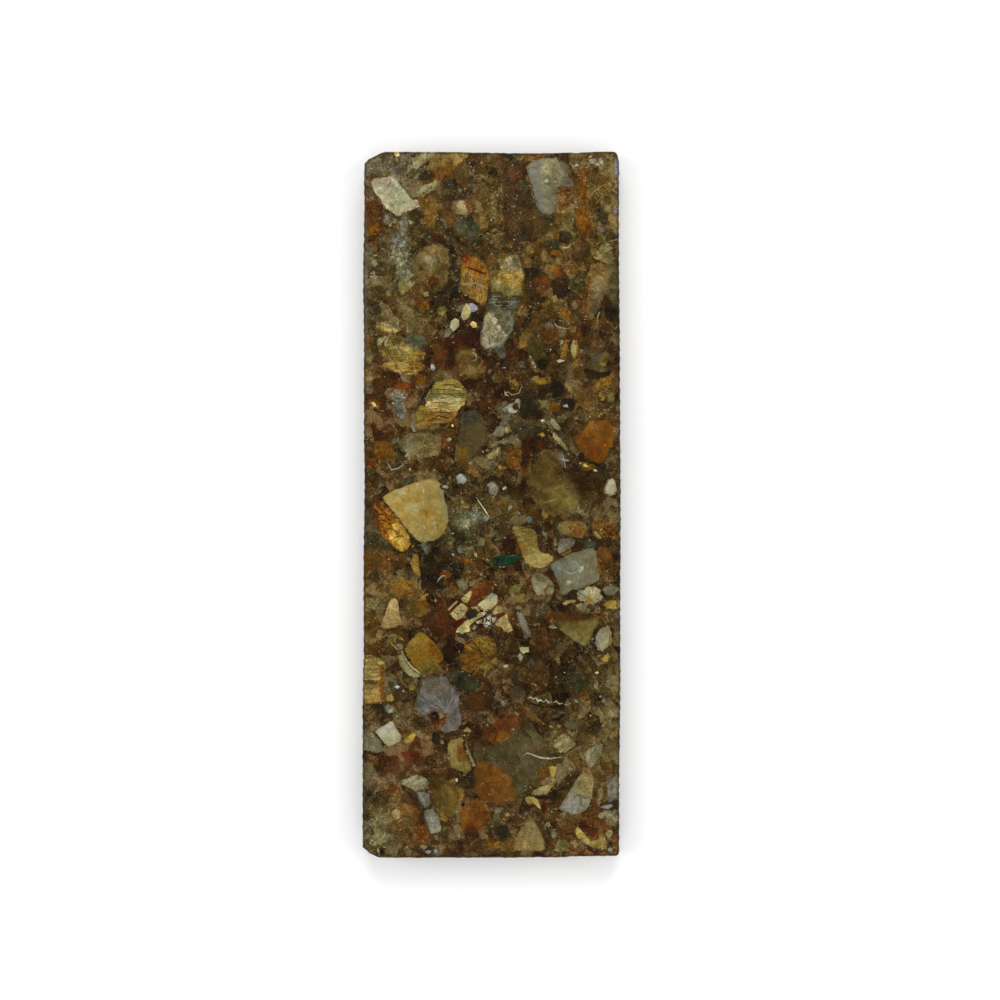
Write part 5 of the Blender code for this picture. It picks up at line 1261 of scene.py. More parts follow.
    chip("golden_cheek", (575, 784, 581, 775, 586, 773, 592, 776, 593, 786, 591, 797, 583, 795, 577, 791),
         "8a7848 7a683a 9c8c5e", soft=0.7, cover=0.9)
    chip("beige_fibres", (595, 803, 597, 790, 600, 785, 604, 788, 604, 797, 601, 805, 598, 808),
         "7e6e42 6e5e34 92845c", soft=0.3, bands=0.6, lean=75, pitch=1.2)
    chip("blue_lens", (600, 808, 605, 805, 611, 804, 613, 806, 608, 809), "7c8278 6c7268 90968a",
         soft=0.08, thin=True)
    chip("green_lens", (596, 815, 600, 812, 604, 812, 605, 816, 602, 819, 598, 818),
         "827d5c 726d4e 969172", soft=0.12)
    chip("tan_bottom", (513, 852, 514, 842, 517, 832, 521, 824, 526, 819, 532, 818, 537, 823, 542, 832,
         546, 842, 547, 852), "6e592e 7a6a40 8c7a4c", soft=0.3, bands=0.5, lean=82, pitch=1.0)
    chip("ochre_bottom", (499, 852, 503, 842, 510, 837, 516, 838, 514, 852), "5e4a20 513f1a 6e5a2c",
         soft=0.5)
    chip("rust_bottom_mid", (486, 838, 498, 836, 500, 848, 488, 850), "6a4817 5a3c12 7c5a26", soft=0.4)
    chip("cream_hook_upper", (530, 795, 534, 790, 540, 786, 546, 785, 552, 784, 552, 787, 549, 792, 546,
         795, 538, 796), "96865a 84744a b0985c", soft=0.1)
    chip("cream_hook_tip", (548, 767, 552, 766, 556, 767, 556, 771, 554, 776, 552, 777, 550, 772),
         "a8924a 967f3a bca660", soft=0.08, thin=True)
    chip("hook_chain_one", (551, 779, 554, 778, 554, 783, 552, 784), "8e7c3e 7c6a30 a29054", soft=0.08,
         thin=True)
    chip("hook_chain_two", (548, 784, 552, 785, 550, 789, 547, 788), "8a7840 786832 9e8c54", soft=0.1,
         thin=True)
    chip("hook_slit", (534, 797, 541, 796, 548, 796, 551, 798, 546, 800, 539, 799),
         "1f100b 180c09 361a12", soft=0.06, thin=True)
    chip("cream_hook_lower", (525, 798, 529, 796, 534, 797, 538, 800, 541, 804, 544, 807, 541, 809, 536,
         806, 531, 805, 527, 803), "9e8b4c 8c7a3c b2a268", soft=0.08, thin=True)
    chip("hook_maroon", (541, 801, 546, 800, 548, 804, 546, 811, 543, 814, 541, 808),
         "4a160f 3c120c 5e281a", soft=0.1)
    chip("maroon_lip", (530, 803, 535, 804, 538, 807, 533, 807), "682211 561a0d 7c3420", soft=0.08,
         thin=True)
    chip("brown_in_hook", (537, 779, 540, 769, 550, 766, 550, 776, 544, 781), "5b3d15 4d3312 6c4c20",
         soft=0.5)
    chip("yellow_cream_corner", (574, 831, 577, 826, 581, 825, 585, 832, 590, 839, 597, 839, 600, 831,
         605, 834, 608, 843, 607, 851, 598, 850, 590, 847, 582, 843, 576, 838), "96803e 826c2c b09e66",
         soft=0.2, specks=0.8, grit=1.0, bands=0.4, lean=-40, pitch=1.3)
    chip("maroon_in_corner", (579, 821, 586, 819, 592, 825, 598, 833, 597, 839, 591, 840, 585, 834, 581,
         828), "6e3c20 5c2e18 80502c", soft=0.3)
    chip("maroon_triangle", (580, 822, 585, 821, 590, 826, 596, 832, 597, 836, 592, 839, 586, 832),
         "552413 471e10 683820", soft=0.14)
    chip("brown_over_triangle", (574, 822, 584, 816, 596, 819, 601, 830, 594, 826, 584, 820),
         "5d4021 4f351b 6e502c", soft=0.4)
    chip("cream_bit_right", (605, 834, 609, 830, 613, 831, 612, 835, 608, 838), "89815a 78704a 9c9672",
         soft=0.12, thin=True)
    chip("olive_lens_low", (559, 824, 562, 820, 568, 817, 572, 819, 570, 824, 564, 828),
         "5a4c24 4c401c 6c5e34", soft=0.3)
    chip("olive_round_low", (554, 852, 555, 844, 560, 839, 566, 840, 570, 845, 570, 852),
         "6c643c 5c542e 807850", soft=0.4)
    chip("beige_stick_low", (549, 832, 551, 829, 555, 828, 558, 834, 556, 840, 552, 839),
         "6f6b4c 605c40 827e60", soft=0.2)
    chip("beige_right_middle", (596, 700, 606, 698, 616, 702, 618, 714, 610, 720, 598, 716),
         "766646 64563a 8c7c5a", soft=0.9, cover=0.8, specks=0.6, grit=1.0)
    chip("grey_beige_right_low", (604, 812, 616, 810, 618, 824, 608, 826), "7a7058 68604a 8e846a",
         soft=0.7, cover=0.85, grit=1.0, specks=0.5)
    chip("beige_under_trapezoid", (560, 815, 572, 816, 582, 815, 578, 822, 564, 822),
         "564423 46371c 74603a", soft=0.7, cover=0.8)
    chip("beige_grey_left_low", (364, 774, 376, 772, 386, 778, 388, 788, 376, 793, 364, 788),
         "6c5c44 5c4e38 82745c", soft=0.8, cover=0.85, bands=0.4, lean=-30, pitch=1.0)
    chip("right_edge_strips", (612, 620, 619, 619, 619, 645, 614, 647), "5c4e38 4c402e 70624a", soft=0.6,
         cover=0.85, bands=0.7, lean=85, pitch=1.4)
    chip("cream_bit_low_one", (546, 823, 549, 821, 551, 826, 548, 828), "7c6e4e 6b5e40 908262", soft=0.2,
         thin=True)
    chip("cream_bit_low_two", (504, 813, 508, 812, 510, 815, 506, 817), "78643e 665432 8c7852", soft=0.2,
         thin=True)
    chip("pale_foot_of_green", (491, 820, 493, 817, 498, 818, 497, 822, 493, 823), "80805e 6e6e4e 949474",
         soft=0.2, thin=True)
    chip("grey_green_low", (491, 822, 493, 814, 496, 808, 502, 806, 503, 810, 500, 816, 499, 821, 495,
         823), "605f46 525139 7c7c5c", soft=0.25)
    chip("dark_band_mid", (484, 823, 496, 823, 508, 826, 514, 838, 504, 838, 492, 832),
         "2c2419 241d15 3c3222", soft=0.6, cover=0.8)
    chip("grey_streaks_right", (605, 776, 618, 772, 620, 800, 608, 802), "5b574e 4c4840 716c62", soft=0.7,
         cover=0.75, bands=0.6, lean=75, pitch=0.9)
    chip("glint_bottom_right", (607, 850, 609, 847, 613, 849, 611, 852), "8d9287 7c8176 a2a69c", soft=0.1,
         thin=True)


def lay_bright_crumbs():
    """Small bright or black bits and threads that catch the eye, many of the bright ones painted glints.
    """
    # The gold and white bits and the sparks below are painted glints: highlights painted into the colour
    gold = "e6c27a c9a257 f2dca8"
    white = "b9b59c a19d84 cfccb8"
    black = "18130d 120e0a 2a2117"
    chip("gold_top", (392, 153, 397, 152, 400, 156, 396, 156), gold, soft=0.08)
    chip("gold_left", (371, 403, 374, 402, 377, 406, 375, 407), gold, soft=0.06)
    chip("gold_mid", (470, 324, 472, 321, 476, 323, 477, 327, 473, 328), gold, soft=0.08, thin=True,
         cover=0.8)
    chip("cca968 b48f4c dcbe88", (581, 465, 585, 463, 590, 467, 588, 469), gold, soft=0.08)
    chip("dot_ochre", (540, 434, 543, 432, 545, 436, 542, 437), "a3782e 8f661f bb9450", soft=0.12)
    chip("spark_a", (573, 164, 577, 162, 580, 166, 576, 169), white, soft=0.15)
    chip("spark_b", (587, 156, 592, 154, 595, 158, 590, 159), white, soft=0.12)
    chip("spark_c", (598, 158, 602, 156, 605, 162, 601, 167, 598, 163), white, soft=0.3, cover=0.8)
    chip("spark_d", (583, 162, 586, 161, 588, 166, 584, 167), "8b8990 78767c a3a1a6", soft=0.15)
    chip("spark_e", (419, 266, 422, 266, 423, 270, 419, 271), white, soft=0.2)
    chip("spark_f", (431, 364, 434, 364, 435, 368, 431, 369), white, soft=0.2)
    chip("spark_g", (447, 438, 450, 437, 452, 440, 448, 441), "8a8a6e 76765c 9e9e84", soft=0.15,
         round=True)
    chip("spark_h", (530, 359, 533, 358, 536, 364, 532, 367), white, soft=0.25, cover=0.8)
    chip("spark_i", (556, 361, 560, 359, 565, 361, 559, 363), white, soft=0.2, cover=0.85)
    chip("spark_j", (593, 470, 596, 469, 598, 471, 595, 472), white, soft=0.08)
    chip("spark_k", (541, 420, 544, 419, 545, 421, 542, 422), white, soft=0.08)
    chip("spark_m", (411, 423, 413, 422, 416, 432, 413, 431), "7c7862 6a6652 948f78", soft=0.12)
    chip("spark_n", (502, 488, 505, 486, 507, 488, 503, 490), white, soft=0.12)
    chip("spark_o", (578, 572, 581, 567, 584, 566, 582, 572), "b5b29b a09d86 c8c5b2", soft=0.2, thin=True)
    chip("spark_p", (566, 583, 570, 580, 571, 583, 568, 585), "aaa78e 98957c bdbaa4", soft=0.2)
    chip("spark_q", (595, 672, 598, 671, 599, 673, 596, 674), white, soft=0.1)
    chip("spark_r", (463, 728, 468, 726, 472, 730, 467, 732), "8f8950 7c763f a39d68", soft=0.15)
    chip("spark_s", (426, 852, 429, 850, 431, 853, 428, 854), "96948a 82807a a8a69c", soft=0.12,
         thin=True)
    chip("spark_t", (433, 850, 436, 849, 436, 853, 434, 853), "82808a 706e78 94929c", soft=0.12,
         thin=True)
    chip("spark_u", (455, 779, 457, 778, 458, 781, 456, 782), white, soft=0.1)
    chip("spark_v", (416, 484, 418, 483, 418, 486, 416, 486), white, soft=0.1)
    chip("spark_x", (440, 486, 446, 484, 450, 487, 446, 490, 441, 489), "a29c82 8d876c b6b198", soft=0.15)
    chip("black_a", (430, 352, 433, 351, 434, 355, 431, 356), black, soft=0.12, round=True)
    chip("black_b", (466, 786, 469, 785, 470, 788, 467, 789), black, soft=0.15, round=True)
    chip("black_c", (473, 796, 477, 795, 478, 798, 474, 799), black, soft=0.15, round=True)
    chip("black_d", (461, 804, 464, 802, 465, 806, 462, 807), black, soft=0.15, round=True)
    chip("black_e", (531, 246, 535, 247, 534, 251, 530, 249), black, soft=0.2, round=True)
    chip("black_f", (541, 601, 544, 600, 545, 606, 542, 606), black, soft=0.2)
    chip("black_g", (551, 594, 556, 593, 556, 605, 552, 606), "1f1812 18130e 30261c", soft=0.25)
    thread("bent_glint", (553, 320, 555, 324, 558, 327, 563, 328, 568, 329), 0.9, "9c9478 8a8266 b0a88e",
           cover=0.8)
    thread("long_fibre", (523, 756, 527, 753, 533, 755, 541, 758, 550, 759, 561, 757), 1.5,
           "a6a184 918c70 bab69c")
    thread("jag_shadow", (527, 703, 536, 705, 546, 707, 556, 707, 566, 708), 2.6, "17110c 120d09 2a221a",
           cover=0.6)
    # Painted glints: a jagged row of highlights over the dark line
    thread("jag_one", (528, 698, 531, 697, 533, 699, 536, 698), 1.6, "a29d86 8f8a72 b8b39c", cover=0.9)
    thread("jag_two", (536, 698, 538, 701, 541, 700, 544, 702), 1.8, "9c977e 888368 b2ad94", cover=0.9)
    thread("jag_three", (544, 702, 546, 700, 549, 703, 552, 702), 1.5, "a5a08a 928d76 bab5a0", cover=0.9)
    thread("jag_four", (553, 703, 556, 701, 559, 704, 563, 703), 1.4, "938e76 807b62 a8a38c", cover=0.9)
    thread("jag_five", (563, 704, 567, 705, 571, 703), 1.2, "858068 726d56 9a957e", cover=0.8)
    chip("jag_bead", (574, 700, 577, 700, 578, 703, 575, 703), "7d7a6c 6c695c 929082", soft=0.05,
         thin=True)
    chip("light_by_jag_one", (494, 697, 498, 695, 500, 699, 496, 700), "5e5648 50493c 70685a", soft=0.1,
         thin=True)
    chip("light_by_jag_two", (501, 702, 504, 700, 506, 705, 503, 706), "77766a 66655a 8c8b7e", soft=0.1,
         thin=True)
    chip("yellow_crumb_mid", (463, 731, 467, 728, 471, 729, 470, 732, 465, 732), "8c7a42 7a6832 a08e58",
         soft=0.08, thin=True)
    thread("fibre_by_star", (476, 497, 480, 503, 485, 510, 489, 517), 1.4, "a8a285 938d72 bcb79e")
    thread("fibre_in_olive", (543, 503, 550, 501, 557, 499), 1.3, "857d50 746c42 989066")
    thread("fibre_black_zone", (437, 583, 439, 579, 442, 576, 446, 576), 1.6, "928c74 7f7962 a8a28c")
    thread("fibre_grey", (420, 580, 420, 587, 419, 594), 2.0, "6e695c 5e594d 807b6c")
    thread("curl_upper", (504, 391, 506, 395, 509, 396), 1.6, "aaa68b 959176 bebaa2")
    thread("vein_one", (459, 284, 468, 284, 476, 283, 486, 287), 1.2, "8d8a66 7b7855 a09d7c")
    thread("vein_two", (480, 280, 482, 286, 488, 289), 1.0, "a08a60 8c774e b29e78")
    thread("curl_left", (388, 337, 385, 342, 386, 348), 1.5, "97906c 857e5a aaa382")
    thread("curl_white", (472, 352, 476, 355, 476, 360, 472, 361), 1.6, "847a66 726955 988e7a")
    thread("streak_by_tan", (597, 322, 598, 316, 600, 312), 1.8, "93855a 817348 a6996e")
    # Painted shadow: a faint dark line along the low step at the rough strip's edge, where the ledge
    # casts shade
    thread("strip_step_shadow", (407, 215, 409, 228, 408, 240, 409, 252, 407.5, 262), 1.8,
           "2e281c 241f17 3a3426", cover=0.45)
    thread("white_in_black", (388, 463, 391, 470, 398, 468, 406, 463), 1.3, "9c957c 877f66 b0a992")


lay_large_chips()
lay_middle_chips()
lay_zebra()
lay_lower_chips()
lay_bright_crumbs()


CRUMB_TONES = (
    "a39a72 8e855e b5ad8a",
    "8a8c6e 76785c 9fa086",
    "6e6a5c 5d594c 827e70",
    "8a6a26 785a1e 9f8240",
    "9a7a30 866820 ad9350",
    "6a3a10 59300e 7e4e1e",
    "4a2c14 3c2310 5c3e1f",
    "2a2015 221a12 3a2e20",
    "3c3c36 32322d 4e4e46",
    "5e5226 50461f 706434",
    "7a6a42 6a5b36 8c7d56",
    "6e6858 5e5848 827c6a",
    "3a2a16 302212 4c3a22",
    "544422 46381b 665430",
)
WOBBLE_SEED = 407       # noise_vector follows the clock unless it gets a seed
CRUMB_COUNT = 620
CRUMB_REACH = (27.2, 74.8)      # the crumbs' furthest places from the middle, across and along


def scatter_crumbs():
    """Small angular fragments between the large ones, in the tones of the rock. They come first, so that
    the large chips lie over them."""
    rng = random.Random(407)
    crumbs = []
    for number in range(CRUMB_COUNT):
        x = rng.uniform(-CRUMB_REACH[0], CRUMB_REACH[0])
        y = rng.uniform(-CRUMB_REACH[1], CRUMB_REACH[1])
        size = min(1.5, 0.40 * math.exp(abs(rng.gauss(0, 0.60))))
        stretch = rng.uniform(1.0, 2.3)
        turn = rng.uniform(0, math.pi)
        corners = rng.randint(4, 7)
        angles = sorted((corner + rng.uniform(-0.3, 0.3)) * 2 * math.pi / corners
                        for corner in range(corners))
        points = []
        for angle in angles:
            reach = size * rng.uniform(0.75, 1.15)
            across = reach * math.cos(angle) * stretch ** 0.5
            up = reach * math.sin(angle) / stretch ** 0.5
            points.append((x + across * math.cos(turn) - up * math.sin(turn),
                           y + across * math.sin(turn) + up * math.cos(turn)))
        colours = [tone(text) for text in rng.choice(CRUMB_TONES).split()]
        crumbs.append({
            **LOOK,
            "name": f"crumb_{number}",
            "points": points,
            "tones": colours,
            "soft": rng.uniform(0.1, 0.4),
            "cover": rng.uniform(0.45, 0.9),
            "specks": rng.choice((0, 0, 0.5)),
            "grit": 0.9,
            "rays": rng.choice((0, 0, 0.8)),
            "bands": rng.choice((0, 0, 0.5)),
            "lean": math.degrees(turn),
            "round": rng.random() < 0.3,
        })
    return crumbs


def wobble(x, y):
    """The same small shift for every outline that passes a place, so that touching chips stay in
    touch."""
    slow = noise.noise_vector(Vector((x * 0.55, y * 0.55, 3.1)))
    fast = noise.noise_vector(Vector((x * 1.7, y * 1.7, 8.4)))
    return x + slow.x * 0.10 + fast.x * 0.09, y + slow.y * 0.10 + fast.y * 0.09


def finish_outline(points, rounded):
    """The outline in short, slightly uneven steps, with its corners cut where the chip is rounded."""
    if rounded:
        cut = []
        for at, start in enumerate(points):
            end = points[(at + 1) % len(points)]
            cut.append((start[0] * 0.75 + end[0] * 0.25, start[1] * 0.75 + end[1] * 0.25))
            cut.append((start[0] * 0.25 + end[0] * 0.75, start[1] * 0.25 + end[1] * 0.75))
        points = cut
    fine = []
    for at, start in enumerate(points):
        end = points[(at + 1) % len(points)]
        steps = max(1, round(math.dist(start, end) / OUTLINE_STEP))
        for step in range(steps):
            part = step / steps
            x = start[0] + (end[0] - start[0]) * part
            y = start[1] + (end[1] - start[1]) * part
            fine.append(wobble(x, y))
    return np.array(fine)


def inside(points, outline):
    """Which points lie inside a closed outline."""
    start_x, start_y = outline.T
    end_x, end_y = np.roll(outline, -1, axis=0).T
    rise = np.where(end_y == start_y, 1e-12, end_y - start_y)
    found = np.zeros(len(points), bool)
    for at in range(0, len(points), CHUNK):
        x = points[at:at + CHUNK, 0, None]
        y = points[at:at + CHUNK, 1, None]
        crosses = (start_y > y) != (end_y > y)
        ahead = x < (end_x - start_x) * (y - start_y) / rise + start_x
        found[at:at + CHUNK] = (crosses & ahead).sum(axis=1) % 2
    return found


def distance_to_outline(points, outline):
    """The distance from each point to a closed outline."""
    along = np.roll(outline, -1, axis=0) - outline
    lengths = np.maximum((along ** 2).sum(axis=1), 1e-12)
    best = np.empty(len(points))
    for at in range(0, len(points), CHUNK):
        away = points[at:at + CHUNK, None, :] - outline
        part = np.clip((away * along).sum(axis=2) / lengths, 0, 1)
        best[at:at + CHUNK] = np.sqrt(((away - part[:, :, None] * along) ** 2).sum(axis=2).min(axis=1))
    return best


def half_width(outline):
    """The middle half width of a closed outline: its area over half its length."""
    ahead = np.roll(outline, -1, axis=0)
    area = abs((outline[:, 0] * ahead[:, 1] - ahead[:, 0] * outline[:, 1]).sum()) / 2
    return area / (np.hypot(*(ahead - outline).T).sum() / 2) / 2


def side_band():
    """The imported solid's side wall and rim, finely divided, without its two flat caps."""
    band = bmesh.new()
    band.from_mesh(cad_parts["coral_slab"].data)
    bmesh.ops.scale(band, vec=(1 / MM,) * 3, verts=band.verts)
    bmesh.ops.remove_doubles(band, verts=band.verts, dist=SAME_PLACE)
    flat = []
    for face in band.faces:
        height = face.calc_center_median().z
        if abs(face.normal.z) > FLAT_NORMAL and (height > THICK - SAME_PLACE or height < SAME_PLACE):
            flat.append(face)
    bmesh.ops.delete(band, geom=flat, context="FACES_ONLY")
    loose = [edge for edge in band.edges if not edge.link_faces]
    bmesh.ops.delete(band, geom=loose, context="EDGES")
    bmesh.ops.delete(band, geom=[vert for vert in band.verts if not vert.link_faces], context="VERTS")
    left = set(band.verts)
    groups = []
    while left:
        todo = [left.pop()]
        group = list(todo)
        while todo:
            for edge in todo.pop().link_edges:
                for vert in edge.verts:
                    if vert in left:
                        left.remove(vert)
                        group.append(vert)
                        todo.append(vert)
        groups.append(group)
    groups.sort(key=len)
    bmesh.ops.delete(band, geom=[vert for group in groups[:-1] for vert in group], context="VERTS")
    for _ in range(MOST_SPLITS):
        bmesh.ops.triangulate(band, faces=[face for face in band.faces if len(face.verts) > 3])
        long = [edge for edge in band.edges if edge.calc_length() > SIDE_STEP]
        if not long:
            break
        bmesh.ops.subdivide_edges(band, edges=long, cuts=1)
    bmesh.ops.triangulate(band, faces=[face for face in band.faces if len(face.verts) > 3])
    return band


def rim_loop(band, height):
    """The open rim at one height, as vertices in order."""
    edges = [edge for edge in band.edges if len(edge.link_faces) == 1
             and all(abs(vert.co.z - height) < SAME_HEIGHT for vert in edge.verts)]
    next_to = {}
    for edge in edges:
        for vert in edge.verts:
            next_to.setdefault(vert, []).append(edge.other_vert(vert))
    start = edges[0].verts[0]
    loop = [start]
    before = None
    here = start
    while True:
        ahead = [vert for vert in next_to[here] if vert != before]
        before = here
        here = ahead[0]
        if here == start:
            return loop
        loop.append(here)


def hexagonal_points(step, rng, shift):
    """A slightly jittered triangular grid over the slab's footprint."""
    points = []
    rows = int(2 * GRID_REACH[1] / (step * ROW_HEIGHT)) + 1
    for row in range(rows):
        y = -GRID_REACH[1] + row * step * ROW_HEIGHT
        for column in range(int(2 * GRID_REACH[0] / step) + 1):
            x = -GRID_REACH[0] + column * step + (row % 2) * step / 2
            points.append((x + rng.uniform(-shift, shift), y + rng.uniform(-shift, shift)))
    return np.array(points)


def fill_cap(rim, step, outlines, pits, rng):
    """Triangles that fill a rim, with edges along the outlines of the chips. Returns points, triangles
    and, for each point, its place in the rim or -1."""
    rim = np.array(rim)
    points = [rim]
    edges = [(at, (at + 1) % len(rim)) for at in range(len(rim))]
    count = len(rim)
    ends = np.cumsum([len(outline) for outline in outlines])
    together = np.concatenate(outlines)
    all_kept = inside(together, rim) & (distance_to_outline(together, rim) > CLEAR_OF_RIM)
    for outline, kept in zip(outlines, np.split(all_kept, ends[:-1])):
        place = {}
        for at in np.nonzero(kept)[0]:
            place[at] = count
            count += 1
        points.append(outline[kept])
        for at in place:
            after = (at + 1) % len(outline)
            if after in place:
                edges.append((place[at], place[after]))
    for x, y, radius, depth in pits:
        for part in PIT_RINGS:
            around = max(1, round(2 * math.pi * radius * part / PIT_STEP))
            ring = [(x + radius * part * math.cos(2 * math.pi * at / around),
                     y + radius * part * math.sin(2 * math.pi * at / around)) for at in range(around)]
            points.append(np.array(ring))
            count += around
    near = kdtree.KDTree(count)
    for at, point in enumerate(np.concatenate(points)):
        near.insert((point[0], point[1], 0), at)
    near.balance()
    free = hexagonal_points(step, rng, step * GRID_JITTER)
    free = free[inside(free, rim)]
    free = free[distance_to_outline(free, rim) > step * CLEAR_OF_POINTS]
    far = [near.find((point[0], point[1], 0))[2] > step * CLEAR_OF_POINTS for point in free]
    points.append(free[np.array(far)])
    everything = np.concatenate(points)
    result = geometry.delaunay_2d_cdt([Vector(point) for point in everything], edges, [], 0, 1e-5)
    new_points = np.array([tuple(point) for point in result[0]])
    triangles = np.array([face for face in result[2] if len(face) == 3])
    middles = new_points[triangles].mean(axis=1)
    triangles = triangles[inside(middles, rim)]
    in_rim = np.full(len(new_points), -1)
    for at, sources in enumerate(result[3]):
        for source in sources:
            if source < len(rim):
                in_rim[at] = source
    return new_points, triangles, in_rim


def smoothstep(low, high, value):
    """0 below `low`, 1 above `high`, smooth between."""
    part = np.clip((value - low) / (high - low), 0, 1)
    return part * part * (3 - 2 * part)


def noise_at(points, scale, shift=0.0):
    """Smooth noise from -1 to 1 at each point."""
    return np.array([noise.noise(Vector(point) * scale + Vector((shift, 0, 0))) for point in points])


class Paint:
    """What each corner of each face shows: three tones, how much they cover the matrix, and markings."""

    def __init__(self, triangles):
        faces = len(triangles)
        self.triangles = triangles
        self.tones = np.zeros((faces, 3, 3, 3))
        self.cover = np.zeros((faces, 3))
        self.style = np.zeros((faces, 3, 5))
        self.owner = np.full(faces, -1)
        self.spots = np.zeros((faces, 3, 2))
        self.seam = np.full((faces, 3), 1.0)

    def lay(self, pieces, spots, level):
        """Lays pieces over the faces in order. `spots` is where each vertex looks a piece up, `level` its
        depth under the face that shows the pieces."""
        triangles = self.triangles
        middles = spots[triangles].mean(axis=1)
        depths = level[triangles].mean(axis=1)
        reached = np.nonzero(depths < SKIN_DEPTH)[0]
        self.spots[reached] = spots[triangles[reached]]
        middles = middles[reached]
        depths = depths[reached]
        for number, piece in enumerate(pieces):
            outline = piece["outline"]
            margin = 0.7 + piece["soft"] * 0.7
            low = outline.min(axis=0) - margin
            high = outline.max(axis=0) + margin
            near = np.nonzero((spots[:, 0] > low[0]) & (spots[:, 0] < high[0])
                              & (spots[:, 1] > low[1]) & (spots[:, 1] < high[1])
                              & (level < piece["depth"]))[0]
            if not len(near):
                continue
            away = distance_to_outline(spots[near], outline)
            within = inside(spots[near], outline)
            style = np.array([piece[look] for look in ("bands", "specks", "rays", "grit", "soft")])
            tones = np.array(piece["tones"])
            distances = np.full(len(spots), 1.0)
            distances[near] = away
            close = np.nonzero((middles[:, 0] > low[0]) & (middles[:, 0] < high[0])
                               & (middles[:, 1] > low[1]) & (middles[:, 1] < high[1])
                               & (depths < piece["depth"]))[0]
            if piece["soft"] <= CRISP:
                held = inside(middles[close], outline)
                chosen = reached[close[held]]
                beside = reached[close[~held]]
                if piece["thin"]:
                    self.seam[chosen] = 1.0
                else:
                    self.seam[chosen] = distances[triangles[chosen]]
                    self.seam[beside] = np.minimum(self.seam[beside], distances[triangles[beside]])
                self.tones[chosen] = tones
                self.cover[chosen] = piece["cover"]
                self.style[chosen] = style
                self.owner[chosen] = number
                continue
            ragged = noise_at([(*spot, 0.0) for spot in spots[near]], 1.1, number) * piece["soft"] * 0.6
            mask = np.zeros(len(spots))
            fade = max(piece["soft"] * 1.1 - 0.35, 0.1)
            depth_in = np.where(within, away, -away) + ragged
            mask[near] = smoothstep(-fade, fade, depth_in) * piece["cover"]
            chosen = reached[close[mask[triangles[reached[close]]].max(axis=1) > 0]]
            over = mask[triangles[chosen]]
            self.seam[chosen] += (1.0 - self.seam[chosen]) * over
            under = self.cover[chosen] * (1 - over)
            total = np.maximum(under + over, 1e-6)
            taken = chosen[(self.cover[chosen].mean(axis=1) < 0.3) & (over.mean(axis=1) > 0.15)]
            self.tones[chosen] = ((self.tones[chosen] * under[:, :, None, None]
                                   + tones * over[:, :, None, None]) / total[:, :, None, None])
            style[-1] = 0.0
            self.style[chosen] = ((self.style[chosen] * under[:, :, None] + style * over[:, :, None])
                                  / total[:, :, None])
            self.cover[chosen] = under + over
            self.owner[taken] = number


def prepare_pieces():
    """The crumbs and chips in the order in which they are laid, each with its finished outline and its
    depth, without the crumbs that a large chip hides. Returns them, and the large chips."""
    noise.seed_set(WOBBLE_SEED)
    pieces = scatter_crumbs() + CHIPS
    depth_rng = random.Random(7)
    for piece in pieces:
        piece["outline"] = finish_outline(piece["points"], piece["round"])
        size = float(np.ptp(piece["outline"], axis=0).max())
        piece["thin"] = piece["thin"] or half_width(piece["outline"]) < THIN_HALF_WIDTH
        piece["depth"] = min(DEEPEST_CHIP, max(0.8, size * depth_rng.uniform(0.5, 1.3)))
    large = [piece for piece in pieces
             if piece["soft"] <= CRISP and not piece["name"].startswith("crumb")]
    hidden = np.zeros(len(pieces), bool)
    for number, piece in enumerate(pieces):
        if piece["name"].startswith("crumb"):
            middle = piece["outline"].mean(axis=0)[None]
            hidden[number] = any(inside(middle, other["outline"])[0] for other in large)
    return [piece for number, piece in enumerate(pieces) if not hidden[number]], large


def rough_side():
    """The side wall with a sawn, nicked surface, and the inward direction at each of its vertices."""
    band = side_band()
    band.normal_update()
    inward = {}
    for vert in band.verts:
        aside = Vector((vert.normal.x, vert.normal.y, 0))
        aside = aside.normalized() if aside.length > 0.05 else Vector((0, 0, 0))
        inward[vert] = -aside
    for vert, aside in inward.items():
        slow = noise.noise(vert.co * 0.9)
        fast = noise.noise(vert.co * 2.6 + Vector((9, 0, 0)))
        nick = max(0.0, noise.noise(vert.co * 0.7 + Vector((0, 31, 0))) - 0.28)
        at_rim = max(0.0, 1 - min(vert.co.z, THICK - vert.co.z) / 0.6)
        vert.co += aside * (SIDE_ROUGHNESS * (1 + 0.6 * slow + 0.8 * fast) + nick * 0.8 * at_rim)
    return band, inward


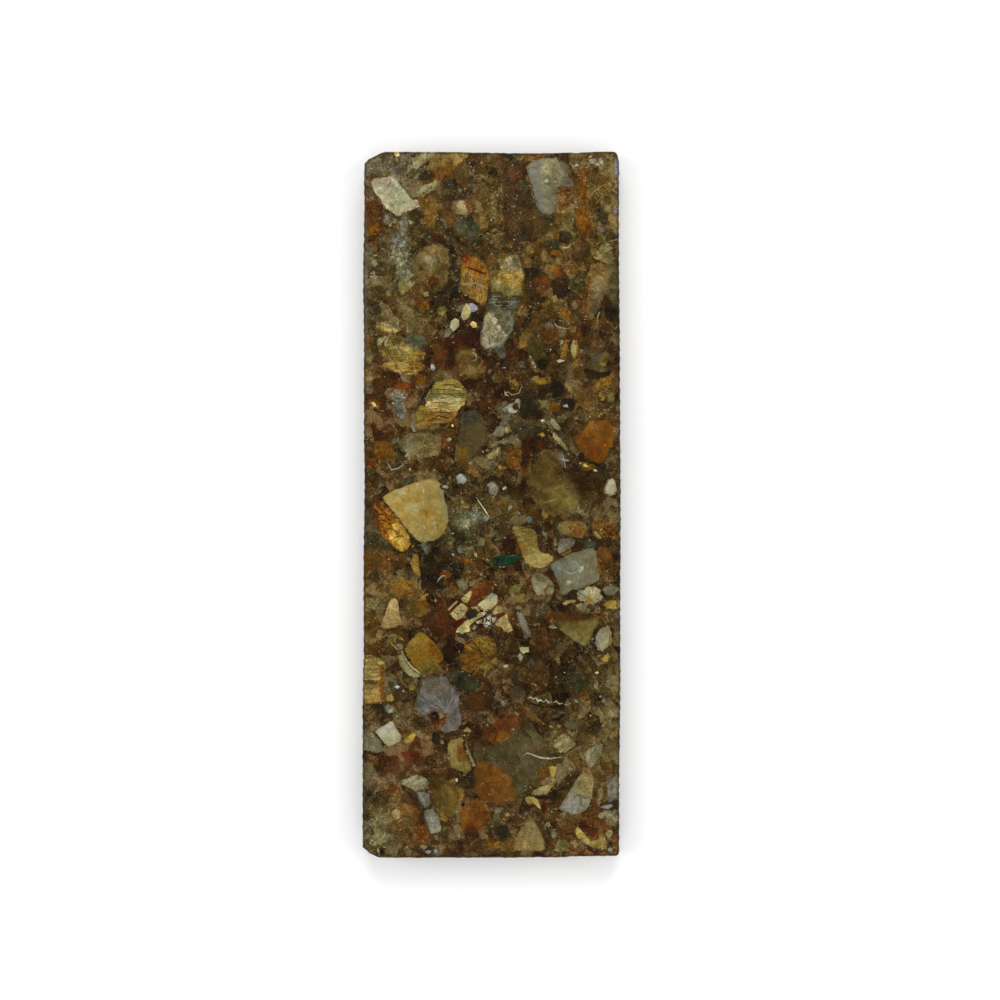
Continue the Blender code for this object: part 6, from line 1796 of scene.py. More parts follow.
def sink_face(points, face_points, faces, paint):
    """Lowers the sawn face's points: the matrix under the chips, the seams, the rough strip, the pits."""
    shown = np.zeros(len(points))
    np.maximum.at(shown, faces, paint.cover)
    spots = points[face_points]
    solid = smoothstep(0.3, 0.8, shown[face_points])
    grain = 0.5 + 0.5 * noise_at(spots, 1.7) + 0.5 * noise_at(spots, 0.6, 12.0)
    sink = MATRIX_SINK * (1 - solid) + CHIP_SINK * solid + MATRIX_GRAIN * grain * (1 - 0.75 * solid)
    nearest = np.ones(len(points))
    np.minimum.at(nearest, faces, paint.seam)
    groove = np.clip(1 - nearest[face_points] / SEAM_HALF_WIDTH, 0, 1)
    sink += SEAM_DEPTH * groove * (0.5 + 0.5 * noise_at(spots, 0.5, 40.0))
    strip_x = on_face(STRIP_EDGE[0], 0)[0]
    strip_low = on_face(0, STRIP_EDGE[2])[1]
    strip_high = on_face(0, STRIP_EDGE[1])[1]
    in_strip = (smoothstep(strip_x + 0.1, strip_x - 0.3, spots[:, 0])
                * smoothstep(strip_low - 3, strip_low, spots[:, 1])
                * smoothstep(strip_high + 3, strip_high, spots[:, 1]))
    strip_grain = STRIP_GRAIN * 0.5 * (1 + noise_at(spots, 1.4, 70.0)) * (1 - 0.5 * solid)
    sink += in_strip * (STRIP_SINK + strip_grain)
    for x, y, radius, depth in FACE_PITS:
        away = np.hypot(spots[:, 0] - x, spots[:, 1] - y) / radius
        sink = np.maximum(sink, depth * np.clip(1 - away ** 2.6, 0, 1))
    points[face_points, 2] = THICK - np.maximum(sink, 0.0)


def write_tones(mesh, paint):
    """Three tones for each corner. Their fourth values are the cover, the bands and the specks."""
    for channel, name in enumerate(("tone_main", "tone_second", "tone_accent")):
        values = np.ones((len(paint.triangles), 3, 4))
        values[:, :, :3] = paint.tones[:, :, channel]
        values[:, :, 3] = (paint.cover, paint.style[:, :, 0], paint.style[:, :, 1])[channel]
        layer = mesh.color_attributes.new(name, "FLOAT_COLOR", "CORNER")
        layer.data.foreach_set("color", values.astype(np.float32).ravel())


def write_places(mesh, paint, pieces, owner):
    """Where each corner lies in its own chip, along and across its bands, and the chip's form and
    style."""
    middles = np.zeros((len(pieces) + 1, 2))
    leans = np.zeros(len(pieces) + 1)
    sizes = np.ones(len(pieces) + 1)
    forms = np.zeros((len(pieces) + 1, 3))
    for number, piece in enumerate(pieces):
        middles[number] = on_face(*piece["middle"]) if piece["middle"] else piece["outline"].mean(axis=0)
        leans[number] = math.radians(piece["lean"])
        sizes[number] = float(np.ptp(piece["outline"], axis=0).max()) / 2
        forms[number] = (piece["pitch"], piece["core"], (number * 7.31) % 50)
    offset = paint.spots - middles[owner][:, None, :]
    cosine = np.cos(leans[owner])[:, None]
    sine = np.sin(leans[owner])[:, None]
    place = np.zeros((len(owner), 3, 3))
    place[:, :, 0] = offset[:, :, 0] * cosine + offset[:, :, 1] * sine
    place[:, :, 1] = -offset[:, :, 0] * sine + offset[:, :, 1] * cosine
    place[:, :, 2] = sizes[owner][:, None]
    form = np.repeat(forms[owner][:, None, :], 3, axis=1)
    vectors = {"chip_place": place, "chip_form": form, "chip_style": paint.style[:, :, 2:5]}
    for name, values in vectors.items():
        layer = mesh.attributes.new(name, "FLOAT_VECTOR", "CORNER")
        layer.data.foreach_set("vector", values.astype(np.float32).ravel())


def write_edges(mesh, paint, rim):
    """How far each corner is from the nearest seam, and each point from the slab's rim."""
    layer = mesh.attributes.new("seam", "FLOAT", "CORNER")
    layer.data.foreach_set("value", paint.seam.astype(np.float32).ravel())
    layer = mesh.attributes.new("rim", "FLOAT", "POINT")
    layer.data.foreach_set("value", rim.astype(np.float32))


def write_ground(mesh, spots):
    """The matrix's tone at each point, blended from the places where it is given."""
    weight = np.full(len(spots), 1e-4)
    tones = np.outer(weight, (*tone("4a3a20"), 0.5))
    for (x, y), reach, colour in GROUNDS:
        here = np.exp(-(np.hypot(spots[:, 0] - x, spots[:, 1] - y) / reach) ** 2)
        tones += np.outer(here, colour)
        weight += here
    tones /= weight[:, None]
    layer = mesh.color_attributes.new("ground", "FLOAT_COLOR", "POINT")
    layer.data.foreach_set("color", tones.astype(np.float32).ravel())


def build_stone():
    """The slab as one closed mesh in metres, with what its faces show kept in attributes."""
    rng = random.Random(53)
    pieces, large = prepare_pieces()
    crisp = [piece for piece in pieces if piece["soft"] <= CRISP]
    band, inward = rough_side()
    front_rim = rim_loop(band, THICK)
    back_rim = rim_loop(band, 0.0)
    band.verts.index_update()

    points = [np.array([vert.co[:] for vert in band.verts])]
    faces = [np.array([[vert.index for vert in face.verts] for face in band.faces])]
    aside = [np.array([inward[vert][:2] for vert in band.verts])]
    count = len(band.verts)
    kinds = [np.zeros(count)]
    for rim, step, outlines, pits, height, kind in (
            (front_rim, FACE_STEP, [piece["outline"] for piece in crisp], FACE_PITS, THICK, 1),
            (back_rim, BACK_STEP, [-piece["outline"][::3] for piece in large], (), 0.0, 2)):
        flat, triangles, in_rim = fill_cap([vert.co[:2] for vert in rim], step, outlines, pits, rng)
        fresh = np.nonzero(in_rim < 0)[0]
        index = np.zeros(len(flat), int)
        index[fresh] = count + np.arange(len(fresh))
        held = np.nonzero(in_rim >= 0)[0]
        index[held] = [rim[at].index for at in in_rim[held]]
        points.append(np.column_stack([flat[fresh], np.full(len(fresh), height)]))
        aside.append(np.zeros((len(fresh), 2)))
        kinds.append(np.full(len(fresh), kind))
        count += len(fresh)
        corners = flat[triangles]
        first = corners[:, 1] - corners[:, 0]
        second = corners[:, 2] - corners[:, 0]
        turned = (first[:, 0] * second[:, 1] - first[:, 1] * second[:, 0] < 0) == (kind == 1)
        triangles[turned] = triangles[turned][:, ::-1]
        faces.append(index[triangles])
    rim_line = np.array([vert.co[:2] for vert in front_rim])
    band.free()
    points = np.concatenate(points)
    faces = np.concatenate(faces)
    aside = np.concatenate(aside)
    kinds = np.concatenate(kinds)

    paint = Paint(faces)
    level = THICK - points[:, 2]
    level[kinds == 1] = 0
    shift = noise_at(points, 0.8, 4.0) * 0.35
    shift[kinds != 0] = 0
    front_spots = points[:, :2] + aside * (SKIN_INSET + SKIN_LEAN * level + shift)[:, None]
    back_spots = -(points[:, :2] + aside * (SKIN_INSET + SKIN_LEAN * (THICK - level) + shift)[:, None])
    chips = [piece for piece in pieces if not piece["name"].startswith("crumb")]
    paint.lay(chips, back_spots, points[:, 2])
    back_owner = paint.owner.copy()
    crumbs = len(pieces) - len(CHIPS)
    back_owner[back_owner >= 0] += crumbs
    paint.owner[:] = -1
    paint.lay(pieces, front_spots, level)
    owner = np.where(paint.owner >= 0, paint.owner, back_owner)

    sink_face(points, np.nonzero(kinds == 1)[0], faces, paint)
    back_points = np.nonzero(kinds == 2)[0]
    lift = 0.02 + 0.02 * noise_at(points[back_points], 0.7, 20.0)
    points[back_points, 2] = np.maximum(lift, 0)

    mesh = bpy.data.meshes.new("sawn_coral_slab")
    mesh.from_pydata((points * MM).tolist(), [], faces.tolist())
    write_tones(mesh, paint)
    write_places(mesh, paint, pieces, owner)
    rim = THICK - points[:, 2]
    rim[kinds == 1] = distance_to_outline(points[kinds == 1][:, :2], rim_line)
    write_edges(mesh, paint, rim)
    write_ground(mesh, front_spots)
    mesh.shade_smooth()
    mesh.set_sharp_from_angle(angle=SHARP_EDGE)
    mesh.validate()
    stone = bpy.data.objects.new("sawn_coral_slab", mesh)
    bpy.context.collection.objects.link(stone)
    print("stone triangles", len(faces))
    return stone


class Graph:
    """A material's nodes, made by short calls."""

    def __init__(self, name):
        self.material = bpy.data.materials.new(name)
        self.material.use_nodes = True
        self.tree = self.material.node_tree
        self.tree.nodes.clear()

    def feed(self, socket, value):
        if isinstance(value, bpy.types.NodeSocket):
            self.tree.links.new(value, socket)
        elif value is not None:
            socket.default_value = value

    def node(self, kind, inputs=None, **settings):
        made = self.tree.nodes.new("ShaderNode" + kind)
        for name, value in settings.items():
            setattr(made, name, value)
        for name, value in (inputs or {}).items():
            self.feed(made.inputs[name], value)
        return made

    def attribute(self, name):
        return self.node("Attribute", attribute_name=name, attribute_type="GEOMETRY")

    def math(self, operation, first, second=None, clamp=False):
        inputs = {0: first} if second is None else {0: first, 1: second}
        return self.node("Math", inputs, operation=operation, use_clamp=clamp).outputs[0]

    def times(self, first, second, clamp=False):
        return self.math("MULTIPLY", first, second, clamp)

    def plus(self, first, second, clamp=False):
        return self.math("ADD", first, second, clamp)

    def minus(self, first, second, clamp=False):
        return self.math("SUBTRACT", first, second, clamp)

    def over(self, first, second):
        return self.math("DIVIDE", first, second)

    def power(self, first, second):
        return self.math("POWER", first, second)

    def least(self, first, second):
        return self.math("MINIMUM", first, second)

    def most(self, first, second):
        return self.math("MAXIMUM", first, second)

    def vector(self, operation, first, second=None, scale=None):
        made = self.node("VectorMath", {0: first}, operation=operation)
        if second is not None:
            self.feed(made.inputs[1], second)
        if scale is not None:
            self.feed(made.inputs["Scale"], scale)
        return made.outputs["Value"] if operation in ("LENGTH", "DISTANCE") else made.outputs["Vector"]

    def turned(self, vector, angle):
        """A vector turned about Z."""
        inputs = {"Vector": vector, "Angle": angle}
        return self.node("VectorRotate", inputs, rotation_type="Z_AXIS").outputs["Vector"]

    def step(self, value, low, high):
        """0 below `low`, 1 above `high`, smooth between."""
        inputs = {"Value": value, "From Min": low, "From Max": high}
        return self.node("MapRange", inputs, interpolation_type="SMOOTHSTEP").outputs["Result"]

    def mix(self, part, under, over, blend="MIX"):
        made = self.node("Mix", data_type="RGBA", blend_type=blend)
        self.feed(made.inputs["Factor"], part)
        self.feed(made.inputs[6], under)
        self.feed(made.inputs[7], over)
        return made.outputs[2]

    def noise(self, place, scale, detail=2.0, roughness=0.55, distortion=0.0):
        inputs = {"Vector": place, "Scale": scale, "Detail": detail, "Roughness": roughness,
                  "Distortion": distortion}
        return self.node("TexNoise", inputs)

    def cells(self, place, scale, feature="F1"):
        return self.node("TexVoronoi", {"Vector": place, "Scale": scale}, feature=feature)

    def palette(self, value, colours, between="CONSTANT"):
        made = self.node("ValToRGB", {"Fac": value})
        made.color_ramp.interpolation = between
        stops = made.color_ramp.elements
        for at, text in enumerate(colours):
            if at >= len(stops):
                stops.new(at / len(colours))
            stops[at].position = at / len(colours)
            stops[at].color = (*tone(text), 1)
        return made.outputs["Color"]


# The stone is darker than it looks, because the studio light makes the pale floor white.
STONE_DIM = 0.80
MATRIX_LIGHT = 0.90
# What the darkest and the lighter tones are multiplied by: deep shade in this rock is amber
DEEP_TINT = (1.03, 0.98, 0.50, 1)
LIGHT_TINT = (0.985, 1.015, 1.05, 1)
STAIN_TINT = (0.76, 0.66, 0.50, 1)
# How strongly these show over what they lie on, from 0 to 1
STAIN_SHARE = 0.35
CRACK_SHARE = 0.45
VEIN_SHARE = 0.5
SEAM_SHARE = 0.42
# The next share is for the painted shade along the rim
RIM_SHADE_SHARE = 0.6
BRIGHT_MATRIX_SHARE = 0.3
# Tones of the matrix's brightest parts, a cup's shadow, cracks, specks and painted glints on chips,
# seams, and the painted shade along the rim
BRIGHT_MATRIX = "8c8259"
CUP_SHADOW = "2a2014"
CRACK_TONE = "3c2a14"
SPECK_AND_GLINT_TONE = "b3ac90"
SEAM_TONE = "1c140b"
RIM_SHADE_TONE = "1b160e"
# The polish of the sawn face: wet-looking, and uneven
SMOOTHEST = 0.18
ROUGHEST = 0.34
SPECULAR = 0.22
BUMP_STRENGTH = 0.35
BUMP_DEPTH = 0.00005        # metres
# Tints of the fragments in the matrix, round a middle brightness
TINTS = ("bcb8a8", "c6b27c", "b2b890", "aab6b8", "c6b26e", "c4aa80", "bab8ac", "caa26a", "b0b8a0",
         "c0b692")
# Tints of the clouds that run through it: amber, olive, rust, slate
CLOUD_TINTS = ("c49c68", "b9b9b9", "acb084", "bcb4a0", "a4b0b6", "b9b9b9", "c4ae78", "cc9a78")

# Tones of the light specks in the matrix, part pale crumbs and part painted glints: bone white, grey,
# cream, gold
SPECK_AND_GLINT_TONES = ("b9b49c", "8f958c", "aaa27e", "a5823c", "b5b0a4", "9a8a5c")


def murk(graph, place, warped, ragged, busy):
    """The bound rock between the chips: angular fragments of several sizes, each with its own brightness,
    tint, slope and stripes, under soft clouds. Returns how much brighter than the ground each place is,
    and its tint."""
    gain = 1.0
    tint = None
    for scale, detail, strength, where in ((0.20, 2, 2.2, place), (0.9, 4, 3.4, warped)):
        cloud = graph.noise(where, scale, detail, 0.58, 0.7)
        power = graph.times(graph.minus(cloud.outputs["Fac"], 0.5), strength)
        gain = graph.times(gain, graph.power(2.0, power))
        hues = graph.node("SeparateColor", {"Color": cloud.outputs["Color"]})
        hue = graph.palette(graph.step(hues.outputs["Green"], 0.30, 0.70), CLOUD_TINTS, "LINEAR")
        tint = hue if tint is None else graph.mix(0.35, tint, hue)
    slant = graph.turned(place, 0.9)
    for scale, steps, share, shift, shape, weight, slope in (
            (0.25, 1.1, 0.15, 11.0, (1.0, 0.62, 1.0), 0.75, 0.50),
            (0.50, 1.3, 0.25, 23.0, (0.68, 1.0, 1.0), 0.70, 0.75),
            (1.00, 1.4, 0.55, 31.0, (1.0, 0.70, 1.0), 0.60, 0.90),
            (2.20, 1.4, 0.70, 37.0, (1.0, 1.0, 1.0), 0.50, 0.0)):
        crook = graph.vector("SCALE", graph.vector("SUBTRACT", ragged, place), scale=0.22)
        source = graph.vector("MULTIPLY", graph.vector("ADD", slant, crook), shape)
        source = graph.vector("ADD", source, (shift, shift, shift))
        cell = graph.cells(source, scale)
        values = graph.node("SeparateColor", {"Color": cell.outputs["Color"]})
        red, green, blue = values.outputs
        picked = graph.step(green, share, share + 0.05)
        if scale > 0.9:
            picked = graph.times(picked, busy)
        power = graph.times(graph.minus(red, 0.5), graph.times(picked, steps * 2))
        if slope:
            local = graph.vector("SUBTRACT", source, cell.outputs["Position"])
            angle = graph.times(red, 40.0)
            turned = graph.turned(local, angle)
            across = graph.node("SeparateXYZ", {"Vector": turned}).outputs["X"]
            tilt = graph.times(across, slope * scale * 2)
            power = graph.plus(power, graph.times(tilt, picked))
            stretched = graph.vector("ADD", graph.vector("MULTIPLY", turned, (2.6, 0.4, 1.0)),
                                     cell.outputs["Color"])
            stripes = graph.noise(stretched, 1.0, 2, 0.6).outputs["Fac"]
            stripes = graph.times(graph.minus(stripes, 0.5), 1.7)
            power = graph.plus(power, graph.times(stripes, picked))
        gain = graph.times(gain, graph.power(2.0, power))
        hue = graph.palette(blue, TINTS)
        tint = graph.mix(graph.times(picked, weight), tint, hue)
        if 0.3 < scale < 2:
            to_edge = graph.cells(source, scale, "DISTANCE_TO_EDGE").outputs["Distance"]
            width = graph.noise(place, 0.7, 2).outputs["Fac"]
            width = graph.times(graph.step(width, 0.44, 0.70), 0.10)
            gap = graph.step(to_edge, width, graph.times(width, 0.2))
            gap = graph.times(graph.times(gap, picked), 0.5)
            gain = graph.times(gain, graph.minus(1.0, gap))
    gain = graph.over(gain, graph.plus(graph.times(gain, 0.36), 0.64))
    return gain, tint


def filaments(graph, place, scale, width, lower, upper):
    """Thin curled lines, in the regions that a slow noise picks."""
    swirl = graph.noise(place, scale, 1.5, 0.5, 1.2).outputs["Fac"]
    ridge = graph.math("ABSOLUTE", graph.minus(swirl, 0.5))
    where = graph.step(graph.noise(place, 0.45, 2).outputs["Fac"], lower, upper)
    return graph.times(graph.step(ridge, width, width * 0.3), where)


def scaled(graph, colour, factor):
    """A colour times a number."""
    grey = graph.node("CombineColor", {"Red": factor, "Green": factor, "Blue": factor}).outputs["Color"]
    return graph.mix(1.0, colour, grey, "MULTIPLY")


def with_fibres(graph, matrix, ragged, warped):
    """The matrix with its curled light and dark fibres."""
    for source, scale, width, lower, upper, strength, text in (
            (ragged, 0.5, 0.012, 0.46, 0.60, 0.55, "a89c74"),
            (warped, 0.9, 0.014, 0.48, 0.62, 0.4, "9c8450"),
            (warped, 0.7, 0.018, 0.42, 0.54, 0.6, "180f08")):
        fibre = filaments(graph, source, scale, width, lower, upper)
        matrix = graph.mix(graph.times(fibre, strength), matrix, (*tone(text), 1))
    return matrix


def with_specks_and_glints(graph, matrix, place, small_wander, busy):
    """The matrix with its light specks, part pale crumbs and part painted glints, and how light they make
    each place.
    """
    crowd = graph.step(graph.noise(place, 0.16, 2).outputs["Fac"], 0.40, 0.62)
    crowd = graph.times(graph.plus(crowd, 0.2), graph.times(busy, busy))
    speck_and_glint_light = 0.0
    for shape, often in (((1.9, 1.9, 1.9), 0.20), ((1.1, 3.4, 1.0), 0.22), ((2.8, 2.8, 2.8), 0.24)):
        where = graph.vector("MULTIPLY", graph.vector("ADD", place, small_wander), shape)
        speck_and_glint_cell = graph.cells(where, 1.0)
        values = graph.node("SeparateColor", {"Color": speck_and_glint_cell.outputs["Color"]})
        size = graph.times(values.outputs["Green"], 0.30)
        rare = graph.minus(0.99, graph.times(crowd, often))
        light = graph.times(graph.math("GREATER_THAN", values.outputs["Red"], rare),
                            graph.step(speck_and_glint_cell.outputs["Distance"], graph.plus(size, 0.08), size))
        light = graph.times(light, graph.plus(values.outputs["Blue"], 0.15), clamp=True)
        speck_and_glint_light = graph.most(speck_and_glint_light, light)
        speck_and_glint_tone = graph.palette(values.outputs["Green"], SPECK_AND_GLINT_TONES)
        matrix = graph.mix(light, matrix, speck_and_glint_tone)
    return matrix, speck_and_glint_light


def with_bands(graph, colour, along, pitch, seed, small_wander, second, accent):
    """A chip's colour with its growth bands."""
    stretched = graph.node("CombineXYZ", {"X": graph.times(along.outputs["X"], 0.16),
                                          "Y": graph.times(along.outputs["Y"], pitch),
                                          "Z": seed}).outputs["Vector"]
    waver = graph.vector("SCALE", small_wander, scale=0.5)
    band = graph.noise(graph.vector("ADD", stretched, waver), 1.6, 3, 0.6).outputs["Fac"]
    colour = graph.mix(graph.times(graph.step(band, 0.50, 0.60), second.outputs["Alpha"]), colour,
                       accent.outputs["Color"])
    shade = graph.times(graph.step(band, 0.46, 0.36), second.outputs["Alpha"])
    colour = graph.mix(graph.times(shade, 0.5), colour, second.outputs["Color"], "MULTIPLY")
    return colour


def with_dots(graph, colour, own, place, small_wander, accent):
    """A chip's colour with its dots."""
    jitter = graph.vector("SCALE", small_wander, scale=0.45)
    dots = graph.cells(graph.vector("ADD", own, graph.vector("ADD", place, jitter)), 1.9)
    dot_values = graph.node("SeparateColor", {"Color": dots.outputs["Color"]})
    dot = graph.times(graph.step(dots.outputs["Distance"], 0.42, 0.26),
                      graph.step(dot_values.outputs["Red"], 0.45, 0.5))
    colour = graph.mix(graph.times(dot, accent.outputs["Alpha"]), colour, accent.outputs["Color"])
    return colour


def with_septa(graph, colour, along, core, rays, accent):
    """A chip's colour with the light and dark septa of a coral cup, outside its core."""
    flat_spot = graph.node("CombineXYZ", {"X": along.outputs["X"],
                                          "Y": along.outputs["Y"]}).outputs["Vector"]
    radius = graph.vector("LENGTH", flat_spot)
    around = graph.vector("SCALE", graph.vector("NORMALIZE", flat_spot), scale=3.1)
    outward = graph.node("CombineXYZ", {"Z": graph.times(radius, 0.25)}).outputs["Vector"]
    spokes = graph.vector("ADD", around, outward)
    septum = graph.noise(spokes, 1.7, 2, 0.5).outputs["Fac"]
    light_ray = graph.times(graph.step(septum, 0.51, 0.57), rays)
    dark_ray = graph.times(graph.step(septum, 0.49, 0.43), rays)
    outside_core = graph.step(radius, graph.times(core, 0.6), graph.plus(core, 0.4))
    colour = graph.mix(graph.times(light_ray, graph.times(outside_core, 0.7)), colour,
                       accent.outputs["Color"])
    shadowed = graph.mix(0.6, colour, (*tone(CUP_SHADOW), 1))
    colour = graph.mix(graph.times(dark_ray, graph.times(outside_core, 0.55)), colour, shadowed)
    return colour


def with_cracks(graph, colour, seeded, small_wander):
    """A chip's colour with its dark cracks and light veins."""
    crack = graph.cells(graph.vector("ADD", seeded, small_wander), 0.36, "DISTANCE_TO_EDGE")
    crack = crack.outputs["Distance"]
    cracked = graph.step(graph.noise(seeded, 0.5, 1).outputs["Fac"], 0.46, 0.60)
    crack = graph.times(graph.step(crack, 0.030, 0.008), graph.times(cracked, CRACK_SHARE))
    colour = graph.mix(crack, colour, (*tone(CRACK_TONE), 1))
    vein = filaments(graph, seeded, 0.7, 0.014, 0.44, 0.56)
    pale = graph.node("HueSaturation", {"Saturation": 0.6, "Value": 1.8,
                                        "Color": colour}).outputs["Color"]
    colour = graph.mix(graph.times(vein, VEIN_SHARE), colour, pale)
    return colour


def stone_material():
    """The rock's colour, polish and fine relief, from what the mesh's attributes say of each place."""
    graph = Graph("fossil_coral")
    place = graph.vector("SCALE", graph.node("TexCoord").outputs["Object"], scale=1000.0)
    wander = graph.noise(place, 0.55, 3).outputs["Color"]
    wander = graph.vector("SCALE", graph.vector("SUBTRACT", wander, (0.5, 0.5, 0.5)), scale=3.2)
    warped = graph.vector("ADD", place, wander)
    small_wander = graph.noise(place, 2.2, 2).outputs["Color"]
    small_wander = graph.vector("SCALE", graph.vector("SUBTRACT", small_wander, (0.5, 0.5, 0.5)),
                                scale=0.9)
    ragged = graph.vector("ADD", warped, small_wander)
    fine = graph.noise(place, 3.2, 5, 0.72).outputs["Fac"]

    # The matrix: its tone by region, murky fragments in it, curled fibres, and light specks that are
    # partly painted glints
    ground_tone = graph.attribute("ground")
    busy = graph.plus(graph.times(ground_tone.outputs["Alpha"], 1.1), -0.05)
    busy = graph.times(busy, graph.step(graph.noise(place, 0.3, 2).outputs["Fac"], 0.25, 0.55))
    gain, tint = murk(graph, place, warped, ragged, busy)
    tinted = graph.mix(1.0, ground_tone.outputs["Color"], scaled(graph, tint, 2.0), "MULTIPLY")
    matrix = scaled(graph, tinted, graph.times(gain, MATRIX_LIGHT))
    bright = graph.times(graph.step(gain, 1.1, 2.0), BRIGHT_MATRIX_SHARE)
    matrix = graph.mix(bright, matrix, (*tone(BRIGHT_MATRIX), 1))
    matrix = with_fibres(graph, matrix, ragged, warped)
    matrix, speck_and_glint_light = with_specks_and_glints(graph, matrix, place, small_wander, busy)

    # A bound chip: two tones in clouds, bands, dots and the septa of a coral cup
    main = graph.attribute("tone_main")
    second = graph.attribute("tone_second")
    accent = graph.attribute("tone_accent")
    spot = graph.attribute("chip_place").outputs["Vector"]
    form = graph.node("SeparateXYZ", {"Vector": graph.attribute("chip_form").outputs["Vector"]})
    style = graph.node("SeparateXYZ", {"Vector": graph.attribute("chip_style").outputs["Vector"]})
    pitch, core, seed = form.outputs
    rays, grit, soft = style.outputs
    seam = graph.attribute("seam").outputs["Fac"]
    own = graph.node("CombineXYZ", {"X": seed, "Y": seed}).outputs["Vector"]
    seeded = graph.vector("ADD", graph.vector("ADD", place, graph.vector("SCALE", wander, scale=0.6)),
                          own)
    cloud = graph.noise(seeded, 0.42, 3, 0.5, 0.5).outputs["Fac"]
    along = graph.node("SeparateXYZ", {"Vector": spot})
    slope = graph.plus(graph.times(along.outputs["X"], graph.math("COSINE", seed)),
                       graph.times(along.outputs["Y"], graph.math("SINE", seed)))
    slope = graph.over(slope, along.outputs["Z"])
    slope = graph.least(graph.most(slope, -1.0), 1.0)
    cloud = graph.plus(cloud, graph.times(slope, 0.10))
    colour = graph.mix(graph.step(cloud, 0.36, 0.62), main.outputs["Color"], second.outputs["Color"])
    patch = graph.noise(seeded, 1.1, 4, 0.6, 0.8).outputs["Fac"]
    colour = graph.mix(graph.times(graph.step(patch, 0.48, 0.72), 0.6), colour, accent.outputs["Color"])
    colour = with_bands(graph, colour, along, pitch, seed, small_wander, second, accent)
    colour = with_dots(graph, colour, own, place, small_wander, accent)
    colour = with_septa(graph, colour, along, core, rays, accent)

    # Cracks and light veins in a chip, its stained edge, its grain, and painted shade towards its edge
    murky = graph.math("LESS_THAN", soft, 0.01)
    colour = with_cracks(graph, colour, seeded, small_wander)
    torn = graph.minus(graph.noise(place, 2.4, 4, 0.65).outputs["Fac"], 0.5)
    border = graph.step(graph.plus(seam, graph.times(torn, 0.8)), 0.75, 0.05)
    stain = graph.mix(1.0, colour, STAIN_TINT, "MULTIPLY")
    stained = graph.step(graph.noise(place, 0.33, 2, 0.5, 0.3).outputs["Fac"], 0.36, 0.60)
    colour = graph.mix(graph.times(border, graph.times(stained, STAIN_SHARE)), colour, stain)
    grain = graph.times(graph.minus(fine, 0.5), graph.times(grit, 0.8))
    grain = graph.plus(grain, 1.0)
    grain = graph.times(grain, graph.power(2.0, graph.times(slope, -0.30)))
    swell = graph.noise(seeded, 0.75, 2, 0.5).outputs["Fac"]
    swell = graph.times(graph.minus(swell, 0.5), graph.plus(grit, 1.15))
    grain = graph.times(grain, graph.power(2.0, swell))
    # Painted shade: a chip darkens towards the nearest crisp outline, for a rounded look
    chip_edge_shade = graph.plus(graph.times(graph.step(seam, 0.0, 0.9), 0.14), 0.88)
    grain = graph.times(grain, chip_edge_shade)
    depth = graph.plus(graph.times(grit, 0.28), graph.times(murky, 0.40))
    grain = graph.times(grain, graph.power(gain, depth))
    chip_colour = scaled(graph, colour, grain)
    chip_colour = graph.node("HueSaturation", {"Saturation": 1.04, "Color": chip_colour}).outputs["Color"]
    murky_tint = graph.mix(1.0, chip_colour, scaled(graph, tint, 2.0), "MULTIPLY")
    murky_share = graph.plus(graph.times(murky, 0.35), 0.15)
    chip_colour = graph.mix(murky_share, chip_colour, murky_tint)
    # The matrix's light specks, partly painted glints, show over the chips too
    speck_and_glint_share = graph.plus(graph.times(murky, 0.7), 0.1)
    speck_and_glint_on_chip = graph.times(speck_and_glint_light, speck_and_glint_share)
    chip_colour = graph.mix(speck_and_glint_on_chip, chip_colour, (*tone(SPECK_AND_GLINT_TONE), 1))

    # The chip over the matrix, with a ragged edge and a dark seam
    cover = graph.plus(main.outputs["Alpha"], graph.times(torn, 0.9))
    cover = graph.step(cover, 0.30, 0.68)
    reach = graph.least(graph.plus(graph.times(soft, 1.6), 0.03), 0.98)
    edge = graph.plus(seam, graph.times(torn, graph.times(reach, 1.3)))
    bite = graph.step(graph.noise(place, 1.3, 3, 0.6).outputs["Fac"], 0.50, 0.72)
    edge = graph.minus(edge, graph.times(bite, graph.plus(reach, 0.10)))
    edge = graph.most(graph.step(edge, 0.0, reach), murky)
    edge = graph.most(edge, graph.math("GREATER_THAN", seam, 0.999))
    colour = graph.mix(graph.times(cover, edge), matrix, chip_colour)
    gap = graph.step(graph.noise(place, 0.5, 3).outputs["Fac"], 0.46, 0.64)
    gap = graph.plus(graph.times(gap, 0.26), 0.01)
    seam_line = graph.step(graph.plus(seam, graph.times(torn, 0.25)), gap, graph.times(gap, 0.2))
    colour = graph.mix(graph.times(seam_line, SEAM_SHARE), colour, (*tone(SEAM_TONE), 1))
    # Painted shade: a ragged dark line along the face's rim and the top of the sides, where the rounded
    # edge turns into shade
    rim = graph.plus(graph.attribute("rim").outputs["Fac"], graph.times(torn, 1.0))
    rim_shade = graph.times(graph.step(rim, 0.28, 0.05), RIM_SHADE_SHARE)
    colour = graph.mix(rim_shade, colour, (*tone(RIM_SHADE_TONE), 1))
    crisp = graph.noise(graph.vector("ADD", place, small_wander), 3.0, 2, 0.7).outputs["Fac"]
    crisp = graph.times(graph.minus(crisp, 0.5), graph.plus(graph.times(busy, 1.8), 2.1))
    dense = graph.minus(0.65, graph.times(grit, 1.3), clamp=True)
    dense = graph.times(graph.times(cover, edge), dense)
    crisp = graph.times(crisp, graph.minus(1.0, dense))
    colour = scaled(graph, colour, graph.power(2.0, crisp))
    depth_of_tone = graph.step(graph.node("RGBToBW", {"Color": colour}).outputs["Val"], 0.0, 0.12)
    colour = graph.mix(1.0, colour, graph.mix(depth_of_tone, DEEP_TINT, LIGHT_TINT), "MULTIPLY")
    dull = graph.node("HueSaturation", {"Saturation": 0.99, "Value": STONE_DIM, "Color": colour})

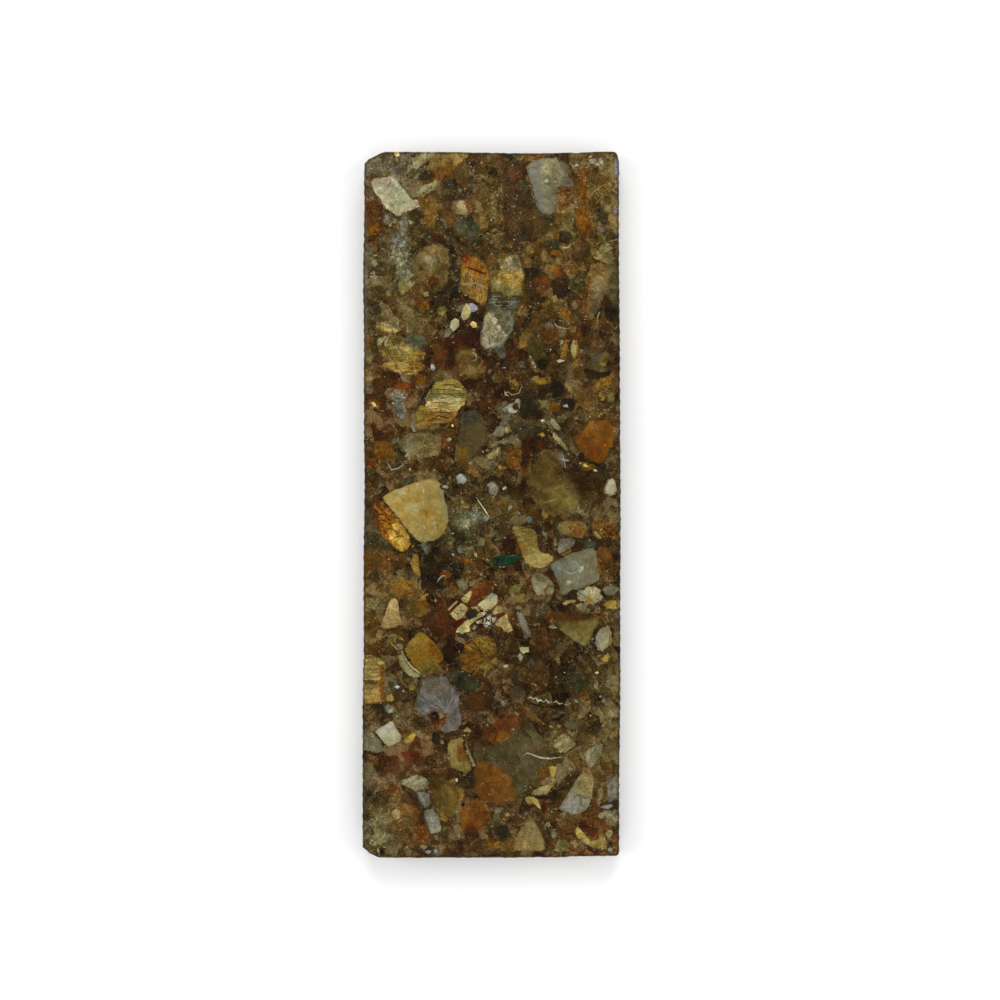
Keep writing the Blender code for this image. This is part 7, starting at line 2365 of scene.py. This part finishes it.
    polish = {"Value": fine, "From Min": 0.3, "From Max": 0.7, "To Min": SMOOTHEST, "To Max": ROUGHEST}
    roughness = graph.node("MapRange", polish).outputs["Result"]
    relief = graph.noise(place, 4.0, 5, 0.7).outputs["Fac"]
    bump = graph.node("Bump", {"Height": relief, "Strength": BUMP_STRENGTH, "Distance": BUMP_DEPTH})
    shader = graph.node("BsdfPrincipled", {
        "Base Color": dull.outputs["Color"],
        "Roughness": roughness,
        "Specular IOR Level": SPECULAR,
        "Normal": bump.outputs["Normal"],
    })
    output = graph.node("OutputMaterial")
    graph.tree.links.new(shader.outputs["BSDF"], output.inputs["Surface"])
    return graph.material


# The studio, in metres and watts
FLOOR_REACH = 3.0
FLOOR_TONE = (0.93, 0.93, 0.93, 1)
LAMPS = ((90, 6.6), (0, 4.9), (180, 4.9), (270, 4.2))       # direction in degrees from +X, strength
LAMP_SIZE = 0.8
LAMP_DISTANCE = 1.1
LAMP_RISE = math.radians(50)
SKY_LOW = (0.85, 0.86, 0.88, 1)
SKY_HIGH = (0.06, 0.06, 0.06, 1)
SKY_HIGH_AT = 0.8
SKY_STRENGTH = 0.6
LENS = 135                  # millimetres
SENSOR_WIDTH = 36
PHOTO_WIDTH = 1000          # pixels
PHOTO_MIDDLE = (500, 500)


def make_floor():
    """A plain pale floor, with the slab resting on it."""
    mesh = bpy.data.meshes.new("studio_floor")
    reach = FLOOR_REACH
    corners = [(-reach, -reach, 0), (reach, -reach, 0), (reach, reach, 0), (-reach, reach, 0)]
    mesh.from_pydata(corners, [], [(0, 1, 2, 3)])
    floor = bpy.data.objects.new("studio_floor", mesh)
    bpy.context.collection.objects.link(floor)
    graph = Graph("pale_floor")
    shader = graph.node("BsdfPrincipled", {
        "Base Color": FLOOR_TONE,
        "Roughness": 0.9,
        "Specular IOR Level": 0.0,
    })
    graph.tree.links.new(shader.outputs["BSDF"], graph.node("OutputMaterial").inputs["Surface"])
    mesh.materials.append(graph.material)
    return floor


def add_lights():
    """Four broad soft lights round the slab. The one beyond its top end is the strongest."""
    for azimuth, strength in LAMPS:
        light = bpy.data.lights.new(f"soft_light_{azimuth}", "AREA")
        light.shape = "DISK"
        light.size = LAMP_SIZE
        light.energy = strength
        lamp = bpy.data.objects.new(light.name, light)
        turn = math.radians(azimuth)
        flat = math.cos(LAMP_RISE)
        direction = Vector((math.cos(turn) * flat, math.sin(turn) * flat, math.sin(LAMP_RISE)))
        lamp.location = direction * LAMP_DISTANCE
        lamp.rotation_euler = (-lamp.location).to_track_quat("-Z", "Y").to_euler()
        bpy.context.collection.objects.link(lamp)
    world = bpy.data.worlds.new("studio")
    bpy.context.scene.world = world
    world.use_nodes = True
    nodes = world.node_tree.nodes
    links = world.node_tree.links
    nodes.clear()
    place = nodes.new("ShaderNodeTexCoord")
    parts = nodes.new("ShaderNodeSeparateXYZ")
    links.new(place.outputs["Generated"], parts.inputs["Vector"])
    ramp = nodes.new("ShaderNodeValToRGB")
    links.new(parts.outputs["Z"], ramp.inputs["Fac"])
    ramp.color_ramp.elements[0].color = SKY_LOW
    ramp.color_ramp.elements[1].color = SKY_HIGH
    ramp.color_ramp.elements[1].position = SKY_HIGH_AT
    background = nodes.new("ShaderNodeBackground")
    links.new(ramp.outputs["Color"], background.inputs["Color"])
    background.inputs["Strength"].default_value = SKY_STRENGTH
    links.new(background.outputs["Background"], nodes.new("ShaderNodeOutputWorld").inputs["Surface"])


def add_camera():
    """Straight above the face, with the photograph's framing."""
    lens = bpy.data.cameras.new("photo_camera")
    lens.lens = LENS
    lens.sensor_width = SENSOR_WIDTH
    camera = bpy.data.objects.new("photo_camera", lens)
    x, y = on_face(*PHOTO_MIDDLE)
    away = PHOTO_WIDTH * MM_PER_PIXEL * lens.lens / lens.sensor_width
    camera.location = Vector((x, y, THICK + away)) * MM
    bpy.context.collection.objects.link(camera)
    bpy.context.scene.camera = camera


stone = build_stone()
stone.data.materials.append(stone_material())
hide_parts("coral_slab")
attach(stone, "root")
make_floor()
add_lights()
add_camera()
bpy.context.scene.view_settings.view_transform = "Standard"
